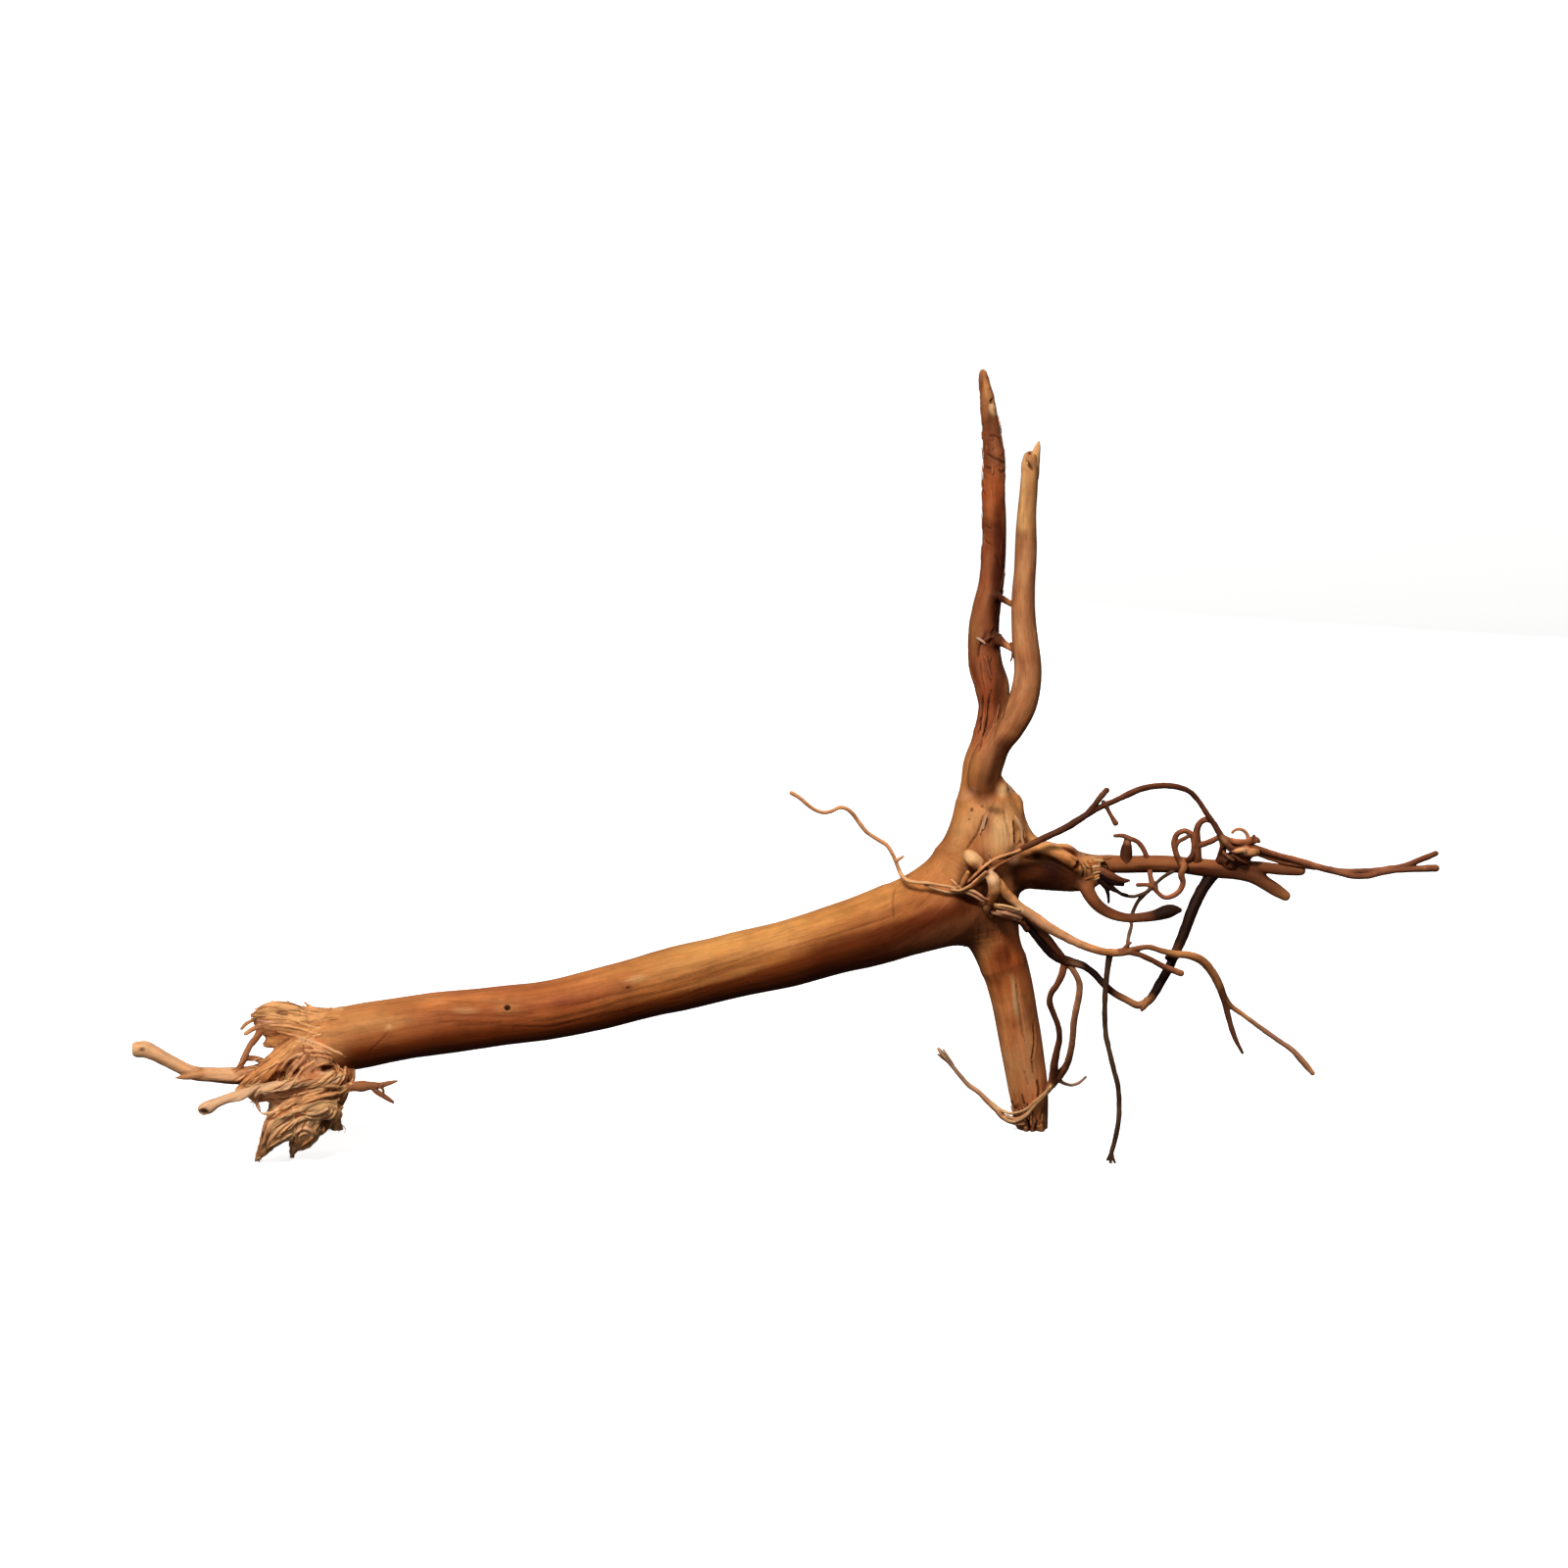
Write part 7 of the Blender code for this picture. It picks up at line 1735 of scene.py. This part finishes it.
# Long fine strands over the bunch and the tuft, front and back.
lay(torn, pick(rng, torn_places, body_of(a, d) & ((a > 284) | (d < 1098) | (d > 1132)), 330), combed, 6, 12, 1.1, 0.45, (0.18, 0.40), (0.12, 0.24), 0.0,
    [PALE_FIBRE, WARM_FIBRE, WARM_FIBRE, DARK_FIBRE], tip=0.2)
# Short loose ends that stand off the tuft's top, its left edge and the bunch's rim.
rim = body_of(a, d) & ((np.abs(outward @ FORWARD) < 0.35) | (a < 276))
lay(torn, pick(rng, torn_places, rim, 150), combed, 7, 8, 0.9, 0.7, (0.16, 0.34), (0.12, 0.22), 0.15,
    [PALE_FIBRE, WARM_FIBRE], tip=1.5)


def chain_heading(index):
    def ahead_of(places, normal):
        return flow(places, CHAINS[index])[2]
    return ahead_of


surface = places_of(root_wood)
a, d = drawn_at(surface)
facing = -(wood.normal(surface, 0.9) @ FORWARD)
# Splinters lifted along the collar, the stub, the leg's broken foot and the prongs.
PLACES = [
    # chain, across and down limits, front only, count, steps, widths, tip, tones
    (2, (1100, 1124, 870, 898), True, 26, 5, (0.25, 0.6), 0.1, [(0.92, 0.50, 0.20), (0.80, 0.36, 0.12), (0.40, 0.13, 0.04)]),
    (1, (1030, 1066, 1126, 1160), False, 70, 7, (0.22, 0.5), 0.8, [(0.66, 0.26, 0.09), (0.50, 0.17, 0.055), (0.24, 0.07, 0.03)]),
    (0, (994, 1022, 690, 770), True, 30, 10, (0.2, 0.42), 0.8, [(0.40, 0.13, 0.05), (0.50, 0.18, 0.07), (0.14, 0.045, 0.02)]),
    (0, (1000, 1022, 424, 486), False, 30, 4, (0.2, 0.5), 0.6, [(0.34, 0.10, 0.04), (0.46, 0.15, 0.055)]),
    (0, (1000, 1024, 486, 640), False, 16, 7, (0.18, 0.36), 0.5, [(0.44, 0.13, 0.045), (0.24, 0.07, 0.025)]),
]
for i, (chain, limits, front_only, count, steps, wide, tip, tones) in enumerate(PLACES):
    keep = (a > limits[0]) & (a < limits[1]) & (d > limits[2]) & (d < limits[3])
    if front_only:
        keep &= facing > 0.1
    lay(wood, pick(rng, surface, keep, count), chain_heading(chain), 40 + i, steps, 1.0, 0.18, wide, (0.12, 0.24), 0.16, tones, tip=tip)

# Drawn splinters: the spike and the ragged rim on the front prong's broken top, and others that stand clear.
DRAWN = [
    # (across, down, depth, radius) rows and a tone
    ([(1053, 492, -7.6, 6.4), (1054.6, 478, -8.4, 6.2), (1056.4, 466, -8.4, 4.8), (1058.8, 457, -8, 3.2), (1060.4, 450, -7.6, 1.2)], (0.80, 0.40, 0.155)),
    ([(1047.6, 490, -8, 5.4), (1046.8, 477, -9, 4.8), (1046.4, 468, -9.4, 3), (1047, 462.6, -9.6, 0.9)], (0.78, 0.38, 0.15)),
    ([(1006, 398, 9, 3.4), (1003.4, 388, 9, 2.6), (1002.6, 379, 9, 0.8)], (0.50, 0.22, 0.08)),
    ([(1031, 655, -9, 1.6), (1033.5, 662, -10, 1.5), (1033, 670, -10.4, 1.2), (1030.6, 676, -10, 0.7)], (0.20, 0.08, 0.035)),
    ([(996, 651, 3, 1.6), (1000, 652.6, 0.6, 1.6), (1004.4, 655.6, 0.4, 1.4), (1006, 659, 1.6, 0.8)], (0.66, 0.40, 0.24)),
    ([(1003, 847, -14.4, 1.4), (1004.6, 839, -15, 1.3), (1006.4, 831, -14.6, 0.7)], (0.72, 0.46, 0.22)),
    ([(1000, 852, -14, 1.1), (1001.4, 845, -14.6, 1.0), (1003, 838, -14.4, 0.6)], (0.66, 0.40, 0.18)),
    ([(1035, 832, -12.6, 1.2), (1039, 839, -13.4, 1.9), (1042, 846, -13.4, 1.8), (1042.6, 855, -13, 1.5), (1045.4, 864, -12.6, 1.3)], (0.70, 0.40, 0.19)),
    ([(1040, 836, -11.6, 0.9), (1044, 846, -12, 1.1), (1046.4, 856, -12, 1.0)], (0.50, 0.22, 0.09)),
    ([(988, 806, -3, 1.6), (993, 803, -4, 1.7), (986, 812, -3.6, 1.4), (982, 818, -3, 0.9)], (0.60, 0.32, 0.18)),
    ([(1047, 1148, 30, 3), (1047.4, 1156, 31, 2), (1046.6, 1163, 32, 0.8)], (0.40, 0.16, 0.06)),
    ([(1060, 1146, 30, 4), (1062.6, 1154, 31, 3.4), (1061, 1163, 33, 1.2)], (0.40, 0.15, 0.05)),
    ([(1035, 1124, 30, 1.8), (1033.6, 1132, 30, 1.6), (1036, 1140, 31, 0.8)], (0.42, 0.18, 0.07)),
]
for i, (rows, colour) in enumerate(DRAWN):
    limb = Limb("drawn", rows, step=0.8)
    pick_at = np.linspace(0, len(limb.path) - 1, 12)
    path = np.stack([np.interp(pick_at, np.arange(len(limb.path)), limb.path[:, k]) for k in range(3)], axis=1)
    radius = np.interp(pick_at, np.arange(len(limb.path)), limb.radius)
    path = path + 0.15 * np.stack([NOISE[k](path / 2.0, 1) for k in (3, 4, 5)], axis=1)
    tangent = unit(np.gradient(path, axis=0))
    normal = unit(np.cross(tangent, np.cross([0.0, -1.0, 0.0], tangent)))
    side = np.cross(tangent, normal)
    ring = np.stack([path + (side * math.cos(2 * math.pi * j / 6) + normal * 0.8 * math.sin(2 * math.pi * j / 6)) * radius[:, None] for j in range(6)], axis=1)
    ring[0] = path[0] + (ring[0] - path[0]) * 0.3
    ring[-1] = path[-1] + (ring[-1] - path[-1]) * 0.3
    rings, j = len(path), np.arange(6)
    faces = []
    for r in range(rings - 1):
        faces += [[r * 6 + q, r * 6 + 6 + q, r * 6 + 6 + (q + 1) % 6, r * 6 + (q + 1) % 6] for q in range(6)]
    last = (rings - 1) * 6
    faces += [[0, 1, 2, 3], [0, 3, 4, 5], [last + 3, last + 2, last + 1, last], [last + 5, last + 4, last + 3, last]]
    FIBRES["faces"].append(np.array(faces) + FIBRES["total"])
    FIBRES["places"].append(ring.reshape(-1, 3))
    FIBRES["tone"].append(np.repeat(np.array([colour]), rings * 6, axis=0))
    FIBRES["grain"].append(np.column_stack([np.repeat(np.arange(rings), 6) * 1.5, np.tile(j, rings) * 0.6, np.full(rings * 6, i * 2.3)]))
    FIBRES["total"] += rings * 6

root_torn_fibres = make_object("root_torn_fibres", seated(np.concatenate(FIBRES["places"])), np.concatenate(FIBRES["faces"]))
fibre_tone = np.concatenate(FIBRES["tone"])
spots = np.concatenate(FIBRES["places"])
fibre_tone = fibre_tone * (1 + 0.2 * NOISE[0](spots / 3.0, 2)[:, None])
fibre_tone[:, 1] = np.minimum(fibre_tone[:, 1], 0.56 * fibre_tone[:, 0])
put(root_torn_fibres, "tone", np.clip(fibre_tone, 0.01, 0.9))
put(root_torn_fibres, "grain", np.concatenate(FIBRES["grain"]))
print("root_torn_fibres", triangles_of(root_torn_fibres))

# ---------------------------------------------------------------- materials


class Graph:
    """A small helper for a material's node tree."""

    def __init__(self, name):
        self.material = bpy.data.materials.new(name)
        self.material.use_nodes = True
        self.tree = self.material.node_tree
        self.shader = self.tree.nodes["Principled BSDF"]

    def add(self, kind, sockets=None, **settings):
        made = self.tree.nodes.new(kind)
        for key, value in settings.items():
            setattr(made, key, value)
        for key, value in (sockets or {}).items():
            self.feed(made.inputs[key], value)
        return made

    def feed(self, socket, value):
        if isinstance(value, bpy.types.NodeSocket):
            self.tree.links.new(value, socket)
        else:
            socket.default_value = value

    def math(self, operation, first, second=0.0, clamp=False):
        return self.add("ShaderNodeMath", {0: first, 1: second}, operation=operation, use_clamp=clamp).outputs[0]

    def ramp(self, value, low, high, to_low, to_high):
        return self.add(
            "ShaderNodeMapRange", {"Value": value, "From Min": low, "From Max": high, "To Min": to_low, "To Max": to_high},
        ).outputs[0]

    def tint(self, colour, factor):
        """A colour times a number."""
        made = self.add("ShaderNodeVectorMath", {0: colour, 3: factor}, operation="SCALE")
        return made.outputs[0]

    def mix(self, factor, first, second):
        made = self.add("ShaderNodeMix", data_type="RGBA")
        self.feed(made.inputs[0], factor)
        self.feed(made.inputs[6], first)
        self.feed(made.inputs[7], second)
        return made.outputs[2]

    def attribute(self, name, output):
        return self.add("ShaderNodeAttribute", attribute_name=name).outputs[output]


def wood_material(name, grains, fine_size, broad_size, bump):
    """Bogwood: a tone stored on the mesh, broken by noise drawn out along the grain."""
    g = Graph(name)
    tone = g.attribute("tone", "Color")
    share = None
    if len(grains) > 1:
        share = g.add("ShaderNodeSeparateColor", {0: g.attribute("grain_mix", "Color")}).outputs
    sums = {}
    for i, grain in enumerate(grains):
        vector = g.attribute(grain, "Vector")
        long = g.add("ShaderNodeVectorMath", {0: vector, 1: (0.05, 1.0, 1.0)}, operation="MULTIPLY").outputs[0]
        for key, size, detail in (("broad", broad_size, 3.0), ("fine", fine_size, 2.0)):
            noise = g.add("ShaderNodeTexNoise", {"Vector": long, "Scale": 1.0 / size, "Detail": detail, "Roughness": 0.6}).outputs[0]
            if share is not None:
                noise = g.math("MULTIPLY", noise, share[i])
            sums[key] = noise if key not in sums else g.math("ADD", sums[key], noise)
    place = g.add("ShaderNodeTexCoord").outputs["Object"]
    mottle = g.add("ShaderNodeTexNoise", {"Vector": place, "Scale": 210.0, "Detail": 4.0, "Roughness": 0.65}).outputs[0]
    specks = g.add("ShaderNodeTexNoise", {"Vector": place, "Scale": 900.0, "Detail": 2.0, "Roughness": 0.6}).outputs[0]
    broad = g.ramp(sums["broad"], 0.32, 0.68, 0.0, 1.0)
    fine = g.ramp(sums["fine"], 0.34, 0.66, 0.0, 1.0)
    dark_line = g.ramp(sums["fine"], 0.30, 0.42, 1.0, 0.0)
    light = g.ramp(broad, 0.0, 1.0, 0.86, 1.10)
    light = g.math("MULTIPLY", light, g.ramp(fine, 0.0, 1.0, 0.90, 1.07))
    light = g.math("MULTIPLY", light, g.ramp(mottle, 0.3, 0.7, 0.86, 1.12))
    colour = g.tint(tone, light)
    red = g.add("ShaderNodeVectorMath", {0: colour, 1: (0.86, 0.60, 0.46)}, operation="MULTIPLY").outputs[0]
    colour = g.mix(g.math("MULTIPLY", dark_line, 0.40), colour, red)
    stain = g.ramp(mottle, 0.52, 0.72, 0.0, 0.5)
    warm = g.add("ShaderNodeVectorMath", {0: colour, 1: (0.95, 0.78, 0.62)}, operation="MULTIPLY").outputs[0]
    colour = g.mix(stain, colour, warm)
    g.feed(g.shader.inputs["Base Color"], colour)
    roughness = g.ramp(broad, 0.0, 1.0, 0.66, 0.48)
    roughness = g.math("ADD", roughness, g.ramp(specks, 0.3, 0.7, -0.06, 0.08))
    g.feed(g.shader.inputs["Roughness"], roughness)
    g.shader.inputs["Specular IOR Level"].default_value = 0.08
    height = g.math("ADD", g.math("MULTIPLY", sums["broad"], 1.2), g.math("MULTIPLY", sums["fine"], 0.7))
    height = g.math("ADD", height, g.math("MULTIPLY", specks, 0.22))
    raised = g.add("ShaderNodeBump", {"Height": height, "Distance": bump, "Strength": 0.9})
    g.feed(g.shader.inputs["Normal"], raised.outputs[0])
    return g.material


main_material = wood_material("bogwood_stout", ["grain_a", "grain_b", "grain_c"], 0.50, 2.4, 0.00014)
frayed_material = wood_material("bogwood_frayed", ["grain"], 0.42, 1.4, 0.00018)
slender_material = wood_material("bogwood_rootlets", ["grain"], 0.34, 0.9, 0.00014)
fibre_material = wood_material("bogwood_fibres", ["grain"], 0.28, 0.7, 0.00010)

PIECES = [
    (root_wood, main_material), (root_frayed_end, frayed_material), (root_rootlets_right, slender_material),
    (root_rootlets_front, slender_material), (root_rootlets_low, slender_material), (root_torn_fibres, fibre_material),
]
for piece, material in PIECES:
    piece.data.materials.clear()
    piece.data.materials.append(material)
    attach(piece, "root")
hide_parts("bogwood_root")
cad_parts["bogwood_root"].data.materials.clear()
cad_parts["bogwood_root"].data.materials.append(frayed_material)

# ------------------------------------------------------- studio, light, camera

floor_mesh = bpy.data.meshes.new("studio_floor")
profile = [(-3.0, 0.0), (1.6, 0.0)]
profile += [(1.6 + 0.9 * math.sin(t), 0.9 - 0.9 * math.cos(t)) for t in np.linspace(0.1, math.pi / 2, 12)]
profile += [(2.5, 3.2)]
corners, sheets = [], []
for y, z in profile:
    corners += [(-5.0, y, z), (5.0, y, z)]
for i in range(len(profile) - 1):
    sheets.append((2 * i, 2 * i + 1, 2 * i + 3, 2 * i + 2))
floor_mesh.from_pydata(corners, [], sheets)
floor_mesh.shade_smooth()
floor = bpy.data.objects.new("studio_floor", floor_mesh)
bpy.context.scene.collection.objects.link(floor)
paper = Graph("studio_paper")
grainy = paper.add("ShaderNodeTexNoise", {"Scale": 60.0, "Detail": 3.0}).outputs[0]
paper.feed(paper.shader.inputs["Base Color"], paper.mix(grainy, (0.93, 0.93, 0.93, 1.0), (0.95, 0.95, 0.95, 1.0)))
paper.shader.inputs["Roughness"].default_value = 0.9
paper.shader.inputs["Specular IOR Level"].default_value = 0.1
floor_mesh.materials.append(paper.material)
paper.shader.inputs["Emission Color"].default_value = (1.0, 1.0, 1.0, 1.0)
paper.shader.inputs["Emission Strength"].default_value = 0.75
floor.visible_diffuse = False
floor.visible_glossy = False


def lamp(name, place, aim, size, power, colour=(1.0, 1.0, 1.0), tall=None):
    light = bpy.data.lights.new(name, "AREA")
    light.energy = power
    light.color = colour
    light.shape = "RECTANGLE"
    light.size = size
    light.size_y = tall or size
    made = bpy.data.objects.new(name, light)
    made.location = place
    made.rotation_euler = (Vector(aim) - Vector(place)).to_track_quat("-Z", "Y").to_euler()
    bpy.context.scene.collection.objects.link(made)
    return made


AIM = (0.0, 0.0, 0.13)
lamp("key", (-0.48, -1.62, 1.60), AIM, 0.45, 44.0, (1.0, 0.985, 0.95))
lamp("overhead", (-0.1, 0.0, 2.4), AIM, 1.0, 5.0)
lamp("fill", (-0.5, -2.4, 0.55), AIM, 1.4, 8.5)
back = lamp("back", (0.5, 1.35, 0.7), AIM, 1.2, 9.0)
back.visible_camera = False

world = bpy.data.worlds.new("studio_air")
world.use_nodes = True
world.node_tree.nodes["Background"].inputs["Color"].default_value = (1.0, 1.0, 1.0, 1.0)
air = world.node_tree.nodes["Background"]
seen = world.node_tree.nodes.new("ShaderNodeLightPath")
share = world.node_tree.nodes.new("ShaderNodeMath")
share.operation = "MULTIPLY_ADD"
share.inputs[1].default_value, share.inputs[2].default_value = 0.95, 0.05
world.node_tree.links.new(seen.outputs["Is Camera Ray"], share.inputs[0])
world.node_tree.links.new(share.outputs[0], air.inputs["Strength"])
bpy.context.scene.world = world

view = bpy.data.cameras.new("front_view")
view.lens = 84.375
view.sensor_width = 36.0
view.clip_start, view.clip_end = 0.05, 30.0
camera = bpy.data.objects.new("front_view", view)
camera.location = EYE + SHIFT
camera.rotation_euler = (math.pi / 2 - EYE_TILT, 0.0, 0.0)
bpy.context.scene.collection.objects.link(camera)
bpy.context.scene.camera = camera
bpy.context.scene.view_settings.view_transform = "Standard"
